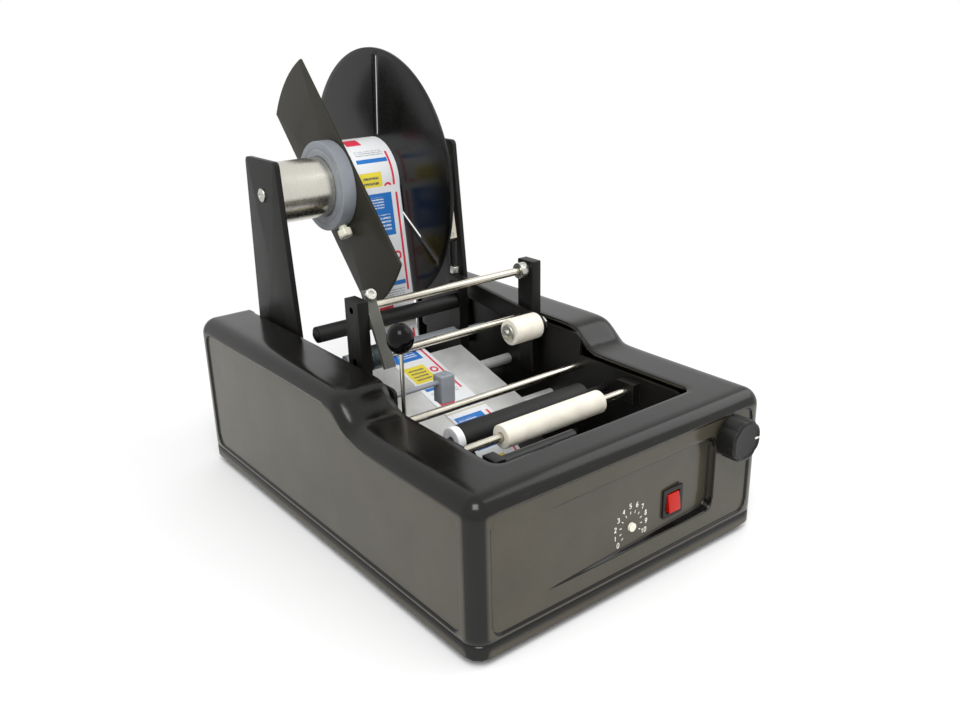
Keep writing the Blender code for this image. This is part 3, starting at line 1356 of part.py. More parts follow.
def build_stop_arm(paints):
    """Arm that hangs from the upper rod beside the left post, and its clamp screw."""
    swing = carrier("stop_arm_pivot", (0, POST_Y, TOP_ROD_Z))
    right = STOP_ARM_LEFT_X + STOP_ARM_WIDTH
    bore = circle_points((POST_Y, TOP_ROD_Z), POST_ROD_RADIUS + GAP, SMALL_SIDES)
    arm = flat("stop_arm", "YZ", [stop_arm_outline(), bore], STOP_ARM_LEFT_X, right)
    ahead, down = stop_arm_frame()
    seat = Vector((POST_Y, TOP_ROD_Z)) + ahead * (STOP_EYE_RADIUS + GAP)
    seat -= down * (STOP_ARM_LUG - STOP_SCREW_RADIUS)
    way = Vector((0, ahead.x, ahead.y))
    place = Matrix.Translation((STOP_ARM_LEFT_X + STOP_ARM_WIDTH / 2, *seat))
    place = place @ way.to_track_quat("Z", "X").to_matrix().to_4x4()
    drill = rod("stop_arm_bore", "Z", (0, 0, -STOP_ARM_THICKNESS - CUT_OVERRUN / 2),
                STOP_ARM_THICKNESS + CUT_OVERRUN, SCREW_RADIUS + BORE_GAP, SCREW_SIDES)
    drill.data.transform(place)
    attach(cut(arm, drill), paints["grey_steel"], swing)
    bm = bmesh.new()
    add_turned(bm, "Z", (0, 0, 0), (
        (STOP_SCREW_HEIGHT, 0), (STOP_SCREW_HEIGHT, STOP_SCREW_RADIUS), (0, STOP_SCREW_RADIUS),
        (0, SCREW_RADIUS), (-STOP_ARM_THICKNESS, SCREW_RADIUS), (-STOP_ARM_THICKNESS, 0)),
        SMALL_SIDES)
    screw = mesh_object("stop_arm_screw", bm)
    screw.data.transform(place)
    attach(screw, paints["zinc_steel"], swing)


def build_idler(paints):
    """Rear idler roller, whose journal turns in a bracket on a cross bar."""
    idler = carrier("rear_idler_axis", (0, IDLER_Y, IDLER_Z))
    bracket_left = IDLER_RIGHT_X + RUN_CLEARANCE
    bracket_right = bracket_left + BRACKET_WIDTH
    low = BRACKET_CROSS_Z - CROSS_BAR_RADIUS * 2
    front = IDLER_Y - BRACKET_DEPTH / 2
    rear = IDLER_Y + BRACKET_DEPTH / 2
    outline = [(front, low), (rear, low), (rear, BRACKET_TOP_Z), (front, BRACKET_TOP_Z)]
    holes = [circle_points((IDLER_Y, IDLER_Z), IDLER_SHAFT_RADIUS + GAP, SMALL_SIDES),
             circle_points((GUIDE_ROLLER_Y, GUIDE_ROLLER_Z), IDLER_SHAFT_RADIUS + RUN_CLEARANCE,
                           SMALL_SIDES, 1),
             circle_points((IDLER_Y, BRACKET_CROSS_Z), CROSS_BAR_RADIUS + GAP, SMALL_SIDES)]
    attach(flat("idler_bracket", "YZ", [outline] + holes, bracket_left, bracket_right),
           paints["black_steel"])
    head = IDLER_RADIUS * IDLER_HEAD_SHARE
    start = IDLER_LEFT_X - SCREW_HEAD_HEIGHT
    roller = IDLER_RIGHT_X - start
    nut = bracket_right + RUN_CLEARANCE - start
    end = nut + SHAFT_NUT_WIDTH / 2
    attach(turned("rear_idler_roller", "X", (start, IDLER_Y, IDLER_Z), (
        (end, 0), (end, SHAFT_NUT_RADIUS), (nut, SHAFT_NUT_RADIUS), (nut, IDLER_SHAFT_RADIUS),
        (roller, IDLER_SHAFT_RADIUS), (roller, IDLER_RADIUS), (SCREW_HEAD_HEIGHT, IDLER_RADIUS),
        (SCREW_HEAD_HEIGHT, head), (SCREW_HEAD_HEIGHT / 2, head), (0, head / 2), (0, 0))),
        paints["black_rubber"], idler)


def offset_path(points, distance):
    """A path moved sideways, to its left as it runs."""
    moved = []
    for i, point in enumerate(points):
        before = Vector(points[max(i - 1, 0)])
        after = Vector(points[min(i + 1, len(points) - 1)])
        here = Vector(point)
        first = (here - before).normalized() if i > 0 else (after - here).normalized()
        last = (after - here).normalized() if i < len(points) - 1 else first
        side = Vector((-first.y, first.x)) + Vector((-last.y, last.x))
        side.normalize()
        scale = 1 / max(MITRE_SHARE, side.dot(Vector((-first.y, first.x))))
        moved.append(tuple(here + side * distance * scale))
    return moved


def arc_path(centre, radius, start_deg, end_deg, steps):
    """Points along an arc."""
    points = []
    for k in range(steps + 1):
        angle = math.radians(start_deg + (end_deg - start_deg) * k / steps)
        points.append((centre[0] + radius * math.cos(angle),
                       centre[1] + radius * math.sin(angle)))
    return points


def web_path():
    """Route of the label web: roll, rear idler, guide roller, bed, its edge, pull roller."""
    roll_y = REEL_Y - ROLL_RADIUS - GAP - WEB_THICKNESS / 2
    under = GUIDE_ROLLER_RADIUS + GAP + WEB_THICKNESS / 2
    guide = (GUIDE_ROLLER_Y, GUIDE_ROLLER_Z)
    rise = GAP + WEB_THICKNESS / 2
    edge_y = BED_FRONT_Y - BED_THICKNESS * math.sin(math.radians(BED_SLOPE_DEG))
    tip = (edge_y - rise, bed_top_z(BED_FRONT_Y) - rise)
    onto_bed = math.degrees(-math.pi / 2) + BED_SLOPE_DEG
    path = [(roll_y, REEL_Z)]
    path += arc_path((IDLER_Y, IDLER_Z), IDLER_RADIUS + rise, *IDLER_WRAP_DEG, IDLER_WRAP_STEPS)
    path += arc_path(guide, under, GUIDE_WRAP_START_DEG, onto_bed, GUIDE_WRAP_STEPS)
    path.append((BED_REAR_Y, bed_top_z(BED_REAR_Y) + rise))
    path.append((BED_FRONT_Y, bed_top_z(BED_FRONT_Y) + rise))
    path.append(tip)
    wrap = PULL_RADIUS + GAP + WEB_THICKNESS / 2
    path += arc_path((PULL_Y, PULL_Z), wrap, *PULL_WRAP_DEG, PULL_WRAP_STEPS)
    path.append((PULL_Y - wrap, LINER_END_Z))
    return path


def build_web(paints):
    """The label web, its guide roller and the bed it slides on."""
    path = web_path()
    half = WEB_THICKNESS / 2
    outline = offset_path(path, half) + offset_path(path, -half)[::-1]
    attach(flat("label_web", "YZ", [outline], ROLL_LEFT_X, ROLL_RIGHT_X - WEB_SIDE_GAP),
           paints["label_paper"])
    outline = [
        (BED_FRONT_Y, bed_under_z(BED_FRONT_Y)),
        (BED_REAR_Y, bed_under_z(BED_REAR_Y)),
        (BED_REAR_Y, bed_top_z(BED_REAR_Y)),
        (BED_FRONT_Y, bed_top_z(BED_FRONT_Y)),
    ]
    bed = flat("web_bed", "YZ", [outline], BED_LEFT_X, BED_RIGHT_X)
    for y in (BED_BAR_FRONT_Y, BED_BAR_REAR_Y):
        fuse(bed, tie_bar("bed_bar", y, bed_under_z(y) - bed_bar_drop()))
    attach(bed, paints["bright_steel"])
    guide = carrier("guide_roller_axis", (0, GUIDE_ROLLER_Y, GUIDE_ROLLER_Z))
    attach(journal_roller("lower_guide_roller", (GUIDE_ROLLER_Y, GUIDE_ROLLER_Z), GUIDE_LEFT_END,
                          GUIDE_RIGHT_END, GUIDE_ROLLER_RADIUS, IDLER_SHAFT_RADIUS),
           paints["grey_pvc"], guide)


def shaft_ends():
    """Left and right ends of a shaft that passes through both side plates."""
    return PLATE_LEFT_X - RUN_CLEARANCE / 2, PLATE_RIGHT_OUT + RUN_CLEARANCE / 2


def through_shaft(name, y, z, radius):
    """A round shaft that passes through both side plates."""
    low, high = shaft_ends()
    return rod(name, "X", (low, y, z), high - low, radius)


def pulley_profile(left):
    """Half outline of a belt pulley between its two lips, for a shaft that starts at left."""
    near = PULLEY_LEFT_X - left
    far = PULLEY_RIGHT_X - left
    rim = PULLEY_RADIUS + PULLEY_LIP
    return [(far, 0), (far, rim), (far - PULLEY_LIP, rim), (far - PULLEY_LIP, PULLEY_RADIUS),
            (near + PULLEY_LIP, PULLEY_RADIUS), (near + PULLEY_LIP, rim), (near, rim)]


def journal_roller(name, place, left, right, radius, journal, pulley=False):
    """A roller turned in one piece with its journals, and with a belt pulley if it is driven."""
    low, high = shaft_ends()
    head = pulley_profile(low) + [(PULLEY_LEFT_X - low, journal)]
    if not pulley:
        head = [(high - low, 0), (high - low, journal)]
    profile = head + [(right - low, journal), (right - low, radius), (left - low, radius),
                      (left - low, journal), (0, journal), (0, 0)]
    return turned(name, "X", (low, *place), profile)


def build_pull_rollers(paints):
    """Driven roller that pulls the liner off the bed's edge, and its pinch roller."""
    pull = carrier("pull_roller_axis", (0, PULL_Y, PULL_Z))
    pinch = carrier("pinch_roller_axis", (0, PINCH_Y, PULL_Z))
    attach(journal_roller("liner_pull_roller", (PULL_Y, PULL_Z), PULL_LEFT_X, PULL_RIGHT_X,
                          PULL_RADIUS, SHAFT_RADIUS, pulley=True), paints["black_rubber"], pull)
    attach(journal_roller("pinch_roller", (PINCH_Y, PULL_Z), PULL_LEFT_X, PULL_RIGHT_X,
                          PINCH_RADIUS, SHAFT_RADIUS), paints["grey_pvc"], pinch)


def build_bottle_rollers(paints):
    """The rollers that the bottle lies on: the driven cream one and the dark rest roller."""
    drive = carrier("drive_roller_axis", (0, DRIVE_Y, BOTTLE_ROLLER_Z))
    rest = carrier("rest_roller_axis", (0, REST_ROLLER_Y, REST_ROLLER_Z))
    bore = SHAFT_RADIUS + GAP
    attach(ring("drive_roller", "X", (DRIVE_LEFT_X, DRIVE_Y, BOTTLE_ROLLER_Z),
                DRIVE_RIGHT_X - DRIVE_LEFT_X, DRIVE_RADIUS, bore), paints["cream_rubber"], drive)
    low = shaft_ends()[0]
    profile = pulley_profile(low) + [(PULLEY_LEFT_X - low, SHAFT_RADIUS), (0, SHAFT_RADIUS),
                                     (0, 0)]
    attach(turned("drive_shaft", "X", (low, DRIVE_Y, BOTTLE_ROLLER_Z), profile),
           paints["steel"], drive)
    attach(journal_roller("rest_roller", (REST_ROLLER_Y, REST_ROLLER_Z), REST_LEFT_X,
                          REST_RIGHT_X, REST_ROLLER_RADIUS, SHAFT_RADIUS),
           paints["black_rubber"], rest)
    ring_left = REST_LEFT_X - GAP - NYLON_RING_WIDTH
    attach(ring("nylon_ring", "X", (ring_left, REST_ROLLER_Y, REST_ROLLER_Z), NYLON_RING_WIDTH,
                REST_ROLLER_RADIUS, bore), paints["white_nylon"], rest)


def build_lever(paints):
    """Cross shaft with an upright lever and its ball, which opens the liner's nip."""
    turn = carrier("lever_shaft_axis", (0, LEVER_SHAFT_Y, LEVER_SHAFT_Z))
    shaft = through_shaft("lever_shaft", LEVER_SHAFT_Y, LEVER_SHAFT_Z, SHAFT_RADIUS)
    foot = LEVER_SHAFT_Z
    ball_z = LEVER_SHAFT_Z + LEVER_LENGTH
    ball_half = BALL_RADIUS * BALL_HEIGHT_SHARE
    stem = rod("lever_stem", "Z", (LEVER_X, LEVER_SHAFT_Y, foot), ball_z - foot, LEVER_RADIUS,
               SCREW_SIDES)
    attach(fuse(shaft, stem), paints["steel"], turn)
    bm = bmesh.new()
    matrix = Matrix.Translation((LEVER_X, LEVER_SHAFT_Y, ball_z))
    matrix = matrix @ Matrix.Diagonal((1, 1, BALL_HEIGHT_SHARE, 1))
    bmesh.ops.create_uvsphere(bm, u_segments=ROUND_SIDES, v_segments=SMALL_SIDES,
                              radius=BALL_RADIUS, matrix=matrix)
    ball = mesh_object("lever_ball", bm)
    socket = rod("ball_socket", "Z", (LEVER_X, LEVER_SHAFT_Y, ball_z - ball_half - CUT_OVERRUN),
                 ball_half + CUT_OVERRUN + BORE_GAP, LEVER_RADIUS + BORE_GAP, SCREW_SIDES)
    attach(cut(ball, socket), paints["gloss_black"], turn)


def build_well_fittings(paints):
    """The front guide bar with its block, and the sensor on its rod."""
    left = PLATE_LEFT_IN + GAP
    bar = turned("front_guide_bar", "X", (left, GUIDE_BAR_Y, GUIDE_BAR_Z), (
        (GUIDE_BAR_END_X - left, 0), (GUIDE_BAR_END_X - left, GUIDE_BAR_RADIUS),
        (0, GUIDE_BAR_RADIUS), (0, SCREW_RADIUS), (-PLATE_THICKNESS, SCREW_RADIUS),
        (-PLATE_THICKNESS, 0)), SMALL_SIDES)
    half = GUIDE_BLOCK_HALF
    clamp = block("guide_bar_clamp", (GUIDE_BLOCK_X, GUIDE_BAR_Y - half, GUIDE_BAR_Z - half),
                  (GUIDE_BLOCK_X + GUIDE_BLOCK_WIDTH, GUIDE_BAR_Y + half, GUIDE_BAR_Z + half))
    attach(fuse(bar, clamp), paints["dark_steel"])
    low = PLATE_LEFT_X - GAP
    right = SENSOR_LEFT_X + SENSOR_WIDTH
    sensor = block("label_sensor",
                   (SENSOR_LEFT_X, SENSOR_ROD_Y - SENSOR_DEPTH / 2, SENSOR_LOW_Z),
                   (right, SENSOR_ROD_Y + SENSOR_DEPTH / 2, SENSOR_TOP_Z))
    end = right - SENSOR_WIDTH / 2
    stem = rod("sensor_rod", "X", (low, SENSOR_ROD_Y, SENSOR_ROD_Z), end - low,
               SENSOR_ROD_RADIUS)
    attach(fuse(sensor, stem), paints["grey_pvc"])


def pulley_places():
    """Axes of the three pulleys, as (y, z)."""
    return (DRIVE_Y, BOTTLE_ROLLER_Z), (PULL_Y, PULL_Z), (MOTOR_Y, PULL_Z)


def build_drive(paints):
    """Gear motor, its pulley on the shaft, and the belt round the three pulleys."""
    motor = carrier("motor_shaft_axis", (0, MOTOR_Y, PULL_Z))
    loops = []
    for radius in (PULLEY_RADIUS + GAP + BELT_THICKNESS, PULLEY_RADIUS + GAP):
        points = []
        for place in pulley_places():
            points += circle_points(place, radius, ROUND_SIDES)
        loops.append(hull(points))
    attach(flat("timing_belt", "YZ", loops, PULLEY_LEFT_X + PULLEY_LIP + GAP,
                PULLEY_RIGHT_X - PULLEY_LIP - GAP), paints["black_rubber"])
    box_right = PLATE_RIGHT_IN - GAP
    box_left = box_right - GEARBOX_LENGTH
    half = GEARBOX_HALF
    box = block("gear_motor", (box_left, MOTOR_Y - half, PULL_Z - half),
                (box_right, MOTOR_Y + half, PULL_Z + half))
    fuse(box, rod("motor_can", "X", (box_left - MOTOR_LENGTH, MOTOR_Y, PULL_Z),
                  MOTOR_LENGTH + GEARBOX_LENGTH / 2, MOTOR_RADIUS, ROUND_SIDES))
    start = box_left + GEARBOX_LENGTH / 2
    socket = rod("gearbox_bore", "X", (start, MOTOR_Y, PULL_Z), GEARBOX_LENGTH,
                 MOTOR_SHAFT_RADIUS + GAP)
    attach(cut(box, socket), paints["aluminium"])
    start += GAP
    profile = pulley_profile(start) + [(PULLEY_LEFT_X - start, MOTOR_SHAFT_RADIUS),
                                       (0, MOTOR_SHAFT_RADIUS), (0, 0)]
    attach(turned("motor_pulley", "X", (start, MOTOR_Y, PULL_Z), profile, SMALL_SIDES),
           paints["aluminium"], motor)


def standoff_places():
    """Places of the four posts under the control board."""
    places = []
    for x in (BOARD_LEFT_X + STANDOFF_INSET, BOARD_LEFT_X + BOARD_WIDTH - STANDOFF_INSET):
        for y in (BOARD_FRONT_Y + STANDOFF_INSET, BOARD_FRONT_Y + BOARD_DEPTH - STANDOFF_INSET):
            places.append((x, y))
    return places


def build_board(paints):
    """Control board with its soldered components and the four posts it stands on."""
    right = BOARD_LEFT_X + BOARD_WIDTH
    rear = BOARD_FRONT_Y + BOARD_DEPTH
    top = BOARD_Z + BOARD_THICKNESS
    seat = BOARD_Z + BOARD_THICKNESS / 2
    board = block("control_board", (BOARD_LEFT_X, BOARD_FRONT_Y, BOARD_Z), (right, rear, top))
    bm = bmesh.new()
    for x, y in standoff_places():
        add_turned(bm, "Z", (x, y, 0), (
            (seat, 0), (seat, STANDOFF_RADIUS), (0, STANDOFF_RADIUS), (0, SCREW_RADIUS),
            (BASE_LOW_Z, SCREW_RADIUS), (BASE_LOW_Z, 0)))
    margin = 2 * STANDOFF_INSET
    x = BOARD_LEFT_X + margin
    y = BOARD_FRONT_Y + margin
    add_box(bm, (x, y, seat), (x + RELAY_WIDTH, y + RELAY_DEPTH, top + RELAY_HEIGHT))
    y = rear - margin - SINK_DEPTH
    add_box(bm, (x, y, seat), (x + SINK_WIDTH, y + SINK_DEPTH, top + SINK_HEIGHT))
    x = right - margin
    for y in (BOARD_FRONT_Y + margin + CAN_RADIUS, rear - margin):
        add_cylinder(bm, "Z", (x, y, seat), top + CAN_HEIGHT - seat, CAN_RADIUS)
    attach(fuse(board, mesh_object("board_parts", bm)), paints["board_green"])


def build_controls(paints):
    """Front controls: rocker switch, timer control and speed control with its knob."""
    floor = pocket_back_y(ROCKER_X - ROCKER_WIDTH / 2) - GAP
    half_width = ROCKER_WIDTH / 2
    half_height = ROCKER_HEIGHT / 2
    front = floor - ROCKER_LIP
    body_rear = POCKET_BACK_Y + ROCKER_BODY_DEPTH
    frame = block("rocker_bezel", (ROCKER_X - half_width, front, ROCKER_Z - half_height),
                  (ROCKER_X + half_width, floor, ROCKER_Z + half_height))
    fuse(frame, block("rocker_body", *rocker_box(0, front + ROCKER_LIP / 2, body_rear)))
    inner = rocker_box(-ROCKER_BORDER / 2, front - CUT_OVERRUN,
                       floor + ROCKER_BODY_DEPTH * ROCKER_HOLLOW_SHARE)
    pivot_y = floor + ROCKER_PADDLE_DEPTH / 2
    pin_reach = half_width - ROCKER_BORDER - GAP
    bore = rod("rocker_bore", "X", (ROCKER_X - pin_reach, pivot_y, ROCKER_Z), 2 * pin_reach,
               ROCKER_PIN_RADIUS + GAP)
    attach(cut(frame, block("rocker_hollow", *inner), bore), paints["matte_black"])
    pivot = carrier("rocker_pivot", (ROCKER_X, pivot_y, ROCKER_Z))
    border = ROCKER_BORDER * ROCKER_INNER_SHARE + RUN_CLEARANCE
    reach = ROCKER_HEIGHT / 2 - border
    width = ROCKER_WIDTH / 2 - border
    proud = front - ROCKER_PROUD
    dip = math.tan(math.radians(ROCKER_TILT_DEG)) * reach
    outline = [
        (pivot_y + ROCKER_PADDLE_DEPTH / 2, ROCKER_Z - reach * PADDLE_BACK_SHARE),
        (pivot_y + ROCKER_PADDLE_DEPTH / 2, ROCKER_Z + reach * PADDLE_BACK_SHARE),
        (front + ROCKER_LIP, ROCKER_Z + reach),
        (front, ROCKER_Z + reach),
        (proud + dip, ROCKER_Z),
        (proud, ROCKER_Z - reach + ROCKER_BORDER / 2),
        (front + ROCKER_LIP, ROCKER_Z - reach),
    ]
    paddle = flat("rocker_paddle", "YZ", [outline], ROCKER_X - width, ROCKER_X + width)
    pin_reach -= GAP
    fuse(paddle, rod("rocker_pin", "X", (ROCKER_X - pin_reach, pivot_y, ROCKER_Z),
                     2 * pin_reach, ROCKER_PIN_RADIUS))
    attach(paddle, paints["red_plastic"], pivot)
    build_timer(paints)
    build_speed_knob(paints)


def build_timer(paints):
    """The two controls' bodies behind the front wall, and the timer's bare shaft."""
    turn = carrier("timer_axis", (TIMER_X, 0, TIMER_Z))
    rear = POCKET_BACK_Y + GAP
    bore = TIMER_SHAFT_RADIUS + GAP
    attach(ring("timer_body", "-Y", (TIMER_X, rear + POT_DEPTH, TIMER_Z), POT_DEPTH, POT_RADIUS,
                bore), paints["zinc_steel"])
    speed_rear = CASE_WALL + GAP + POT_DEPTH
    attach(ring("speed_control_body", "-Y", (SPEED_X, speed_rear, SPEED_Z), POT_DEPTH,
                POT_RADIUS, bore), paints["zinc_steel"])
    front = pocket_back_y(TIMER_X) - TIMER_SHAFT_PROUD
    shaft = rod("timer_shaft", "-Y", (TIMER_X, rear + POT_DEPTH, TIMER_Z),
                rear + POT_DEPTH - front, TIMER_SHAFT_RADIUS)
    attach(shaft, paints["cream_nylon"], turn)


def knob_outline():
    """The speed knob's fluted edge: a circle with shallow lobes."""
    points = []
    steps = KNOB_LOBES * KNOB_LOBE_STEPS
    for k in range(steps):
        angle = math.tau * k / steps
        wave = abs(math.sin(KNOB_LOBES * angle / 2))
        radius = KNOB_RADIUS * (1 - KNOB_LOBE_SHARE * (1 - wave))
        points.append((SPEED_X + radius * math.cos(angle), SPEED_Z + radius * math.sin(angle)))
    return points


def build_speed_knob(paints):
    """Speed control's fluted knob, in one piece with its collar and its turning shaft."""
    turn = carrier("speed_knob_axis", (SPEED_X, 0, SPEED_Z))
    rear = CASE_WALL + GAP + POT_DEPTH
    knob_rear = PANEL_DEPTH - KNOB_STANDOFF
    knob = flat("speed_knob", "XZ", [knob_outline()], knob_rear - KNOB_WIDTH, knob_rear)
    stem = turned("knob_stem", "-Y", (SPEED_X, rear, SPEED_Z), (
        (rear - knob_rear + KNOB_WIDTH / 2, 0),
        (rear - knob_rear + KNOB_WIDTH / 2, KNOB_COLLAR_RADIUS),
        (rear - PANEL_DEPTH + GAP, KNOB_COLLAR_RADIUS),
        (rear - PANEL_DEPTH + GAP, TIMER_SHAFT_RADIUS), (0, TIMER_SHAFT_RADIUS), (0, 0)),
        SMALL_SIDES)
    attach(fuse(knob, stem), paints["matte_black"], turn)


def build_inlet(paints):
    """Mains inlet in the rear wall: a lipped frame round an open mouth."""
    lip_low, lip_high = inlet_box(INLET_LIP, CASE_DEPTH + GAP, CASE_DEPTH + GAP + INLET_LIP)
    frame = block("power_inlet", lip_low, lip_high)
    mouth_front = CASE_DEPTH - INLET_DEPTH
    fuse(frame, block("inlet_body", *inlet_box(0, mouth_front, CASE_DEPTH + INLET_LIP / 2)))
    attach(cut(frame, block("inlet_mouth", *inlet_box(-INLET_LIP, mouth_front + INLET_LIP,
                                                      CASE_DEPTH + CUT_OVERRUN))),
           paints["matte_black"])


def main():
    """Build the whole machine."""
    global PARTS, CUTTERS, ROOT
    clear_scene()
    PARTS = new_collection("wrap_around_labeler")
    CUTTERS = new_collection("cutters")
    ROOT = bpy.data.objects.new("machine_origin", None)
    PARTS.objects.link(ROOT)
    ROOT.location = (-CASE_WIDTH / 2, -FRAME_MID_Y, -FOOT_LOW_Z)
    paints = {
        "black_abs": material("black_abs", (0.012, 0.012, 0.011), 0.18),
        "black_steel": material("black_steel", (0.02, 0.02, 0.018), 0.45, 0.2),
        "grey_steel": material("grey_steel", (0.07, 0.07, 0.06), 0.45, 0.5),
        "bright_steel": material("bright_steel", (0.55, 0.54, 0.52), 0.3, 1.0),
        "steel": material("steel", (0.48, 0.46, 0.42), 0.28, 1.0),
        "dark_steel": material("dark_steel", (0.09, 0.09, 0.09), 0.4, 1.0),
        "zinc_steel": material("zinc_steel", (0.6, 0.6, 0.58), 0.3, 1.0),
        "aluminium": material("aluminium", (0.6, 0.59, 0.55), 0.32, 1.0),
        "grey_pvc": material("grey_pvc", (0.16, 0.18, 0.2), 0.5),
        "black_acrylic": material("black_acrylic", (0.03, 0.03, 0.025), 0.4),
        "gloss_acrylic": material("gloss_acrylic", (0.01, 0.01, 0.01), 0.12),
        "cream_nylon": material("cream_nylon", (0.78, 0.76, 0.66), 0.4),
        "white_nylon": material("white_nylon", (0.85, 0.86, 0.88), 0.4),
        "cream_rubber": material("cream_rubber", (0.88, 0.85, 0.78), 0.6),
        "cream_strap": material("cream_strap", (0.78, 0.76, 0.68), 0.6),
        "black_rubber": material("black_rubber", (0.015, 0.015, 0.015), 0.6),
        "grey_rubber": material("grey_rubber", (0.4, 0.4, 0.39), 0.6),
        "label_paper": material("label_paper", (0.88, 0.88, 0.88), 0.5),
        "green_black": material("green_black", (0.03, 0.04, 0.035), 0.4),
        "gloss_black": material("gloss_black", (0.008, 0.008, 0.008), 0.08),
        "matte_black": material("matte_black", (0.015, 0.015, 0.015), 0.5),
        "red_plastic": material("red_plastic", (0.55, 0.01, 0.005), 0.3),
        "board_green": material("board_green", (0.02, 0.15, 0.06), 0.4),
    }
    build_shell(paints)
    build_base(paints)
    build_plates(paints)
    build_cross_bars(paints)
    build_uprights(paints)
    build_axle(paints)
    build_reel(paints)
    hook_y = build_brake(paints)
    build_pressure_arm(paints, hook_y)
    build_post_rods(paints)
    build_stop_arm(paints)
    build_idler(paints)
    build_web(paints)
    build_pull_rollers(paints)
    build_bottle_rollers(paints)
    build_lever(paints)
    build_well_fittings(paints)
    build_drive(paints)
    build_board(paints)
    build_controls(paints)
    build_inlet(paints)


main()
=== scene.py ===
"""Wrap-around labeler, dressed as it stands on a white studio floor.

Pieces are drawn in millimetres in the workshop frame: X to the right, Y to the back and Z up, from
the lower front left corner of the casing. ORIGIN takes them to the row frame, which is in metres.
"""

import functools
import logging
import math
from collections.abc import Callable
from dataclasses import dataclass
from enum import Enum

import bmesh
import bpy
import numpy as np
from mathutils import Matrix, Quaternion, Vector


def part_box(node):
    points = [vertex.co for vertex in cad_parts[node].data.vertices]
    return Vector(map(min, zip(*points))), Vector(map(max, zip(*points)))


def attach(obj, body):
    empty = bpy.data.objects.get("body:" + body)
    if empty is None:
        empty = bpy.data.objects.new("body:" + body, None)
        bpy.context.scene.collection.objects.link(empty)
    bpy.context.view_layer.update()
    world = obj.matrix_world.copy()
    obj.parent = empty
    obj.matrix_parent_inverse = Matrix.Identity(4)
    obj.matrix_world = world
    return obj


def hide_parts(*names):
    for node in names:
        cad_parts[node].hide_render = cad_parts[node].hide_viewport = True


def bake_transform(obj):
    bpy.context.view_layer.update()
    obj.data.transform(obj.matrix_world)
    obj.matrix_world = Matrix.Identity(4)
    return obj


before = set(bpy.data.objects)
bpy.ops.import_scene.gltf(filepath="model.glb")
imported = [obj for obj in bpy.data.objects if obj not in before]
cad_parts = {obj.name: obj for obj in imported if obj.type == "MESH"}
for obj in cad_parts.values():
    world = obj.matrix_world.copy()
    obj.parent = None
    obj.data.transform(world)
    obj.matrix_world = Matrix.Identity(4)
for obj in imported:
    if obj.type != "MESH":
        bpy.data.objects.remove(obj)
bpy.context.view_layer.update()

logging.basicConfig(level=logging.INFO, format="%(message)s")
LOG = logging.getLogger("labeler")

Array = np.ndarray
Tree = bpy.types.NodeTree
Socket = bpy.types.NodeSocket
Color = tuple[float, float, float, float]
Pair = tuple[float, float]
Triple = tuple[float, float, float]
Profile = list[Pair]

MM = 0.001
MM_PER_METRE = 1000
TURN = 2 * math.pi
ORIGIN = np.array(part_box("top_shell")[0])


# Finishes: materials made from nodes
def linear(code: str) -> Color:
    """Linear colour of an sRGB hex code, by the standard's curve.

    Args:
        code: A hash and six hex digits.
    Returns:
        Red, green, blue and an alpha of 1.
    """
    shares = np.array([int(code[i:i + 2], 16) for i in (1, 3, 5)]) / 255
    bright = ((shares + 0.055) / 1.055) ** 2.4
    return (*np.where(shares > 0.04045, bright, shares / 12.92).tolist(), 1.0)


def add(tree: Tree, kind: str, inputs: dict | None = None, **settings: object) -> bpy.types.Node:
    """Add a shader node.

    Args:
        tree: The material's node tree.
        kind: The node's type without its ShaderNode prefix.
        inputs: Values, or sockets to link, by input name or number.
        settings: The node's own settings.
    Returns:
        The node.
    """
    node = tree.nodes.new("ShaderNode" + kind)
    for name, value in settings.items():
        setattr(node, name, value)
    for key, value in (inputs or {}).items():
        if isinstance(value, bpy.types.NodeSocket):
            tree.links.new(value, node.inputs[key])
        else:
            node.inputs[key].default_value = value
    return node


def blend_colors(tree: Tree, share: Socket | float, low: Socket | Color,
                 high: Socket | Color) -> Socket:
    """Colour mix from low to high, by the Mix node's numbered colour inputs and output.

    Args:
        tree: The material's node tree.
        share: How much of the second colour shows.
        low: First colour.
        high: Second colour.
    Returns:
        The mixed colour's socket.
    """
    return add(tree, "Mix", {0: share, 6: low, 7: high}, data_type="RGBA").outputs[2]


def spread(tree: Tree, value: Socket, low: float, high: float, to_low: float = 0.0,
           to_high: float = 1.0) -> Socket:
    """Value taken from one range to another and kept inside it.

    Args:
        tree: The node tree.
        value: The value's socket.
        low: Start of its range.
        high: End of its range.
        to_low: Start of the new range.
        to_high: End of the new range.
    Returns:
        The new value's socket.
    """
    inputs = {"Value": value, "From Min": low, "From Max": high, "To Min": to_low,
              "To Max": to_high}
    return add(tree, "MapRange", inputs).outputs[0]


def combine(tree: Tree, way: str, *values: Socket | float) -> Socket:
    """Output of a sum of numbers, by the name that Blender gives it."""
    return add(tree, "Math", dict(enumerate(values)), operation=way).outputs[0]


class Lay(Enum):
    """Which way a finish's marks run: their stretch along X, Y and Z."""

    EVEN = (1.0, 1.0, 1.0)
    RINGS = (1.0, 40.0, 40.0)
    ALONG_X = (40.0, 1.0, 1.0)
    ALONG_Y = (1.0, 40.0, 1.0)


# Scratches: their slant in radians, pitch per metre and depth. Then the slow wave's pitch, and
# how far light scatters inside nylon and rubber.
SCRATCH_TURN = (0.4, 0.7, 0.5)
SCRATCH_PITCH = (40.0, 1900.0, 1900.0)
SCRATCH_DEPTH_MM = 0.02
WAVES_PER_METRE = 16.0
SCATTER_MM = 2.0


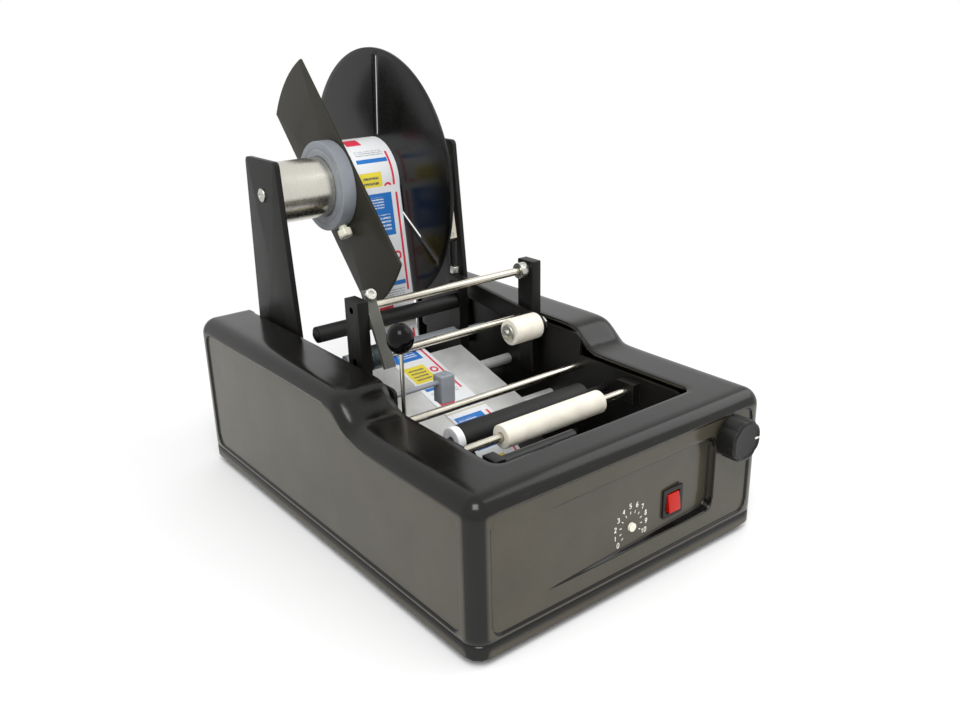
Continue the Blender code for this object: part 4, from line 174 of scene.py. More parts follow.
@dataclass(frozen=True)
class Finish:
    """A real material with its making: colour, gloss, grain, scratches and rubbed edges.

    worn is the colour of rubbed edges and scratches; upright flat faces get a painted sheen
    colour.
    """

    name: str
    color: str
    roughness: float
    worn: str = "#8a8880"
    metallic: float = 0.0
    grain_mm: float = 0.5
    relief_mm: float = 0.01
    lay: Lay = Lay.EVEN
    mottle: float = 0.25
    drift_mm: float = 45.0
    wear: float = 0.25
    edge_mm: float = 0.5
    scratch: float = 0.35
    gloss_drift: float = 0.08
    inside: float = 0.0
    wave_mm: float = 0.0
    specular: float = 0.5
    # Colour of a painted sheen on upright flat faces, standing in for reflected light; empty for
    # none.
    flats: str = ""

    def base(self, tree: Tree, where: Socket) -> tuple[Socket, Socket]:
        """Colour before wear: body colour drifting a little, and a painted sheen on upright faces.

        Args:
            tree: The material's node tree.
            where: Place on the object.
        Returns:
            The colour, and the drift that varies it.
        """
        drift = add(tree, "TexNoise", {"Vector": where, "Scale": MM_PER_METRE / self.drift_mm,
                                       "Detail": 4.0}).outputs[0]
        body = linear(self.color)
        dark = (*(value * (1 - self.mottle) for value in body[:3]), 1.0)
        light = (*(min(1.0, value * (1 + self.mottle)) for value in body[:3]), 1.0)
        color = blend_colors(tree, spread(tree, drift, 0.35, 0.65), dark, light)
        # Painted sheen: upright flat faces are blended towards a lighter colour that stands in for
        # reflected light.
        if self.flats:
            color = blend_colors(tree, self.upright(tree, drift), color, linear(self.flats))
        return color, drift

    def upright(self, tree: Tree, drift: Socket) -> Socket:
        """Share of a flat upright face, for the painted sheen: its normal runs along X or Y."""
        parts = add(tree, "SeparateXYZ", {0: add(tree, "NewGeometry").outputs["Normal"]})
        facing = combine(tree, "MAXIMUM", combine(tree, "ABSOLUTE", parts.outputs[0]),
                         combine(tree, "ABSOLUTE", parts.outputs[1]))
        return combine(tree, "MULTIPLY", spread(tree, facing, 0.96, 0.995),
                       spread(tree, drift, 0.3, 0.7, 0.8, 1.0))

    def scratches(self, tree: Tree, where: Socket) -> Socket:
        """Share of the long thin marks that use leaves, half a millimetre apart."""
        crossed = add(tree, "Mapping", {"Vector": where, "Rotation": SCRATCH_TURN,
                                        "Scale": SCRATCH_PITCH}).outputs[0]
        lines = add(tree, "TexNoise", {"Vector": crossed, "Scale": 1.0, "Detail": 2.0}).outputs[0]
        return spread(tree, lines, 0.66, 0.74, 0.0, self.scratch)

    def rubbed(self, tree: Tree, drift: Socket) -> Socket:
        """Share of wear on edges, where a softened normal leaves the flat one, in patches."""
        soft = add(tree, "Bevel", {"Radius": self.edge_mm * MM}, samples=4).outputs[0]
        flat = add(tree, "NewGeometry").outputs["Normal"]
        turn = add(tree, "VectorMath", {0: soft, 1: flat}, operation="DOT_PRODUCT").outputs[1]
        patchy = spread(tree, drift, 0.42, 0.60, 0.15, 1.0)
        return combine(tree, "MULTIPLY", spread(tree, turn, 0.985, 0.80), patchy)

    def normal(self, tree: Tree, where: Socket, grain: Socket, marks: Socket) -> Socket:
        """Normal bent by the grain, the scratches and, on formed sheet, a slow wave.

        Args:
            tree: The material's node tree.
            where: Place on the object.
            grain: Height of the grain.
            marks: Share of the scratches.
        Returns:
            The normal's socket.
        """
        relief = add(tree, "Bump", {"Distance": self.relief_mm * MM, "Height": grain})
        last = add(tree, "Bump", {"Distance": SCRATCH_DEPTH_MM * MM,
                                  "Height": combine(tree, "SUBTRACT", 1.0, marks),
                                  "Normal": relief.outputs[0]})
        if self.wave_mm:
            slow = add(tree, "TexNoise", {"Vector": where, "Scale": WAVES_PER_METRE,
                                          "Detail": 1.0}).outputs[0]
            last = add(tree, "Bump", {"Distance": self.wave_mm * MM, "Height": slow,
                                      "Normal": last.outputs[0]})
        return last.outputs[0]

    def build(self) -> bpy.types.Material:
        """Make the material's nodes."""
        made = bpy.data.materials.new(self.name)
        made.use_nodes = True
        tree = made.node_tree
        shader = tree.nodes["Principled BSDF"]
        where = add(tree, "TexCoord").outputs["Object"]
        pitch = tuple(MM_PER_METRE / (self.grain_mm * stretch) for stretch in self.lay.value)
        grid = add(tree, "Mapping", {"Vector": where, "Scale": pitch}).outputs[0]
        grain = add(tree, "TexNoise", {"Vector": grid, "Scale": 1.0, "Detail": 3.0}).outputs[0]
        marks = self.scratches(tree, where)
        color, drift = self.base(tree, where)
        worn = linear(self.worn)
        edges = combine(tree, "MULTIPLY", self.rubbed(tree, drift), self.wear)
        color = blend_colors(tree, edges, color, worn)
        color = blend_colors(tree, combine(tree, "MULTIPLY", marks, 0.4), color, worn)
        tree.links.new(color, shader.inputs["Base Color"])
        rough = spread(tree, grain, 0.3, 0.7, self.roughness - self.gloss_drift,
                       self.roughness + self.gloss_drift)
        rough = combine(tree, "MULTIPLY_ADD", marks, 0.3, rough)
        rough = combine(tree, "ADD", rough, spread(tree, drift, 0.4, 0.7, 0.0, self.gloss_drift))
        tree.links.new(rough, shader.inputs["Roughness"])
        tree.links.new(self.normal(tree, where, grain, marks), shader.inputs["Normal"])
        shader.inputs["Metallic"].default_value = self.metallic
        shader.inputs["Specular IOR Level"].default_value = self.specular
        shader.inputs["Subsurface Weight"].default_value = self.inside
        shader.inputs["Subsurface Scale"].default_value = SCATTER_MM * MM
        return made


@dataclass(frozen=True)
class Patch:
    """One printed shape of the label: centre and half size in mm, and its ink."""

    across: float
    along: float
    half_across: float
    half_along: float
    ink: str
    lines_mm: float = 0.0
    round_shape: bool = False


@dataclass(frozen=True)
class LabelPrint(Finish):
    """White labels on a cream liner, with generic colour blocks and ruled lines."""

    pitch_mm: float = 152.0
    gap_mm: float = 3.0
    stock: str = "#eceef0"
    liner: str = "#cfc9b4"
    cut_edge: str = "#e4e2da"
    patches: tuple[Patch, ...] = (
        Patch(21.0, 30.0, 17.5, 23.0, "#2a78c8"),
        Patch(17.0, 17.0, 11.0, 6.0, "#f4f5f6", 1.5),
        Patch(23.0, 39.0, 11.0, 9.0, "#f4f5f6", 2.0),
        Patch(45.0, 62.0, 1.3, 54.0, "#e23a52"),
        Patch(17.0, 78.0, 13.5, 15.0, "#f0dc48"),
        Patch(17.0, 78.0, 9.5, 10.5, "#3a4a5c", 2.8),
        Patch(37.0, 76.0, 5.0, 5.0, "#e23a52", 0.0, True),
        Patch(37.0, 76.0, 2.6, 2.6, "#f4f5f6", 0.0, True),
        Patch(24.0, 106.0, 19.0, 2.4, "#2a78c8"),
        Patch(24.0, 116.0, 17.0, 4.0, "#9aa0a6", 1.3),
        Patch(14.0, 136.0, 9.0, 7.0, "#e23a52"),
    )

    def mask(self, tree: Tree, place: Socket, patch: Patch) -> Socket:
        """Share of one printed shape at a place on the label.

        Args:
            tree: The material's node tree.
            place: Place on the label in mm, across and along it.
            patch: The printed shape.
        Returns:
            The share's socket.
        """
        centre = (patch.across, patch.along, 0.0)
        off = add(tree, "VectorMath", {0: place, 1: centre}, operation="SUBTRACT").outputs[0]
        half = (patch.half_across, patch.half_along, 1.0)
        share = add(tree, "VectorMath", {0: off, 1: half}, operation="DIVIDE").outputs[0]
        if patch.round_shape:
            reach = add(tree, "VectorMath", {0: share}, operation="LENGTH").outputs[1]
            return combine(tree, "LESS_THAN", reach, 1.0)
        size = add(tree, "VectorMath", {0: share}, operation="ABSOLUTE").outputs[0]
        parts = add(tree, "SeparateXYZ", {0: size})
        inside = combine(tree, "LESS_THAN", combine(tree, "MAXIMUM", parts.outputs[0],
                                                    parts.outputs[1]), 1.0)
        if patch.lines_mm:
            at = add(tree, "SeparateXYZ", {0: place})
            row = combine(tree, "PINGPONG", at.outputs[1], patch.lines_mm)
            ruled = combine(tree, "GREATER_THAN", row, patch.lines_mm * 0.55)
            words = add(tree, "TexNoise", {"Vector": place, "Scale": 0.9}).outputs[0]
            ruled = combine(tree, "MULTIPLY", ruled, combine(tree, "GREATER_THAN", words, 0.46))
            inside = combine(tree, "MULTIPLY", inside, ruled)
        return inside

    def base(self, tree: Tree, where: Socket) -> tuple[Socket, Socket]:
        """Label stock with its printed shapes, and the liner between the labels.

        Args:
            tree: The material's node tree.
            where: Place on the object.
        Returns:
            The colour, and the drift that wear follows.
        """
        drift = add(tree, "TexNoise", {"Vector": where, "Scale": 30.0}).outputs[0]
        printed = add(tree, "Attribute", attribute_name="print").outputs["Vector"]
        parts = add(tree, "SeparateXYZ", {0: printed})
        along = combine(tree, "FLOORED_MODULO", parts.outputs[1], self.pitch_mm)
        place = add(tree, "CombineXYZ", {0: parts.outputs[0], 1: along}).outputs[0]
        color = linear(self.stock)
        for patch in self.patches:
            color = blend_colors(tree, self.mask(tree, place, patch), color, linear(patch.ink))
        between = combine(tree, "GREATER_THAN", along, self.pitch_mm - self.gap_mm)
        color = blend_colors(tree, between, color, linear(self.liner))
        return blend_colors(tree, parts.outputs[2], color, linear(self.cut_edge)), drift


@functools.lru_cache(maxsize=None)
def material_of(finish: Finish) -> bpy.types.Material:
    """The material of a finish, made once."""
    return finish.build()


# Thermoformed black ABS: deep gloss whose slight waviness bends its highlights. Upright faces
# carry a warm grey painted sheen, which stands in for the light that they reflect.
BLACK_ABS = Finish("black_abs_thermoformed", "#0f0e0c", 0.17, worn="#77746a", grain_mm=0.7,
                   relief_mm=0.006, mottle=0.12, wear=0.25, edge_mm=0.8, scratch=0.25,
                   gloss_drift=0.04, wave_mm=0.5, specular=0.32, flats="#4a463b")
# Black powder coat on steel: satin with a fine orange peel that catches small lights.
BLACK_COAT = Finish("steel_black_powder_coated", "#11100e", 0.42, worn="#5c5a54", grain_mm=0.9,
                    relief_mm=0.03, mottle=0.15, wear=0.6, edge_mm=0.7, scratch=0.3,
                    gloss_drift=0.06, specular=0.25)
# Ground bar with a thin grey paint: a bright line along its edge, rubbed rims whose light
# colour also serves as a painted highlight on that edge.
GREY_COAT = Finish("steel_grey_painted", "#4a4a44", 0.40, worn="#b4b2a8", grain_mm=0.6,
                   relief_mm=0.02, wear=0.8, edge_mm=0.7, scratch=0.4)
# Ground steel rod: streaks along its length and a warm cast.
ROD_STEEL = Finish("steel_ground_rod", "#cbc6b8", 0.20, worn="#e0dccf", metallic=1.0,
                   grain_mm=0.12, relief_mm=0.002, lay=Lay.ALONG_X, mottle=0.15, scratch=0.5,
                   gloss_drift=0.08)
# Zinc-plated turned steel: rings left by the tool, a little cloudy.
ZINC = Finish("steel_zinc_plated_turned", "#c4c4bd", 0.30, worn="#e8e8e2", metallic=1.0,
              grain_mm=0.2, relief_mm=0.003, lay=Lay.RINGS, mottle=0.2, scratch=0.4)
# Dark oxide steel: nearly black with rubbed grey edges.
DARK_STEEL = Finish("steel_black_oxide", "#3a3a3a", 0.38, worn="#8c8c88", metallic=0.9,
                    grain_mm=0.2, relief_mm=0.003, wear=0.6, scratch=0.4)
# Polished steel sheet: long rolling marks and soft reflections.
SHEET_STEEL = Finish("steel_sheet_rolled", "#d8d8d6", 0.48, worn="#ecebe6", metallic=0.5,
                     grain_mm=0.25, relief_mm=0.004, lay=Lay.ALONG_Y, mottle=0.15, scratch=0.5)
# Turned aluminium tube: fine bright rings round it.
ALUMINIUM = Finish("aluminium_turned", "#cfccc2", 0.24, worn="#ecebe6", metallic=1.0,
                   grain_mm=0.16, relief_mm=0.004, lay=Lay.RINGS, mottle=0.07, drift_mm=60.0,
                   scratch=0.35, gloss_drift=0.04)
# Machined grey PVC: dull with visible tool rings.
GREY_PVC = Finish("pvc_grey_machined", "#858a90", 0.45, worn="#a4aab0", grain_mm=0.3,
                  relief_mm=0.01, lay=Lay.RINGS, mottle=0.1, wear=0.4, scratch=0.3)
# Cut acrylic sheet with a dull protective haze: the outer guide strip.
HAZY_ACRYLIC = Finish("acrylic_black_hazed", "#2b2921", 0.46, worn="#5c5b50", grain_mm=0.35,
                      relief_mm=0.006, mottle=0.12, wear=0.5, scratch=0.5, gloss_drift=0.08,
                      specular=0.25)
# Polished acrylic sheet: mirror-black disc with a few wipe marks.
CLEAR_ACRYLIC = Finish("acrylic_black_polished", "#0a0a09", 0.21, worn="#3c3c3a", grain_mm=0.8,
                       relief_mm=0.001, mottle=0.3, wear=0.6, scratch=0.45, gloss_drift=0.06,
                       wave_mm=0.15, specular=0.28)
# Moulded nylon: milky and slightly waxy.
CREAM_NYLON = Finish("nylon_natural_moulded", "#e8e4d2", 0.40, worn="#f4f2e8", grain_mm=0.5,
                     relief_mm=0.01, mottle=0.05, wear=0.2, inside=0.15)
WHITE_NYLON = Finish("nylon_white_turned", "#e9ebee", 0.42, worn="#f6f6f6", grain_mm=0.3,
                     relief_mm=0.008, lay=Lay.RINGS, mottle=0.04, wear=0.2, inside=0.15)
# Cast polyurethane sleeve: matt, soft, faintly dusty where labels run.
CREAM_RUBBER = Finish("polyurethane_cream_cast", "#efe9da", 0.66, worn="#fbf8f0", grain_mm=0.5,
                      relief_mm=0.05, mottle=0.06, drift_mm=14.0, wear=0.3, scratch=0.2,
                      inside=0.12)
# Woven strap: fine crosswise threads.
STRAP_WEAVE = Finish("nylon_webbing_cream", "#d4cfbc", 0.70, worn="#ece8da", grain_mm=0.7,
                     relief_mm=0.12, lay=Lay.ALONG_X, mottle=0.12, wear=0.3, scratch=0.1)
# Moulded black rubber: matt with a grey bloom.
BLACK_RUBBER = Finish("rubber_black_ground", "#121211", 0.50, worn="#3c3c3a", grain_mm=0.4,
                      relief_mm=0.02, lay=Lay.RINGS, mottle=0.2, wear=0.3, scratch=0.2,
                      specular=0.35)
# Moulded grey rubber of the feet: matt and a little dirty.
GREY_RUBBER = Finish("rubber_grey_moulded", "#8e8e8a", 0.70, worn="#b0b0aa", grain_mm=0.6,
                     relief_mm=0.05, mottle=0.2, wear=0.2, scratch=0.2)
# Coated label paper on glassine liner: smooth, printed, faintly shiny.
LABELS = LabelPrint("paper_labels_printed", "#f2f2f2", 0.38, worn="#ffffff", grain_mm=0.25,
                    relief_mm=0.004, mottle=0.03, wear=0.1, scratch=0.05)
# Board of the roll's core: fibrous and brown.
CARDBOARD = Finish("cardboard_core_wound", "#a58a64", 0.80, worn="#c0a888", grain_mm=0.5,
                   relief_mm=0.05, lay=Lay.RINGS, mottle=0.2, wear=0.2)
# Anodised green-black knob: satin with bright edges.
GREEN_BLACK = Finish("aluminium_green_black_anodised", "#3c4745", 0.34, worn="#8d9a98",
                     metallic=0.6, grain_mm=0.2, relief_mm=0.004, lay=Lay.RINGS, mottle=0.15,
                     wear=0.6, scratch=0.3)
# Phenolic lever ball: black piano gloss.
PHENOLIC = Finish("phenolic_black_polished", "#0b0a0a", 0.07, worn="#2c2c2c", grain_mm=0.6,
                  relief_mm=0.001, mottle=0.2, wear=0.15, scratch=0.2, gloss_drift=0.03,
                  specular=0.15)
# Moulded black knob plastic: fine spark-eroded texture.
KNOB_BLACK = Finish("abs_black_textured", "#161615", 0.40, worn="#55554f", grain_mm=0.3,
                    relief_mm=0.02, mottle=0.15, wear=0.5, scratch=0.35, specular=0.3)
# Moulded red switch plastic: bright and half glossy.
RED_PLASTIC = Finish("polycarbonate_red_moulded", "#b41404", 0.30, worn="#e05038", grain_mm=0.4,
                     relief_mm=0.01, mottle=0.1, wear=0.3, scratch=0.2, inside=0.05, specular=0.3)
# Silk-screened white ink: flat and slightly uneven.
WHITE_INK = Finish("ink_white_screened", "#e8e8e0", 0.55, worn="#ffffff", grain_mm=0.2,
                   relief_mm=0.01, mottle=0.08, drift_mm=4.0, wear=0.1, scratch=0.1)
# Glass-fibre circuit board: green lacquer over woven cloth.
BOARD_GREEN = Finish("circuit_board_lacquered", "#1f5a34", 0.35, worn="#7c9a80", grain_mm=0.6,
                     relief_mm=0.02, mottle=0.2, wear=0.4, scratch=0.2)


# Surfaces: grids of points and the pieces made of them
class Axis(Enum):
    """Directions that pieces run along, each with its two cross directions."""

    X = ((1, 0, 0), (0, 1, 0), (0, 0, 1))
    FRONT = ((0, -1, 0), (1, 0, 0), (0, 0, 1))
    Z = ((0, 0, 1), (1, 0, 0), (0, 1, 0))

    @property
    def ways(self) -> Array:
        """The three unit directions as rows."""
        return np.array(self.value, float)


def ways_of(direction: Axis | Triple) -> Array:
    """Unit directions as rows: the given one, and two across it."""
    if isinstance(direction, Axis):
        return direction.ways
    along = np.asarray(direction, float) / np.linalg.norm(direction)
    spare = np.array((1.0, 0.0, 0.0)) if abs(along[0]) < 0.9 else np.array((0.0, 1.0, 0.0))
    first = np.cross(spare, along)
    first /= np.linalg.norm(first)
    return np.stack([along, first, np.cross(along, first)])


# A direction that no wire runs along, from which the ways across it are worked out.
NOT_ALONG_WIRES = (0.31, 0.22, 0.93)


@dataclass
class Grid:
    """Points of one surface as rows and columns.

    points: Rows by columns by three, in mm.
    loop_rows: True if the last row meets the first.
    loop_columns: True if the last column meets the first.
    capped: True to close the first and last row with a face each.
    label: Places on the label web, rows by columns by three, for printed pieces.
    """

    points: Array
    loop_rows: bool = False
    loop_columns: bool = True
    capped: bool = False
    label: Array | None = None


def soften(line: Array | Profile, radius: float, closed: bool = False, steps: int = 3) -> Array:
    """Line with its corners rounded.

    Each corner P becomes B(t) = (1-t)^2 S + 2t(1-t) P + t^2 E, where S and E lie at the radius
    from P along its two sides, or at under half of a shorter side.

    Args:
        line: Corners as rows.
        radius: Reach of the rounding.
        closed: True if the line closes on itself.
        steps: Pieces of each rounded corner.
    Returns:
        The rounded line.
    """
    line = np.asarray(line, float)
    before = np.roll(line, 1, 0) - line
    after = np.roll(line, -1, 0) - line
    near = np.linalg.norm(before, axis=1, keepdims=True)
    far = np.linalg.norm(after, axis=1, keepdims=True)
    reach = np.minimum(radius, 0.45 * np.minimum(near, far))
    start = line + before / np.maximum(near, 1e-9) * reach
    end = line + after / np.maximum(far, 1e-9) * reach
    t = np.linspace(0, 1, steps + 1)[:, None, None]
    curve = (1 - t) ** 2 * start + 2 * t * (1 - t) * line + t ** 2 * end
    curve = curve.transpose(1, 0, 2)
    if closed:
        return curve.reshape(-1, line.shape[1])
    middle = curve[1:-1].reshape(-1, line.shape[1])
    return np.vstack([line[:1], middle, line[-1:]])


def turned(profile: Profile | Array, centre: Triple | Array, axis: Axis | Triple = Axis.X,
           sides: int = 72, edge: float = 0.4, ring: bool = False,
           swell: Callable[[Array], Array] | None = None) -> Grid:
    """Turned piece: P(s, t) = C + a(s) A + k(t) r(s) (B cos t + D sin t).

    Args:
        profile: Pairs of distance along the axis and radius.
        centre: Point that distances count from.
        axis: An Axis, or any direction.
        sides: Points around.
        edge: Rounding of the profile's corners.
        ring: True for a closed profile round an open bore.
        swell: Function of the angle for k, such as a hexagon.
    Returns:
        The surface.
    """
    line = soften(profile, edge, closed=ring)
    ways = ways_of(axis)
    angle = np.linspace(0, TURN, sides, endpoint=False)
    round_way = np.cos(angle)[:, None] * ways[1] + np.sin(angle)[:, None] * ways[2]
    if swell is not None:
        round_way = round_way * swell(angle)[:, None]
    points = (np.asarray(centre, float) + line[:, :1, None] * ways[0]
              + line[:, 1][:, None, None] * round_way[None])
    return Grid(points, loop_rows=ring)


def hexagon(angle: Array) -> Array:
    """k(t) = cos 30 / cos(((t + 30) mod 60) - 30) in degrees, the reach of a hexagon's side."""
    part = np.mod(angle + TURN / 12, TURN / 6) - TURN / 12
    return math.cos(TURN / 12) / np.cos(part)


def slab(outline: Array, low: float, high: float, axis: Axis = Axis.X,
         edge: float = 0.5) -> Grid:
    """Plate with rounded rims: P(u, v) = M + s(v) (O(u) - M) - i(v) n(u), at height h(v).

    Args:
        outline: Closed star-shaped outline in the two directions across the axis.
        low: Height of the first face along the axis.
        high: Height of the last face.
        axis: Direction that heights count along.
        edge: Radius of the rims.
    Returns:
        The surface.
    """
    outline = np.asarray(outline, float)
    ahead = np.roll(outline, -1, 0) - np.roll(outline, 1, 0)
    ahead /= np.maximum(np.linalg.norm(ahead, axis=1, keepdims=True), 1e-9)
    normal = np.stack([ahead[:, 1], -ahead[:, 0]], 1)
    middle = outline.mean(0)
    normal *= np.sign(np.sum(normal * (outline - middle)))
    turn = np.linspace(0, TURN / 4, 4)
    share = np.concatenate([[0], np.ones(8), [0]])
    inset = edge * np.concatenate([[0], 1 - np.sin(turn), 1 - np.cos(turn), [0]])
    height = np.concatenate([[low], low + edge * (1 - np.cos(turn)),
                             high - edge * (1 - np.sin(turn)), [high]])
    flat = (middle + share[:, None, None] * (outline - middle)
            - inset[:, None, None] * normal)
    ways = ways_of(axis)
    points = (height[:, None, None] * ways[0] + flat[..., :1] * ways[1]
              + flat[..., 1:] * ways[2])
    return Grid(points)


def frame_ring(outer: Array, inner: Array, low: float, high: float, axis: Axis = Axis.X,
               edge: float = 0.4) -> Grid:
    """Plate with a hole: P(u, v) = O(u) + m(v) (I(u) - O(u)) at height h(v), closed both ways.

    Args:
        outer: Outer outline, as many points as the inner one.
        inner: Hole's outline.
        low: Height of the first face.
        high: Height of the last face.
        axis: Direction that heights count along.
        edge: Rounding of the rims.
    Returns:
        The surface.
    """
    outer = np.asarray(outer, float)
    inner = np.asarray(inner, float)
    wide = float(np.linalg.norm(outer - inner, axis=1).mean())
    loop = soften([(0, low), (0, high), (wide, high), (wide, low)], edge, closed=True)
    share = loop[:, 0] / wide
    flat = outer + share[:, None, None] * (inner - outer)
    ways = ways_of(axis)
    points = (loop[:, 1][:, None, None] * ways[0] + flat[..., :1] * ways[1]
              + flat[..., 1:] * ways[2])
    return Grid(points, loop_rows=True)


def band(path: Array, thickness: float, low: float, high: float, axis: Axis = Axis.X,
         printed: bool = False) -> Grid:
    """Strip of even thickness: P(s, c) = p(s) +- (thickness / 2) n(s), from low to high.

    Args:
        path: Middle line across the axis.
        thickness: Of the strip.
        low: Start of its width along the axis.
        high: End of its width.
        axis: Direction of its width.
        printed: True to store where each point lies on the label web.
    Returns:
        The surface.
    """
    path = np.asarray(path, float)
    ahead = np.gradient(path, axis=0)
    ahead /= np.linalg.norm(ahead, axis=1, keepdims=True)
    normal = np.stack([-ahead[:, 1], ahead[:, 0]], 1) * thickness / 2
    flat = np.stack([path + normal, path + normal, path - normal, path - normal], 1)
    height = np.array([low, high, high, low])
    points = (height[None, :, None] * axis.ways[0] + flat[..., :1] * axis.ways[1]
              + flat[..., 1:] * axis.ways[2])
    label = None
    if printed:
        run = np.concatenate([[0], np.cumsum(np.linalg.norm(np.diff(path, axis=0), axis=1))])
        label = np.stack([np.broadcast_to(height - low, flat.shape[:2]),
                          np.broadcast_to(run[:, None], flat.shape[:2]),
                          np.zeros(flat.shape[:2])], -1)
    return Grid(points, capped=True, label=label)


def tube(path: Array, radius: float, sides: int) -> Grid:
    """Wire along a line: P(s, t) = p(s) + r (n(s) cos t + b(s) sin t), with b = tangent x n.

    Args:
        path: Middle line of the wire.
        radius: Of the wire.
        sides: Points around.
    Returns:
        The surface.
    """
    ahead = np.gradient(path, axis=0)
    ahead /= np.linalg.norm(ahead, axis=1, keepdims=True)
    side = np.cross(ahead, NOT_ALONG_WIRES)
    side /= np.linalg.norm(side, axis=1, keepdims=True)
    other = np.cross(ahead, side)
    angle = np.linspace(0, TURN, sides, endpoint=False)[None, :, None]
    points = path[:, None] + radius * (np.cos(angle) * side[:, None]
                                       + np.sin(angle) * other[:, None])
    return Grid(points, capped=True)


def circle(centre: Pair, radius: float, sides: int, start: float = 0.0,
           sweep: float = TURN) -> Array:
    """Points round a circle, or along an arc of it with both ends: C + r (cos t, sin t).

    Args:
        centre: Of the circle.
        radius: Of the circle.
        sides: Number of points.
        start: First angle.
        sweep: Angle passed over.
    Returns:
        The points as rows.
    """
    whole = abs(sweep) >= TURN - 1e-6
    angle = start + np.linspace(0, sweep, sides, endpoint=not whole)
    return np.asarray(centre) + radius * np.stack([np.cos(angle), np.sin(angle)], 1)


def rectangle(left: float, right: float, low: float, high: float, radius: float,
              steps: int = 4) -> Array:
    """Outline of a rectangle whose corners are rounded by a radius in some steps."""
    corners = [(left, low), (right, low), (right, high), (left, high)]
    return soften(corners, radius, closed=True, steps=steps)


def hull(points: Array) -> Array:
    """Convex outline round points in a plane, counterclockwise."""
    mesh = bmesh.new()
    for point in points:
        mesh.verts.new((*point, 0))
    made = bmesh.ops.convex_hull(mesh, input=mesh.verts)
    outer = {v for v in made["geom"] if isinstance(v, bmesh.types.BMVert)}
    kept = np.array([vert.co[:2] for vert in outer])
    mesh.free()
    off = kept - kept.mean(0)
    return kept[np.argsort(np.arctan2(off[:, 1], off[:, 0]))]


def mesh_of(name: str, grids: list[Grid], sharp: float = 40.0) -> bpy.types.Object:
    """Object of several surfaces, welded, facing outwards and moved to the row frame.

    Args:
        name: The object's name.
        grids: Its surfaces.
        sharp: Angle in degrees over which an edge stays sharp.
    Returns:
        The object, linked to the scene.
    """
    points, faces, labels, start = [], [], [], 0
    for grid in grids:
        rows, columns = grid.points.shape[:2]
        index = np.arange(rows * columns).reshape(rows, columns) + start
        if grid.capped:
            faces += [index[0, ::-1].tolist(), index[-1].tolist()]
        if grid.loop_rows:
            index = np.vstack([index, index[:1]])
        if grid.loop_columns:
            index = np.hstack([index, index[:, :1]])
        quads = np.stack([index[:-1, :-1], index[:-1, 1:], index[1:, 1:], index[1:, :-1]], -1)
        faces += quads.reshape(-1, 4).tolist()
        points.append(grid.points.reshape(-1, 3))
        labels.append(np.zeros((rows * columns, 3)) if grid.label is None
                      else grid.label.reshape(-1, 3))
        start += rows * columns
    mesh = bpy.data.meshes.new(name)
    mesh.from_pydata((ORIGIN + np.vstack(points) * MM).tolist(), [], faces)
    if any(grid.label is not None for grid in grids):
        printed = mesh.attributes.new("print", "FLOAT_VECTOR", "POINT")
        printed.data.foreach_set("vector", np.vstack(labels).astype(np.float32).ravel())
    work = bmesh.new()
    work.from_mesh(mesh)
    bmesh.ops.remove_doubles(work, verts=work.verts, dist=0.002 * MM)
    bmesh.ops.recalc_face_normals(work, faces=work.faces)
    work.to_mesh(mesh)
    work.free()
    mesh.shade_smooth()
    mesh.set_sharp_from_angle(angle=math.radians(sharp))
    made = bpy.data.objects.new(name, mesh)
    bpy.context.scene.collection.objects.link(made)
    return made


def piece(name: str, body: str, finish: Finish, grids: list[Grid],
          replaces: tuple[str, ...] = (), sharp: float = 40.0) -> bpy.types.Object:
    """Make a piece, finish it and seat it on its body.

    Args:
        name: The piece's name.
        body: CAD body that it rides on.
        finish: Its material.
        grids: Its surfaces.
        replaces: CAD nodes that it stands for.
        sharp: Angle in degrees over which an edge stays sharp.
    Returns:
        The object.
    """
    made = mesh_of(name, grids, sharp)
    made.data.materials.append(material_of(finish))
    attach(made, body)
    if replaces:
        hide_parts(*replaces)
    LOG.info("%s: %d faces on %s", name, len(made.data.polygons), body)
    return made


def dress(node: str, finish: Finish, rim_mm: float = 0.4) -> None:
    """Give a CAD node its finish and small rounded rims.

    Args:
        node: The node's name.
        finish: Its material.
        rim_mm: Width of the rims.
    """
    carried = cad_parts[node]
    carried.data.materials.clear()
    carried.data.materials.append(material_of(finish))
    rim = carried.modifiers.new("rounded rims", "BEVEL")
    rim.width = rim_mm * MM
    rim.segments = 2
    rim.limit_method = "ANGLE"
    rim.angle_limit = math.radians(40)
    LOG.info("%s: carried over as %s", node, finish.name)


# Casing and what stands under it
def smooth_step(value: Array) -> Array:
    """S(x) = e^2 (3 - 2e) with e = (x + 1) / 2 kept between 0 and 1."""
    share = np.clip((value + 1) / 2, 0, 1)
    return share * share * (3 - 2 * share)


def stations(low: float, high: float, step: float, marks: tuple[float, ...] = (),
             near: tuple[float, ...] | Array = (0.0,)) -> Array:
    """Places from low to high, about a step apart, with more of them near the marks.

    Args:
        low: First place.
        high: Last place.
        step: Distance between them.
        marks: Places that need finer ones.
        near: Where the finer ones lie, counted from a mark.
    Returns:
        The places in order.
    """
    even = np.linspace(low, high, max(2, round((high - low) / step) + 1))
    extra = (np.asarray(marks, float)[:, None] + np.asarray(near)).ravel()
    both = np.unique(np.round(np.concatenate([even, extra]), 3))
    return both[(both >= low) & (both <= high)]


# Rows of points on the casing's wall: beside the seam, beside a panel's line, how many between
# one line and the next, and the margin that they keep from both.
SEAM_ROWS = (-1.6, -0.8, 0, 0.8, 1.6)
LINE_ROWS = (-1.4, -0.9, -0.45, 0, 0.45, 0.9, 1.4)
ROWS_BETWEEN = (1, 3, 5, 3, 11)
ROW_MARGIN = 1.8
# Distance inside the panel's end that stands for a place far outside every panel.
OFF_PANEL = -5.0


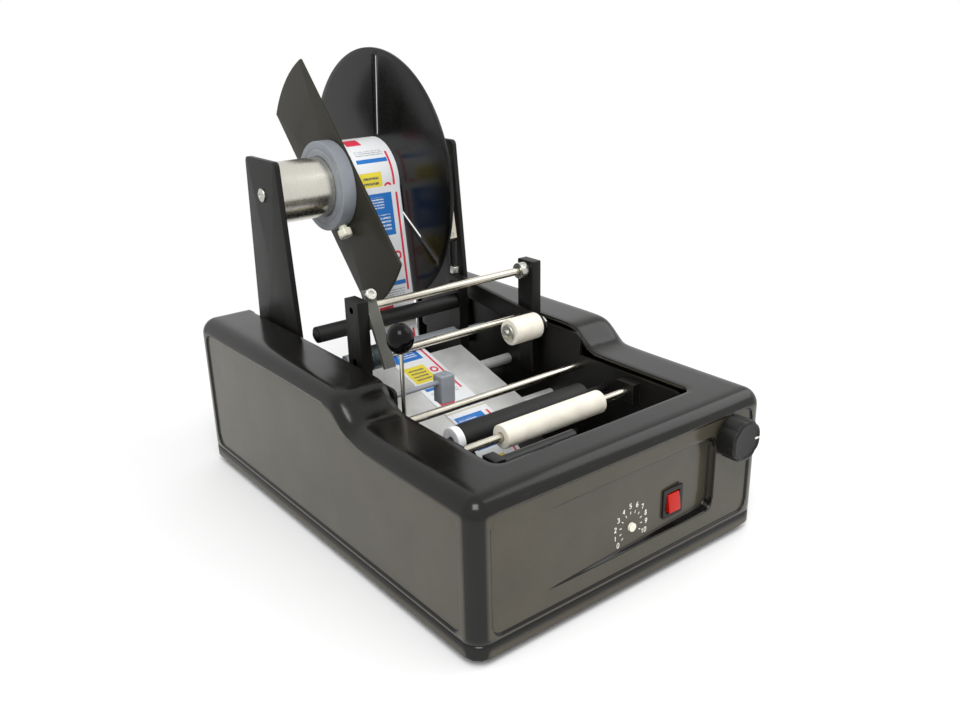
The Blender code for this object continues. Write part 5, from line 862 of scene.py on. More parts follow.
@dataclass
class Casing:
    """Thermoformed casing with two deck heights, pressed panels and the control pocket."""

    width: float = 350.0
    depth: float = 498.0
    wall: float = 4.0
    corner: float = 17.0
    low_deck: float = 140.0
    high_deck: float = 164.0
    slope_start: float = 178.0
    slope_end: float = 202.0
    well_left: float = 57.0
    well_front: float = 41.0
    well_end: float = 470.0
    well_corner: float = 12.0
    sill: float = 60.0
    lip: float = 1.7
    deck_bend: float = 0.3
    rim_steps: float = 6.0
    press_soft: float = 1.1
    panel_depth: float = 1.8
    panel_low: float = 17.0
    panel_corner: float = 10.0
    side_panel: Pair = (20.0, 478.0)
    front_panel: Pair = (18.0, 332.0)
    front_panel_top: float = 126.0
    rear_top: float = 149.0
    side_top: tuple[Pair, ...] = (
        (95, 122), (125, 124), (148, 125), (164, 127), (180, 131), (200, 141), (221, 151),
        (298, 151), (426, 149))
    pocket_x: Pair = (72.0, 283.0)
    pocket_z: Pair = (35.0, 109.0)
    pocket_depth: float = 9.0
    seam_z: float = 12.0
    seam_depth: float = 1.6
    seam_half: float = 0.9
    foot_inset: float = 35.0
    foot_low: float = -8.6

    def deck_z(self, y: Array) -> Array:
        """Height of the deck: two levels joined by a slope with soft bends."""
        run = (y - self.slope_start) / (self.slope_end - self.slope_start)
        bend = self.deck_bend
        ramp = (run + np.sqrt(run ** 2 + bend ** 2) - (run - 1)
                - np.sqrt((run - 1) ** 2 + bend ** 2)) / 2
        return self.low_deck + (self.high_deck - self.low_deck) * ramp

    def stations(self) -> dict[str, Array]:
        """Round the casing from its rear left end to its rear right end.

        outer and inner are points of the wall and of the well's edge, out the wall's normal,
        panel the distance inside the nearest panel end, top the panel's upper edge and front
        the place across the front, or a place left of the pocket elsewhere.

        Returns:
            Those rows by name.
        """
        far, reach = self.depth - self.corner, self.width - self.corner
        right = self.width - self.well_left
        fine = np.arange(-2, 11, 1.0)
        step = self.rim_steps
        stub = stations(self.corner, self.well_left, 5)[::-1]
        ends = np.array(self.side_panel)
        near = np.concatenate([-fine, [-1.5, -0.5, 0.5, 1.5]])
        side = stations(self.corner, far, step, (ends[1],), near)
        side = np.union1d(side, stations(self.corner, far, step, (ends[0],), -near))
        side = np.union1d(side, np.arange(166, 214, 2.0))[::-1]
        front = stations(self.corner, reach, step, self.front_panel[:1], -near)
        front = np.union1d(front, stations(self.corner, reach, step,
                                           (self.front_panel[1], self.pocket_x[1]), near))
        arc = np.linspace(0, TURN / 4, 15)[1:-1]
        top_y, top_z = zip(*self.side_top)
        rows = []

        def keep(outer: Array, out: Array | Pair, inner: Array | Pair, panel: Array | float,
                 top: Array | float, at: Array | float) -> None:
            """Store one run of stations."""
            count = len(outer)
            rows.append((outer, np.broadcast_to(out, (count, 2)),
                         np.broadcast_to(inner, (count, 2)), np.broadcast_to(panel, count),
                         np.broadcast_to(top, count), np.broadcast_to(at, count)))

        def keep_corner(centre: Pair, start: float, inner_centre: Pair | None) -> None:
            """Store a corner that turns by a quarter."""
            out = np.stack([np.cos(start + arc), np.sin(start + arc)], 1)
            inner = (np.array(inner_centre) + self.well_corner * out if inner_centre
                     else (self.well_left if centre[0] < right else right, self.well_end))
            top = self.front_panel_top if centre[1] < far else self.rear_top
            keep(np.array(centre) + self.corner * out, out, inner, OFF_PANEL, top, 0.0)

        def keep_side(places: Array, x: float, inner_x: float) -> None:
            """Store a side wall."""
            inset = self.well_front + self.well_corner
            share = (np.minimum(places, self.well_end) - self.corner) / (
                self.well_end - self.corner)
            inner = np.stack([np.full(len(places), inner_x),
                              inset + (self.well_end - inset) * share], 1)
            panel = np.minimum(places - ends[0], ends[1] - places)
            outer = np.stack([np.full(len(places), x), places], 1)
            keep(outer, (np.sign(x - 1), 0), inner, panel, np.interp(places, top_y, top_z), 0.0)

        keep(np.stack([stub, np.full(len(stub), self.depth)], 1), (0, 1),
             (self.well_left, self.well_end), OFF_PANEL, self.rear_top, 0.0)
        keep_corner((self.corner, far), TURN / 4, None)
        keep_side(side, 0.0, self.well_left)
        edge = self.well_left + self.well_corner
        keep_corner((self.corner, self.corner), TURN / 2,
                    (edge, self.well_front + self.well_corner))
        share = (front - self.corner) / (reach - self.corner)
        inner = np.stack([edge + (self.width - 2 * edge) * share,
                          np.full(len(front), self.well_front)], 1)
        panel = np.minimum(front - self.front_panel[0], self.front_panel[1] - front)
        keep(np.stack([front, np.zeros(len(front))], 1), (0, -1), inner, panel,
             self.front_panel_top, front)
        keep_corner((reach, self.corner), TURN * 3 / 4,
                    (self.width - edge, self.well_front + self.well_corner))
        keep_side(side[::-1], self.width, right)
        keep_corner((reach, far), 0.0, None)
        keep(np.stack([self.width - stub[::-1], np.full(len(stub), self.depth)], 1), (0, 1),
             (right, self.well_end), OFF_PANEL, self.rear_top, 0.0)
        names = ("outer", "out", "inner", "panel", "top", "front")
        return {name: np.concatenate([row[i] for row in rows]) for i, name in enumerate(names)}

    def round_corner(self, inside: Array) -> Array:
        """Rise of a panel's line by the distance x inside its end: r - sqrt(r^2 - (r - x)^2)."""
        radius = self.panel_corner
        inside = np.clip(inside, 0, radius)
        return radius - np.sqrt(radius ** 2 - (radius - inside) ** 2)

    def heights(self, ring: dict[str, Array], wall_top: Array) -> tuple[Array, list[Array]]:
        """Heights up the wall and over its shoulder.

        Args:
            ring: Stations round the casing.
            wall_top: Height at which the shoulder starts, by station.
        Returns:
            The heights as columns, and the four lines of the panel and the pocket.
        """
        rise = self.round_corner(ring["panel"])
        curl = np.where(ring["front"] > 0, self.round_corner(self.pocket_x[1] - ring["front"]), 0)
        levels = [self.panel_low + rise, self.pocket_z[0] + curl, self.pocket_z[1] - curl,
                  ring["top"] - rise]

        def run(z: Array) -> Array:
            """Distance up the wall and along the shoulder's arc to a height."""
            over = np.clip((z - wall_top) / self.corner, -1, 1)
            return np.where(over > 0, wall_top + self.corner * np.arcsin(over), z)

        marks = [run(level) for level in levels]
        end = wall_top + self.corner * TURN / 4
        zero = np.zeros_like(wall_top)
        columns = [zero, zero + 1.0] + [zero + self.seam_z + off for off in SEAM_ROWS]
        previous = zero + self.seam_z
        for mark, count in zip(marks + [end], ROWS_BETWEEN):
            room = mark - previous - 2 * ROW_MARGIN
            for k in range(1, count + 1):
                columns.append(previous + ROW_MARGIN + room * k / (count + 1))
            if mark is not end:
                columns += [mark + off for off in LINE_ROWS]
            previous = mark
        columns.append(end)
        lines = np.stack(columns, 1)
        return np.maximum.accumulate(lines, axis=1).clip(0, end[:, None]), marks

    def sunk(self, ring: dict[str, Array], lines: Array, marks: list[Array]) -> Array:
        """Depth of the pressed panels, the pocket and the seam at each point of the wall.

        The pocket deepens evenly from its left end to its right: a wedge. The seam is a groove
        of depth D exp(-((z - Z) / w)^2).

        Args:
            ring: Stations round the casing.
            lines: Heights by station.
            marks: The four lines of the panel and the pocket.
        Returns:
            Depths by station and height.
        """
        soft = self.press_soft
        low, pocket_low, pocket_top, top = (mark[:, None] for mark in marks)
        panel = smooth_step(ring["panel"] / soft)[:, None]
        depth = self.panel_depth * panel * smooth_step((lines - low) / soft) * smooth_step(
            (top - lines) / soft)
        at = ring["front"][:, None]
        share = np.clip((at - self.pocket_x[0]) / (self.pocket_x[1] - self.pocket_x[0]), 0, 1)
        side = smooth_step((self.pocket_x[1] - at) / soft)
        depth = depth + self.pocket_depth * share * side * smooth_step(
            (lines - pocket_low) / soft) * smooth_step((pocket_top - lines) / soft)
        groove = np.exp(-((lines - self.seam_z) / self.seam_half) ** 2)
        return depth + self.seam_depth * groove

    def skin(self, ring: dict[str, Array], lines: Array, depth: Array, wall_top: Array) -> Array:
        """Wall and shoulder: P = O - d N up to the shoulder, then C + (R - d)(N cos a + Z sin a).

        Args:
            ring: Stations round the casing.
            lines: Heights by station.
            depth: How far each point is set in.
            wall_top: Height at which the shoulder starts.
        Returns:
            Points by station and height.
        """
        out = ring["out"][:, None, :]
        over = np.clip(lines - wall_top[:, None], 0, None) / self.corner
        reach = (self.corner - depth) * np.cos(over)
        centre = ring["outer"][:, None, :] - self.corner * out
        flat = centre + reach[..., None] * out
        height = np.minimum(lines, wall_top[:, None]) + (self.corner - depth) * np.sin(over)
        return np.concatenate([flat, height[..., None]], -1)

    def deck(self, ring: dict[str, Array], drop: float, shares: Array, back: float) -> Array:
        """Deck from the shoulder to the well's edge.

        Args:
            ring: Stations round the casing.
            drop: Distance below the outer face.
            shares: Places on the way, from 0 to 1.
            back: Distance before the well's edge at which it ends.
        Returns:
            Points by station and place.
        """
        start = ring["outer"] - self.corner * ring["out"]
        way = ring["inner"] - start
        length = np.linalg.norm(way, axis=1, keepdims=True)
        flat = start[:, None] + way[:, None] * (shares[:, None] * (1 - back / length)[:, None])
        return np.concatenate([flat, self.deck_z(flat[..., 1:]) - drop], -1)

    def build_shell(self) -> None:
        """Outer skin, rounded lip and inner skin in one closed surface."""
        ring = self.stations()
        wall_top = self.deck_z(ring["outer"][:, 1]) - self.corner
        lines, marks = self.heights(ring, wall_top)
        depth = self.sunk(ring, lines, marks)
        outside = self.skin(ring, lines, depth, wall_top)
        inside = self.skin(ring, lines, depth + self.wall, wall_top)
        shares = np.linspace(0, 1, 8)[1:]
        over = self.deck(ring, 0.0, shares, self.lip)
        under = self.deck(ring, self.wall, shares, 0.6)
        turn = np.linspace(0, TURN / 4, 5)[1:]
        start = over[:, -1:]
        way = ring["inner"] - start[:, 0, :2]
        lip = np.concatenate([
            start[..., :2] + way[:, None] * np.sin(turn)[None, :, None],
            start[..., 2:] - self.lip * (1 - np.cos(turn))[None, :, None]], -1)
        foot = lip[:, -1:] * 1.0
        foot[..., 2] = under[:, -1:, 2] + 0.6
        loop = np.concatenate([outside, over, lip, foot, under[:, ::-1], inside[:, ::-1]], 1)
        sill = slab(rectangle(self.well_left - 2, self.width - self.well_left + 2, 0, self.sill,
                              1.0), -self.depth, self.wall - self.depth, Axis.FRONT, 0.8)
        piece("casing", "machine", BLACK_ABS, [Grid(loop, capped=True), sill],
              ("top_shell",), sharp=75)

    def build_feet(self) -> None:
        """Four tapered rubber feet with a shallow recess underneath."""
        names = ("front_left_foot", "rear_left_foot", "front_right_foot", "rear_right_foot")
        profile = [(0.6, 0), (0.6, 8.5), (0, 9.5), (0, 14), (1.2, 14), (5, 12), (5, 0)]
        for name, (right, back) in zip(names, ((0, 0), (0, 1), (1, 0), (1, 1))):
            x = self.width - self.foot_inset if right else self.foot_inset
            y = self.depth - self.foot_inset if back else self.foot_inset
            foot = turned(profile, (x, y, self.foot_low), Axis.Z, 48, 0.5)
            screw = turned([(4, 0), (4, 2), (11, 2), (11, 0)], (x, y, self.foot_low), Axis.Z, 24)
            piece(name + "_pad", "machine", GREY_RUBBER, [foot, screw], (name,))

    def build(self) -> None:
        """Casing, feet and base plate."""
        self.build_shell()
        self.build_feet()
        dress("base_plate", BLACK_COAT)


# Frame inside the casing
@dataclass
class Chassis:
    """Side plates, cross bars, reel uprights and posts.

    A rivet's reach is what it passes through behind the side plate.
    """

    plate_left: float = 58.0
    plate_right: float = 292.0
    plate: float = 3.0
    gap: float = 0.3
    upright: float = 6.0
    foot_front: float = 371.0
    foot_rear: float = 470.0
    top_front: float = 394.0
    top_rear: float = 461.0
    foot_z: float = 100.0
    top_z: float = 338.0
    post: float = 12.0
    post_y: float = 261.0
    post_depth: float = 24.0
    post_top: float = 225.0
    rivet_z: Pair = (112.0, 136.0)
    rivet_ahead: float = 16.8
    rivet_rear: float = 452.0
    upright_reach: float = 6.0
    post_reach: float = 9.0
    strap_stud: Triple = (266.2, 455.8, 254.0)

    @property
    def inner(self) -> float:
        """Place of the left pieces' outer face, inside the left side plate."""
        return self.plate_left + self.plate + self.gap

    @property
    def outer(self) -> float:
        """Place of the right pieces' outer face, inside the right side plate."""
        return self.plate_right - self.plate - self.gap

    def rivet(self, y: float, z: float, side: int, length: float) -> Grid:
        """Domed rivet outside a side plate: its head, and its shank up to what it holds.

        Args:
            y: Place along the machine.
            z: Height.
            side: 1 on the left plate and -1 on the right one.
            length: Reach of the shank.
        Returns:
            The surface.
        """
        start = self.plate_left if side > 0 else self.plate_right
        profile = [(0.1, 0), (0.5, 2.4), (1.6, 3.5), (2.8, 3.8), (2.8, 2), (2.8 + length, 2),
                   (2.8 + length, 0)]
        profile = [(side * along, radius) for along, radius in profile]
        return turned(profile, (start - side * (2.8 + self.gap), y, z), Axis.X, 24, 0.25)

    def build_uprights(self) -> None:
        """Tapered reel uprights with rounded tops and rims."""
        corners = [(self.foot_front, self.foot_z), (self.foot_rear, self.foot_z),
                   (self.top_rear, self.top_z), (self.top_front, self.top_z)]
        outline = soften(corners, 6.0, closed=True, steps=6)
        rows = (self.foot_front + self.rivet_ahead, self.rivet_rear)
        places = [(y, z) for z in self.rivet_z for y in rows]
        left = [slab(outline, self.inner, self.inner + self.upright, Axis.X, 0.7)]
        left += [self.rivet(y, z, 1, self.upright_reach) for y, z in places]
        right = [slab(outline, self.outer - self.upright, self.outer, Axis.X, 0.7)]
        right += [self.rivet(y, z, -1, self.upright_reach) for y, z in places]
        stud = [(0, 0), (0, 3), (15, 3), (15, 0)]
        right.append(turned(stud, self.strap_stud, Axis.X, 32, 0.5))
        piece("left_upright_plate", "machine", BLACK_COAT, left,
              ("left_upright",))
        piece("right_upright_plate", "machine", BLACK_COAT, right,
              ("right_upright",))

    def build_posts(self) -> None:
        """Square posts with rounded rims."""
        half = self.post_depth / 2
        outline = rectangle(self.post_y - half, self.post_y + half, self.foot_z, self.post_top,
                            1.0)
        left = [slab(outline, self.inner, self.inner + self.post, Axis.X, 0.6)]
        left += [self.rivet(self.post_y, z, 1, self.post_reach) for z in self.rivet_z]
        right = [slab(outline, self.outer - self.post, self.outer, Axis.X, 0.6)]
        right += [self.rivet(self.post_y, z, -1, self.post_reach) for z in self.rivet_z]
        piece("left_post_bar", "machine", BLACK_COAT, left, ("left_post",))
        piece("right_post_bar", "machine", BLACK_COAT, right, ("right_post",))

    def build(self) -> None:
        """Frame pieces, and the finishes of those carried over."""
        for node in ("chassis_plate_left", "chassis_plate_right", "idler_bracket"):
            dress(node, BLACK_COAT)
        for node in ("front_cross_bar", "bracket_cross_bar"):
            dress(node, ZINC, 0.6)
        self.build_uprights()
        self.build_posts()


# Reel
@dataclass
class Reel:
    """Spindle tube, hub, guide strip, label roll, disc and brake drum on their axle."""

    y: float = 428.0
    z: float = 301.0
    tube_x: Pair = (68.0, 262.4)
    tube_radius: float = 32.0
    hub_x: Pair = (130.0, 146.0)
    hub_radius: float = 48.0
    strip_x: Pair = (146.3, 149.3)
    strip_half: float = 47.0
    strip_tilt: float = math.radians(47.65)
    disc_x: Pair = (202.0, 205.0)
    disc_radius: float = 140.0
    slot_angles: tuple[float, ...] = (94.0, 214.0, 334.0)
    slot_from: float = 50.0
    slot_to: float = 131.0
    slot_half: float = 2.5
    roll_x: Pair = (150.3, 201.7)
    roll_radius: float = 46.0
    core_radius: float = 36.5
    drum_x: Pair = (262.7, 281.7)
    drum_radius: float = 30.0
    axle_x: Pair = (58.2, 291.8)
    thumb_angle: float = math.radians(236.5)
    thumb_flutes: int = 6
    thumb_neck: float = 20.0
    flute_share: float = 0.09

    @property
    def centre(self) -> Triple:
        """Point of the reel's axis at the casing's left side."""
        return (0.0, self.y, self.z)

    @property
    def bore(self) -> float:
        """Radius of what sits on the tube, with its play."""
        return self.tube_radius + 0.3

    def build_tube(self) -> None:
        """Brushed tube with its recessed bush."""
        low, high = self.tube_x
        radius = self.tube_radius
        profile = [(high, radius - 3), (high, radius), (low, radius), (low, radius - 3),
                   (low + 1, radius - 3), (low + 1, 6.3), (low + 12, 6.3), (low + 12, radius - 3)]
        piece("reel_tube", "reel", ALUMINIUM,
              [turned(profile, self.centre, Axis.X, 128, 0.6, ring=True)], ("spindle_tube",))

    def build_hub(self) -> None:
        """Grey hub with turned grooves on its face, and its thumb screw."""
        low, high = self.hub_x
        bore = self.bore
        profile = [(high, bore), (high, self.hub_radius), (low, self.hub_radius),
                   (low, bore + 9), (low + 0.6, bore + 8.4), (low + 0.6, bore + 6.6),
                   (low, bore + 6), (low, bore)]
        piece("reel_hub", "hub", GREY_PVC,
              [turned(profile, self.centre, Axis.X, 128, 0.8, ring=True)], ("core_hub",))
        way = (0, math.cos(self.thumb_angle), math.sin(self.thumb_angle))
        start = np.array(((low + high) / 2, self.y, self.z)) + np.array(way) * bore
        shank = [(0, 0), (0, 3), (16, 3), (16, 4.5), (19.8, 4.5), (20.2, 7.0)]
        head = shank + [(21.2, 8), (27.4, 8), (29, 6.5), (29, 0)]
        flutes = turned(head, start, way, 72, 0.5)
        reach = np.linalg.norm(flutes.points - start, axis=-1, keepdims=True)
        angle = np.linspace(0, TURN, 72, endpoint=False)[None, :, None]
        wave = 0.5 + 0.5 * np.cos(self.thumb_flutes * angle)
        pinch = 1 - self.flute_share * wave * (reach > self.thumb_neck)
        axis_point = start + ((flutes.points - start) @ np.array(way))[..., None] * np.array(way)
        flutes.points = axis_point + (flutes.points - axis_point) * pinch
        piece("hub_thumb_screw", "thumb_screw", CREAM_NYLON, [flutes],
              ("thumb_screw",))

    def build_strip(self) -> None:
        """Guide strip: the disc's rim and two straight sides, r(t) = min(R, w / |sin(t - k)|)."""
        kink = math.asin(self.strip_half / self.disc_radius)
        kinks = self.strip_tilt + np.array([kink, -kink, math.pi + kink, math.pi - kink])
        angle = np.unique(np.concatenate([np.linspace(0, TURN, 240, endpoint=False),
                                          np.mod(kinks, TURN)]))
        off = np.abs(np.sin(angle - self.strip_tilt))
        reach = np.minimum(self.disc_radius, self.strip_half / np.maximum(off, 1e-3))
        way = np.stack([np.cos(angle), np.sin(angle)], 1)
        middle = np.array((self.y, self.z))
        strip = frame_ring(middle + reach[:, None] * way, middle + self.bore * way,
                           *self.strip_x, Axis.X, 0.45)
        piece("guide_strip", "hub", HAZY_ACRYLIC, [strip],
              ("outer_guide_strip",))

    def build_disc(self) -> None:
        """Disc with radial slots, as sectors P(r, s) = r (cos t, sin t) whose sides part round
        each slot by asin(h(r) / r)."""
        ends = np.array([self.slot_from, self.slot_to])
        fine = self.slot_half * (1 - np.cos(np.linspace(0, TURN / 4, 6)))
        radii = np.concatenate([[self.bore, 40], ends[0] - self.slot_half + fine,
                                np.linspace(60, 120, 7), ends[1] + self.slot_half - fine,
                                [self.disc_radius]])
        radii = np.unique(radii)
        past = np.clip(np.maximum(ends[0] - radii, radii - ends[1]), 0, self.slot_half)
        half = np.sqrt(self.slot_half ** 2 - past ** 2)
        half[(radii < ends[0] - self.slot_half) | (radii > ends[1] + self.slot_half)] = 0
        part = np.arcsin(half / radii)
        grids = []
        starts = np.radians(self.slot_angles)
        for number, start in enumerate(starts):
            stop = starts[(number + 1) % len(starts)]
            sweep = np.mod(stop - start, TURN)
            share = np.linspace(0, 1, 49)
            angle = start + part[:, None] + (sweep - 2 * part)[:, None] * share
            flat = radii[:, None, None] * np.stack([np.cos(angle), np.sin(angle)], -1)
            points = np.concatenate([np.full((*angle.shape, 1), self.disc_x[0]),
                                     flat + (self.y, self.z)], -1)
            grids.append(Grid(points, loop_columns=False))
        disc = piece("flange_disc", "reel", CLEAR_ACRYLIC, grids,
                     ("inner_flange_disc",))
        work = bmesh.new()
        work.from_mesh(disc.data)
        if sum(face.normal.x for face in work.faces) > 0:
            bmesh.ops.reverse_faces(work, faces=work.faces)
        work.to_mesh(disc.data)
        work.free()
        thick = disc.modifiers.new("thickness", "SOLIDIFY")
        thick.thickness = (self.disc_x[1] - self.disc_x[0]) * MM
        thick.offset = -1
        rim = disc.modifiers.new("rounded rims", "BEVEL")
        rim.width = 0.5 * MM
        rim.segments = 2
        rim.angle_limit = math.radians(50)

    def build_roll(self) -> None:
        """Wound labels with print on the outside and paper edges at both ends, on a board core."""
        low, high = self.roll_x
        rows = np.linspace(low, high, 5)
        rows = np.concatenate([[low, low], rows, [high, high]])
        inner = self.core_radius + 0.05
        outer = self.roll_radius
        radius = np.array([inner, outer - 0.3, outer, outer, outer, outer, outer, outer - 0.3,
                           inner])
        angle = np.linspace(0, TURN, 145)
        way = np.stack([np.zeros_like(angle), np.cos(angle), np.sin(angle)], -1)
        points = (np.stack([rows, np.full(9, self.y), np.full(9, self.z)], -1)[:, None]
                  + radius[:, None, None] * way)
        plain = np.array([1, 1, 0, 0, 0, 0, 0, 1, 1.0])
        label = np.stack(np.broadcast_arrays((rows - low)[:, None] + 1.0,
                                             (70.0 - angle * outer)[None, :],
                                             plain[:, None]), -1)
        back = points[::-1].copy()
        back[..., 1:] = np.array((self.y, self.z)) + way[None, :, 1:] * inner
        shell = Grid(np.concatenate([points, back], 0), loop_rows=True, loop_columns=False,
                     label=np.concatenate([label, label[::-1] * (1, 1, 0) + (0, 0, 1)], 0))
        piece("wound_labels", "reel", LABELS, [shell], ("label_roll",))
        core = [(high, self.bore), (high, self.core_radius), (low, self.core_radius),
                (low, self.bore)]
        piece("roll_core", "reel", CARDBOARD,
              [turned(core, self.centre, Axis.X, 96, 0.2, ring=True)])

    def build_drum_and_axle(self) -> None:
        """Brake drum with its spigot, and the fixed axle with its domed ends."""
        low, high = self.drum_x
        radius = self.drum_radius
        drum = [(high, 6.3), (high, 22), (high - 1, 23), (high, 24), (high, radius),
                (low, radius), (low, 28.7), (low - 12, 28.7), (low - 12, 6.3)]
        piece("drum", "reel", ALUMINIUM,
              [turned(drum, self.centre, Axis.X, 96, 0.5, ring=True)], ("brake_drum",))
        low, high = self.axle_x
        axle = [(low + 0.9, 0), (low + 0.9, 1.8), (low, 2.0), (low, 3.8), (low + 1.4, 7.0),
                (low + 2.8, 7.4), (low + 2.8, 6), (high - 2.8, 6), (high - 2.8, 7.4),
                (high - 1.4, 7.0), (high, 3.8), (high, 0)]
        piece("axle", "machine", ZINC,
              [turned(axle, self.centre, Axis.X, 64, 0.3)], ("reel_axle",))

    def build(self) -> None:
        """All that turns with the reel."""
        self.build_tube()
        self.build_hub()
        self.build_strip()
        self.build_disc()
        self.build_roll()
        self.build_drum_and_axle()


# Brake, pressure arm and post rods
@dataclass
class Brake:
    """Strap over the drum and the spring that pulls it."""

    y: float = Reel.y
    z: float = Reel.z
    strap_x: Pair = (266.2, 278.2)
    inner: float = 30.3
    thickness: float = 1.0
    front_end: float = 228.0
    rear_end: float = 251.0
    spring_x: float = 272.2
    hook_y: float = 384.2
    spring_z: Pair = (195.0, 227.3)
    spring_radius: float = 4.2
    wire: float = 0.65
    turns: int = 14
    points_a_turn: int = 24
    hook_taper: float = 16.0

    def build(self) -> None:
        """Strap with its eyelet, then the spring.

        The spring is P(t) = C + r(t) (cos w, sin w) with w = 2 pi n t, whose radius r(t) narrows
        at both ends.
        """
        middle = self.inner + self.thickness / 2
        off = (self.hook_y - self.y, self.front_end - self.z)
        start = math.atan2(off[1], off[0]) + TURN - math.acos(middle / math.hypot(*off))
        arc = circle((self.y, self.z), middle, 49, start, -start)
        path = np.vstack([[(self.hook_y, self.front_end)], arc,
                          [(self.y + middle, self.rear_end)]])
        strap = band(path, self.thickness, *self.strap_x)
        at = (self.spring_x, self.hook_y + 1.8, self.front_end + 4.8)
        eyelet = turned([(0, 1.4), (0, 2.6), (2.0, 2.6), (2.0, 1.4)], at, Axis.FRONT, 32, 0.2,
                        ring=True)
        piece("strap", "machine", STRAP_WEAVE, [strap], ("brake_strap",))
        piece("strap_eyelet", "machine", ZINC, [eyelet])
        low, high = self.spring_z
        t = np.linspace(0, 1, self.turns * self.points_a_turn + 1)
        angle = TURN * self.turns * t
        near_end = np.minimum(t, 1 - t) * self.hook_taper
        radius = self.spring_radius * np.clip(near_end, 0.25, 1)
        coil = np.stack([self.spring_x + radius * np.cos(angle),
                         self.hook_y + radius * np.sin(angle),
                         low + self.wire + (high - low - 2 * self.wire) * t], 1)
        spring = mesh_of("tension_spring", [tube(coil, self.wire, 10)])
        spring.data.materials.append(material_of(DARK_STEEL))
        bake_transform(spring)
        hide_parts("brake_spring")


@dataclass
class PressureArm:
    """Arm with its cream roller, the bolt that carries it and the brake's anchor nut."""

    x: Pair = (270.4, 276.4)
    half_height: float = 10.0
    places: tuple[Pair, ...] = ((236.0, 160.0), (261.0, 163.0), (388.0, 176.7))
    roller_x: Pair = (233.1, 269.8)
    roller_radius: float = 14.0
    nut_place: Triple = (273.4, 384.2, 186.7)

    def build(self) -> None:
        """Arm, roller, bolt and nut."""
        discs = np.vstack([circle(place, self.half_height, 40) for place in self.places])
        piece("arm_bar", "pressure_arm", BLACK_COAT,
              [slab(hull(discs), *self.x, Axis.X, 0.8)], ("pressure_arm",))
        low, high = self.roller_x
        y, z = self.places[0]
        sleeve = [(high, 3.3), (high, self.roller_radius), (low, self.roller_radius), (low, 3.3)]
        piece("press_roller", "pressure_roller", CREAM_RUBBER,
              [turned(sleeve, (0, y, z), Axis.X, 96, 1.4, ring=True)], ("pressure_roller",))
        start = low - 0.3 - 3.0 - 2.8
        bolt = [(start, 0), (start, 2.6), (start + 1.0, 3.8), (start + 2.8, 4.1),
                (start + 2.8, 8.2), (start + 3.6, 9.0), (start + 5.8, 9.0), (start + 5.8, 3),
                (self.x[1] + 1.0, 3), (self.x[1] + 1.0, 0)]
        end = self.x[1] + 0.3
        locknut = [(end, 0), (end, 7), (end + 4.4, 7), (end + 5.2, 5.6), (end + 6.0, 5.0),
                   (end + 6.0, 0)]
        piece("roller_bolt", "pressure_arm", ZINC,
              [turned(bolt, (0, y, z), Axis.X, 64, 0.35),
               turned(locknut, (0, y, z), Axis.X, 48, 0.3, swell=hexagon)],
              ("pressure_roller_bolt",))
        nut = [(0, 0), (0, 5), (2.0, 5), (7, 5), (8, 3.6), (8, 0)]
        place = np.array(self.nut_place)
        piece("anchor_nut", "pressure_arm", ZINC,
              [turned(nut, place, Axis.Z, 48, 0.4, swell=hexagon)], ("brake_anchor_nut",))


@dataclass
class PostRods:
    """Two rods through the posts with their collar and knob, and the hanging stop arm."""

    y: float = Chassis.post_y
    top_z: float = 215.0
    pivot_z: float = 163.0
    x: Pair = (61.3, 288.7)
    radius: float = 4.0
    collar_x: Pair = (266.4, 276.4)
    knob_x: Pair = (73.6, 93.6)
    collar_screw: Triple = (0, -0.5, 0.86)
    arm_screw: Triple = (79.6, 256.74, 227.59)
    arm_screw_way: Triple = (0, -0.9011, 0.4337)

    def build(self) -> None:
        """Rods, collar, knob, arm and screw."""
        low, high = self.x
        rod = [(low, 0), (low, self.radius), (high, self.radius), (high, 0)]
        piece("upper_rod", "machine", ROD_STEEL,
              [turned(rod, (0, self.y, self.top_z), Axis.X, 48, 0.7)], ("top_guide_rod",))
        piece("lower_rod", "machine", ROD_STEEL,
              [turned(rod, (0, self.y, self.pivot_z), Axis.X, 48, 0.7)], ("arm_pivot_rod",))
        low, high = self.collar_x
        collar = [(high, 4.3), (high, 8.5), (low, 8.5), (low, 4.3)]
        middle = (low + high) / 2
        screw = [(7.2, 0), (7.2, 1.3), (9.0, 1.3), (9.0, 2.2), (6, 2.2), (6, 0)]
        piece("upper_rod_collar", "machine", ZINC,
              [turned(collar, (0, self.y, self.top_z), Axis.X, 64, 0.7, ring=True),
               turned(screw, (middle, self.y, self.top_z), self.collar_screw, 24, 0.2)],
              ("rod_collar",))
        low, high = self.knob_x
        knob = [(high, 4.3), (high, 9.8), (high - 1.4, 12), (low + 2.4, 12), (low, 9.7),
                (low, 4.3)]
        piece("rod_knob", "machine", GREEN_BLACK,
              [turned(knob, (0, self.y, self.pivot_z), Axis.X, 80, 0.8, ring=True)],
              ("pivot_knob",))
        dress("stop_arm", GREY_COAT, 0.5)
        socket = [(3.0, 0), (3.0, 2.6), (5, 2.9), (5, 4.9), (4.4, 5.5), (0.3, 5.5), (0, 5.2),
                  (0, 2), (-4, 2), (-4, 0)]
        piece("stop_arm_bolt", "stop_arm", ZINC,
              [turned(socket, self.arm_screw, self.arm_screw_way, 48, 0.3)],
              ("stop_arm_screw",))


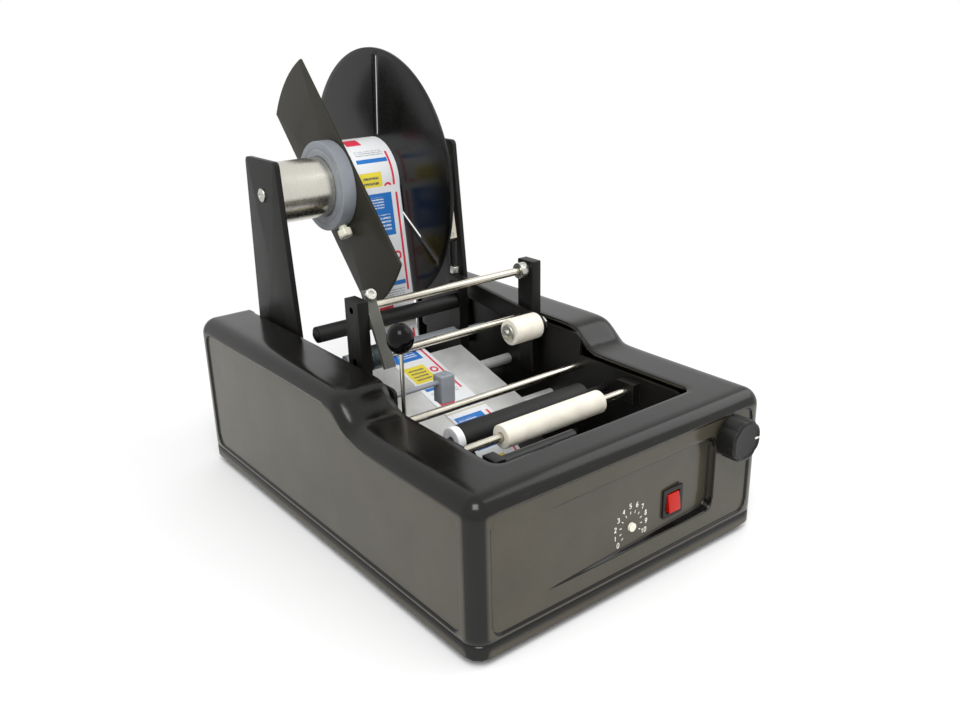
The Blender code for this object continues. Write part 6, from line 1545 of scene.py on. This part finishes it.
# Web, rollers and lever
@dataclass
class WebPath:
    """Rear idler, label web, its guide roller and bed, and the sensor.

    Places are of Y and Z. play is the gap between the web and what it lies on.
    """

    x: Pair = (150.3, 200.7)
    roll_line: float = 381.4
    roll_z: float = Reel.z
    idler: Pair = (354.0, 164.0)
    idler_radius: float = 8.7
    idler_x: Pair = (71.0, 249.0)
    guide: Pair = (350.0, 127.69)
    guide_radius: float = 7.0
    slope: float = math.radians(16.2)
    bed_rear: Pair = (338.0, 116.0)
    bed_front: float = 207.0
    pull: Pair = (192.0, 44.0)
    pull_radius: float = 15.0
    web: float = 0.6
    play: float = 0.3
    web_end: float = 16.0
    idler_end: float = 263.0
    idler_head: float = 266.0
    sensor_x: Pair = (113.0, 129.0)
    sensor_rod: Pair = (199.0, 147.0)

    def path(self) -> Array:
        """Middle line of the web from the roll to below the pull roller."""
        rise = self.play + self.web / 2
        around = circle(self.idler, self.idler_radius + rise, 5, math.radians(6),
                        math.radians(-14))
        under = circle(self.guide, self.guide_radius + rise, 14, math.radians(5),
                       math.radians(-95) + self.slope)
        top = self.bed_rear[1] + (self.bed_front - self.bed_rear[0]) * math.tan(self.slope)
        bed = np.linspace((self.bed_rear[0], self.bed_rear[1] + rise),
                          (self.bed_front, top + rise), 20)
        tip = [(self.bed_front - rise - 0.8, top - rise)]
        wrap = circle(self.pull, self.pull_radius + rise, 10, math.radians(120),
                      math.radians(60))
        end = [(self.pull[0] - self.pull_radius - rise, self.web_end)]
        drop = np.linspace((self.roll_line, self.roll_z), around[0], 24)[:-1]
        return np.vstack([drop, around, under, bed, tip, wrap, end])

    def build(self) -> None:
        """Web, rollers, bed and sensor."""
        piece("web", "machine", LABELS,
              [band(self.path(), self.web, *self.x, printed=True)], ("label_web",))
        low, high = self.idler_x
        start = low - 2.8
        radius = self.idler_radius
        roller = [(start, 0), (start, 3.0), (start + 1.4, 6.1), (low, 6.1), (low, radius),
                  (high, radius), (high, 3), (self.idler_end, 3), (self.idler_end, 7),
                  (self.idler_head, 7), (self.idler_head, 0)]
        piece("idler", "rear_idler", BLACK_RUBBER,
              [turned(roller, (0, *self.idler), Axis.X, 64, 0.4)], ("rear_idler_roller",))
        dress("lower_guide_roller", GREY_PVC)
        dress("web_bed", SHEET_STEEL)
        body = slab(rectangle(192, 206, 126, 154, 1.4), *self.sensor_x, Axis.X, 1.2)
        stem = turned([(57.7, 0), (57.7, 2.5), (115, 2.5), (115, 0)], (0, *self.sensor_rod),
                      Axis.X, 32, 0.4)
        middle = sum(self.sensor_x) / 2
        window = turned([(0, 0), (0, 3.2), (0.7, 3.2), (0.7, 2.2), (0.3, 2.0), (0.3, 0)],
                        (middle, self.sensor_rod[0], 154.0), Axis.Z, 32, 0.2)
        piece("web_sensor", "machine", GREY_PVC, [body, stem, window],
              ("label_sensor",))


@dataclass
class Rollers:
    """Rollers that carry the bottle and pull the liner, with their shafts and pulleys."""

    shaft: Pair = (57.5, 292.5)
    shaft_radius: float = 4.0
    drive: Pair = (113.0, 119.0)
    drive_x: Pair = (120.0, 243.0)
    drive_radius: float = 11.5
    rest: Pair = (150.0, 110.0)
    rest_x: Pair = (100.0, 255.0)
    rest_radius: float = 13.0
    ring_x: Pair = (91.7, 99.7)
    pull: Pair = WebPath.pull
    pull_x: Pair = (120.0, 235.0)
    pull_radius: float = WebPath.pull_radius
    pinch: Pair = (165.8, 44.0)
    pinch_radius: float = 10.0
    pulley_x: Pair = (293.0, 302.0)
    pulley_radius: float = 9.0
    pulley_lip: float = 1.4
    bore: float = 4.3

    def pulley(self) -> list[Pair]:
        """Profile of a belt pulley from its outer face to the shaft."""
        near, far = self.pulley_x
        rim = self.pulley_radius + self.pulley_lip
        lip = self.pulley_lip
        return [(far, 0), (far, rim), (far - lip, rim), (far - lip, self.pulley_radius),
                (near + lip, self.pulley_radius), (near + lip, rim), (near, rim),
                (near, self.shaft_radius)]

    def roller(self, place: Pair, ends: Pair, radius: float, pulley: bool) -> Grid:
        """Roller in one piece with its journals.

        Args:
            place: Y and Z of its axis.
            ends: Left and right end of its face.
            radius: Of its face.
            pulley: True if it carries a belt pulley on the right.
        Returns:
            The surface.
        """
        low, high = self.shaft
        start = self.pulley() if pulley else [(high, 0), (high, self.shaft_radius)]
        profile = start + [(ends[1], self.shaft_radius), (ends[1], radius), (ends[0], radius),
                           (ends[0], self.shaft_radius), (low, self.shaft_radius), (low, 0)]
        return turned(profile, (0, *place), Axis.X, 72, 0.6)

    def build(self) -> None:
        """Driven and free rollers."""
        low, high = self.drive_x
        sleeve = [(high, self.bore), (high, self.drive_radius), (low, self.drive_radius),
                  (low, self.bore)]
        piece("drive_sleeve", "drive_roller", CREAM_RUBBER,
              [turned(sleeve, (0, *self.drive), Axis.X, 96, 1.2, ring=True)],
              ("drive_roller",))
        profile = self.pulley() + [(self.shaft[0], self.shaft_radius), (self.shaft[0], 0)]
        piece("drive_axle", "drive_roller", ROD_STEEL,
              [turned(profile, (0, *self.drive), Axis.X, 48, 0.5)], ("drive_shaft",))
        piece("rest_roller_body", "rest_roller", BLACK_RUBBER,
              [self.roller(self.rest, self.rest_x, self.rest_radius, False)], ("rest_roller",))
        low, high = self.ring_x
        collar = [(high, self.bore), (high, self.rest_radius), (low, self.rest_radius),
                  (low, self.bore)]
        piece("rest_roller_ring", "rest_roller", WHITE_NYLON,
              [turned(collar, (0, *self.rest), Axis.X, 72, 0.8, ring=True)], ("nylon_ring",))
        piece("pull_roller_body", "pull_roller", BLACK_RUBBER,
              [self.roller(self.pull, self.pull_x, self.pull_radius, True)],
              ("liner_pull_roller",))
        piece("pinch_roller_body", "pinch_roller", GREY_PVC,
              [self.roller(self.pinch, self.pull_x, self.pinch_radius, False)],
              ("pinch_roller",))


@dataclass
class Lever:
    """Cross shaft with its upright lever and ball, and the front guide bar."""

    y: float = 186.0
    z: float = 124.0
    x: float = 66.0
    shaft: Pair = Rollers.shaft
    ball_z: float = 206.0
    ball: float = 12.5
    ball_share: float = 1.15
    neck_share: float = 0.965

    def build(self) -> None:
        """Shaft, stem, ball and bar. The ball is (r cos t, k r sin t), cut flat at its neck."""
        low, high = self.shaft
        shaft = turned([(low, 0), (low, 4), (high, 4), (high, 0)], (0, self.y, self.z), Axis.X,
                       48, 0.5)
        stem = turned([(0, 0), (0, 2), (self.ball_z - self.z, 2), (self.ball_z - self.z, 0)],
                      (self.x, self.y, self.z), Axis.Z, 32, 0.1)
        piece("lever_rod", "lever", ROD_STEEL, [shaft, stem], ("lever_shaft",))
        angle = np.linspace(-TURN / 4, TURN / 4, 40)
        height = self.ball * self.ball_share * np.sin(angle)
        radius = self.ball * np.cos(angle)
        neck = -self.ball * self.ball_share * self.neck_share
        profile = np.stack([np.maximum(height, neck), radius], 1)
        profile[0] = (neck, 0)
        piece("lever_knob", "lever", PHENOLIC,
              [turned(profile, (self.x, self.y, self.ball_z), Axis.Z, 72, 0.0)],
              ("lever_ball",))
        bar = turned([(61.3, 0), (61.3, 6), (176, 6), (176, 0)], (0, 78.0, 116.0), Axis.X, 48,
                     0.8)
        block = slab(rectangle(69, 87, 107, 125, 1.5), 78, 90, Axis.X, 0.8)
        piece("guide_bar", "machine", DARK_STEEL, [bar, block],
              ("front_guide_bar",))


@dataclass
class Drive:
    """Motor, pulley, belt, board and the controls' bodies, hidden under the deck."""

    carried: tuple[tuple[str, Finish, float], ...] = (
        ("gear_motor", ALUMINIUM, 0.8), ("motor_pulley", ALUMINIUM, 0.3),
        ("timing_belt", BLACK_RUBBER, 0.2), ("control_board", BOARD_GREEN, 0.3),
        ("timer_body", ZINC, 0.3), ("speed_control_body", ZINC, 0.3),
        ("power_inlet", KNOB_BLACK, 0.4))

    def build(self) -> None:
        """Finishes and rims of the pieces carried over."""
        for node, finish, rim_mm in self.carried:
            dress(node, finish, rim_mm)


# Controls
# Strokes of each digit in a box one wide and one high.
DIGITS = {
    "0": [[(0, 0.2), (0, 0.8), (0.25, 1), (0.75, 1), (1, 0.8), (1, 0.2), (0.75, 0), (0.25, 0),
           (0, 0.2)]],
    "1": [[(0.2, 0.8), (0.55, 1), (0.55, 0)]],
    "2": [[(0, 0.8), (0.25, 1), (0.75, 1), (1, 0.75), (0, 0), (1, 0)]],
    "3": [[(0, 0.9), (0.3, 1), (0.9, 0.9), (0.9, 0.6), (0.4, 0.52), (0.95, 0.42), (0.95, 0.1),
           (0.3, 0), (0, 0.1)]],
    "4": [[(0.75, 0), (0.75, 1), (0, 0.3), (1, 0.3)]],
    "5": [[(0.95, 1), (0.1, 1), (0.05, 0.55), (0.7, 0.6), (1, 0.4), (0.9, 0.1), (0.4, 0),
           (0, 0.1)]],
    "6": [[(0.9, 1), (0.3, 0.8), (0, 0.35), (0.2, 0), (0.8, 0), (1, 0.3), (0.75, 0.55),
           (0.1, 0.45)]],
    "7": [[(0, 1), (1, 1), (0.4, 0)]],
    "8": [[(0.5, 0.53), (0.1, 0.75), (0.3, 1), (0.7, 1), (0.9, 0.75), (0.5, 0.53), (0, 0.27),
           (0.25, 0), (0.75, 0), (1, 0.27), (0.5, 0.53)]],
    "9": [[(0.1, 0), (0.7, 0.2), (1, 0.65), (0.8, 1), (0.2, 1), (0, 0.7), (0.25, 0.45),
           (0.9, 0.55)]],
}


@dataclass
class Controls:
    """Rocker switch, timer dial with its plain numbers, and the speed knob."""

    rocker: Pair = (232.5, 58.5)
    rocker_half: Pair = (13.0, 14.5)
    rocker_hole: Pair = (8.6, 10.1)
    rocker_front: float = 5.99
    timer: Pair = (178.0, 53.5)
    timer_radius: float = 4.0
    dial_radius: float = 20.5
    tick_from: float = 12.5
    tick_to: float = 15.0
    digit: Pair = (2.5, 4.4)
    pen: float = 0.8
    proud: float = 0.12
    first_angle: float = 218.0
    last_angle: float = -31.0
    speed: Pair = (300.0, 106.0)
    knob_radius: float = 20.5
    knob_y: Pair = (-20.2, -1.2)
    lobes: int = 8
    flute_share: float = 0.055
    pointer_half: float = 0.9
    shaft_proud: float = 3.0
    paddle_half: Pair = (7.5, 9.0)

    def pocket_y(self, x: Array | float) -> Array | float:
        """Depth of the pocket's floor: it grows evenly across the front."""
        low, high = Casing.pocket_x
        return Casing.panel_depth + Casing.pocket_depth * (x - low) / (high - low)

    def stroke(self, line: Array) -> Grid:
        """Printed line on the pocket's floor, a hair proud of it."""
        ahead = np.gradient(line, axis=0)
        ahead /= np.maximum(np.linalg.norm(ahead, axis=1, keepdims=True), 1e-9)
        normal = np.stack([-ahead[:, 1], ahead[:, 0]], 1) * self.pen / 2
        flat = np.stack([line + normal, line - normal, line - normal, line + normal], 1)
        lift = np.array([self.proud, self.proud, -0.1, -0.1])
        depth = self.pocket_y(flat[..., 0]) - lift
        return Grid(np.stack([flat[..., 0], depth, flat[..., 1]], -1), capped=True)

    def build_dial(self) -> None:
        """Ticks and the numbers 0 to 10 round the timer's shaft."""
        grids = []
        angles = np.radians(np.linspace(self.first_angle, self.last_angle, 11))
        middle = np.array(self.timer)
        wide, high = self.digit
        for number, angle in enumerate(angles):
            way = np.array((math.cos(angle), math.sin(angle)))
            ends = [middle + way * self.tick_from, middle + way * self.tick_to]
            grids.append(self.stroke(np.linspace(*ends, 3)))
            text = str(number)
            corner = middle + way * self.dial_radius
            corner = corner - (wide * (0.75 * len(text) - 0.25), high / 2)
            for place, sign in enumerate(text):
                start = corner + (place * wide * 1.5, 0)
                for line in DIGITS[sign]:
                    points = start + np.array(line) * (wide, high)
                    grids.append(self.stroke(soften(points, 0.3)))
        piece("dial_print", "machine", WHITE_INK, grids)

    def build_timer(self) -> None:
        """Bare timer shaft with a screwdriver slot's dimple."""
        x, z = self.timer
        front = self.pocket_y(x) - self.shaft_proud
        radius = self.timer_radius
        profile = [(-front - 0.8, 0), (-front - 0.8, 0.9), (-front, 1.3), (-front, radius),
                   (-28.3, radius), (-28.3, 0)]
        piece("timer_stem", "timer", CREAM_NYLON,
              [turned(profile, (x, 0, z), Axis.FRONT, 48, 0.5)], ("timer_shaft",))

    def build_rocker(self) -> None:
        """Dark bezel with its body, and the red rocker with a hollow upper half."""
        x, z = self.rocker
        wide, high = self.rocker_half
        outer = rectangle(x - wide, x + wide, z - high, z + high, 2.0)
        inner = rectangle(x - self.rocker_hole[0], x + self.rocker_hole[0],
                          z - self.rocker_hole[1], z + self.rocker_hole[1], 1.0)
        front = self.rocker_front
        bezel = frame_ring(outer, inner, -front - 1.8, -front, Axis.FRONT, 0.7)
        outer = rectangle(x - 10, x + 10, z - 11.5, z + 11.5, 1.0)
        body = frame_ring(outer, inner, -38.0, -front - 1.0, Axis.FRONT, 0.3)
        piece("switch_bezel", "machine", KNOB_BLACK, [bezel, body],
              ("rocker_bezel",))
        half, reach = self.paddle_half
        proud = front - 3.0
        t = np.linspace(-1, 1, 25)
        face = np.stack([proud + 1.9 * (t + 1) ** 1.5 / 2, z + reach * t * 0.96], 1)
        top = [(front + 7.8, z + reach * 0.7), (front + 1.8, z + reach)]
        foot = [(front + 1.8, z - reach), (front + 7.8, z - reach * 0.7)]
        outline = np.vstack([top, face[::-1], foot])
        pin = turned([(-9.4, 0), (-9.4, 1.2), (9.4, 1.2), (9.4, 0)], (x, front + 4.8, z), Axis.X,
                     24, 0.2)
        piece("switch_rocker", "rocker", RED_PLASTIC,
              [slab(outline, x - half, x + half, Axis.X, 0.6), pin], ("rocker_paddle",))

    def build_knob(self) -> None:
        """Fluted knob with a dished face and a white pointer mark, on its collar.

        Its radius is k(t) r(s) with k = 1 - c (1 - |sin(n t / 2)|)^1.5, fading out on the face.
        """
        x, z = self.speed
        front, rear = self.knob_y
        radius = self.knob_radius
        profile = [(-front - 0.9, 0), (-front - 0.9, radius - 5.5), (-front, radius - 4.5),
                   (-front, radius - 2.6), (-front - 1.6, radius - 0.4), (-front - 6, radius),
                   (-rear, radius), (-rear, 10), (-1.5, 10), (-1.5, 4), (-16.3, 4), (-16.3, 0)]
        line = soften(profile, 0.7, steps=4)
        angle = np.linspace(0, TURN, 192, endpoint=False)
        dip = (1 - np.abs(np.sin(self.lobes * angle / 2))) ** 1.5
        flute = 1 - self.flute_share * dip
        share = np.clip((line[:, 1] - 11) / 6, 0, 1)[:, None]
        reach = line[:, 1:] * (1 + (flute - 1) * share)
        ways = Axis.FRONT.ways
        round_way = np.cos(angle)[:, None] * ways[1] + np.sin(angle)[:, None] * ways[2]
        points = (np.array((x, 0, z)) + line[:, :1, None] * ways[0]
                  + reach[..., None] * round_way[None])
        piece("knob", "speed", KNOB_BLACK, [Grid(points)], ("speed_knob",))
        low, high = z - self.pointer_half, z + self.pointer_half
        pointer = slab(rectangle(x + radius - 9, x + radius - 2.4, low, high, 0.3),
                       -front - 1.2, -front, Axis.FRONT, 0.1)
        side = slab(rectangle(-front - 14, -front - 1.4, low, high, 0.3), 0, 1, Axis.X, 0.1)
        side.points = side.points * (1, -1, 1) + (x + radius - 0.75, 0, 0)
        piece("knob_pointer", "speed", WHITE_INK, [pointer, side])

    def build(self) -> None:
        """All front controls."""
        self.build_rocker()
        self.build_timer()
        self.build_dial()
        self.build_knob()


# Studio
def seen_plainly(tree: Tree) -> Socket:
    """1 for rays from the camera, off gloss or through glass, which see the white background."""
    path = add(tree, "LightPath")
    seen = combine(tree, "MAXIMUM", path.outputs["Is Camera Ray"],
                   path.outputs["Is Transmission Ray"])
    return combine(tree, "MAXIMUM", seen, path.outputs["Is Glossy Ray"])


@dataclass(frozen=True)
class Lamp:
    """Square area light: its place and size in metres, and its power in watts."""

    name: str
    place: Triple
    size: float
    power: float

    def build(self, target: Vector) -> None:
        """Make the light, facing the target."""
        lamp = bpy.data.lights.new(self.name, "AREA")
        lamp.size = self.size
        lamp.energy = self.power
        made = bpy.data.objects.new(self.name, lamp)
        bpy.context.scene.collection.objects.link(made)
        made.location = self.place
        aim = Vector(self.place) - target
        made.rotation_mode = "QUATERNION"
        made.rotation_quaternion = aim.to_track_quat("Z", "Y")


@dataclass
class Studio:
    """White floor, soft light and the photo's camera, in metres and radians."""

    eye: Triple = (-0.5343, -0.7533, 0.4930)
    azimuth: float = math.radians(-37.70)
    elevation: float = math.radians(20.90)
    roll: float = math.radians(-1.34)
    focal_px: float = 939.5
    width_px: float = 960.0
    sensor_mm: float = 36.0
    floor_size: float = 12.0
    floor_rows: int = 13
    floor_grey: float = 0.92
    fade: Pair = (0.5, 1.0)
    world_strength: float = 0.85
    target: Triple = (0, 0, 0.15)
    lamps: tuple[Lamp, ...] = (Lamp("key", (-0.9, -1.1, 1.9), 1.0, 26.0),
                               Lamp("fill", (1.4, -0.6, 1.4), 1.2, 9.0))

    def build_camera(self) -> None:
        """Camera at the photo's place, turned by azimuth, elevation and roll."""
        made = bpy.data.cameras.new("photo_camera")
        made.sensor_width = self.sensor_mm
        made.lens = self.focal_px / self.width_px * self.sensor_mm
        made.clip_start = 0.01
        camera = bpy.data.objects.new("photo_camera", made)
        bpy.context.scene.collection.objects.link(camera)
        level = math.cos(self.elevation)
        back = Vector((math.sin(self.azimuth) * level, -math.cos(self.azimuth) * level,
                       math.sin(self.elevation)))
        camera.rotation_mode = "QUATERNION"
        camera.rotation_quaternion = back.to_track_quat("Z", "Y") @ Quaternion(
            (0, 0, 1), self.roll)
        camera.location = self.eye
        bpy.context.scene.camera = camera

    def build_floor(self) -> None:
        """Pale floor that fades into the white behind it."""
        size = self.floor_size / 2
        rows = np.linspace(-size, size, self.floor_rows)
        x, y = np.meshgrid(rows, rows)
        mesh = bpy.data.meshes.new("studio_floor")
        count = len(rows)
        index = np.arange(count * count).reshape(count, count)
        quads = np.stack([index[:-1, :-1], index[:-1, 1:], index[1:, 1:], index[1:, :-1]], -1)
        mesh.from_pydata(np.stack([x, y, x * 0], -1).reshape(-1, 3).tolist(), [],
                         quads.reshape(-1, 4).tolist())
        floor = bpy.data.objects.new("studio_floor", mesh)
        bpy.context.scene.collection.objects.link(floor)
        paint = bpy.data.materials.new("studio_floor_white")
        paint.use_nodes = True
        shader = paint.node_tree.nodes["Principled BSDF"]
        shader.inputs["Base Color"].default_value = (*[self.floor_grey] * 3, 1.0)
        shader.inputs["Roughness"].default_value = 0.9
        shader.inputs["Specular IOR Level"].default_value = 0.1
        tree = paint.node_tree
        where = add(tree, "TexCoord").outputs["Object"]
        far = add(tree, "VectorMath", {0: where}, operation="LENGTH").outputs[1]
        share = combine(tree, "MULTIPLY", spread(tree, far, *self.fade), seen_plainly(tree))
        glow = add(tree, "Emission", {"Color": (1, 1, 1, 1), "Strength": 1.0})
        both = add(tree, "MixShader", {0: share, 1: shader.outputs[0], 2: glow.outputs[0]})
        tree.links.new(both.outputs[0], tree.nodes["Material Output"].inputs["Surface"])
        mesh.materials.append(paint)

    def build_lights(self) -> None:
        """White surround, a large soft light from the upper front left and a weaker one."""
        world = bpy.data.worlds.new("white_studio")
        bpy.context.scene.world = world
        world.use_nodes = True
        tree = world.node_tree
        tree.nodes.clear()
        seen = seen_plainly(tree)
        shade = add(tree, "Background", {"Color": (1, 1, 1, 1),
                                         "Strength": self.world_strength})
        plain = add(tree, "Background", {"Color": (1, 1, 1, 1), "Strength": 1.0})
        both = add(tree, "MixShader", {0: seen, 1: shade.outputs[0], 2: plain.outputs[0]})
        add(tree, "OutputWorld", {"Surface": both.outputs[0]})
        for lamp in self.lamps:
            lamp.build(Vector(self.target))

    def build(self) -> None:
        """Camera, floor and lights."""
        self.build_camera()
        self.build_floor()
        self.build_lights()
        bpy.context.scene.view_settings.view_transform = "Standard"


def main() -> None:
    """Build every sub-assembly in order, then the studio."""
    for assembly in (Casing(), Chassis(), Reel(), Brake(), PressureArm(), PostRods(), WebPath(),
                     Rollers(), Lever(), Drive(), Controls()):
        LOG.info("building %s", type(assembly).__name__)
        assembly.build()
    Studio().build()


if __name__ == "__main__":
    main()
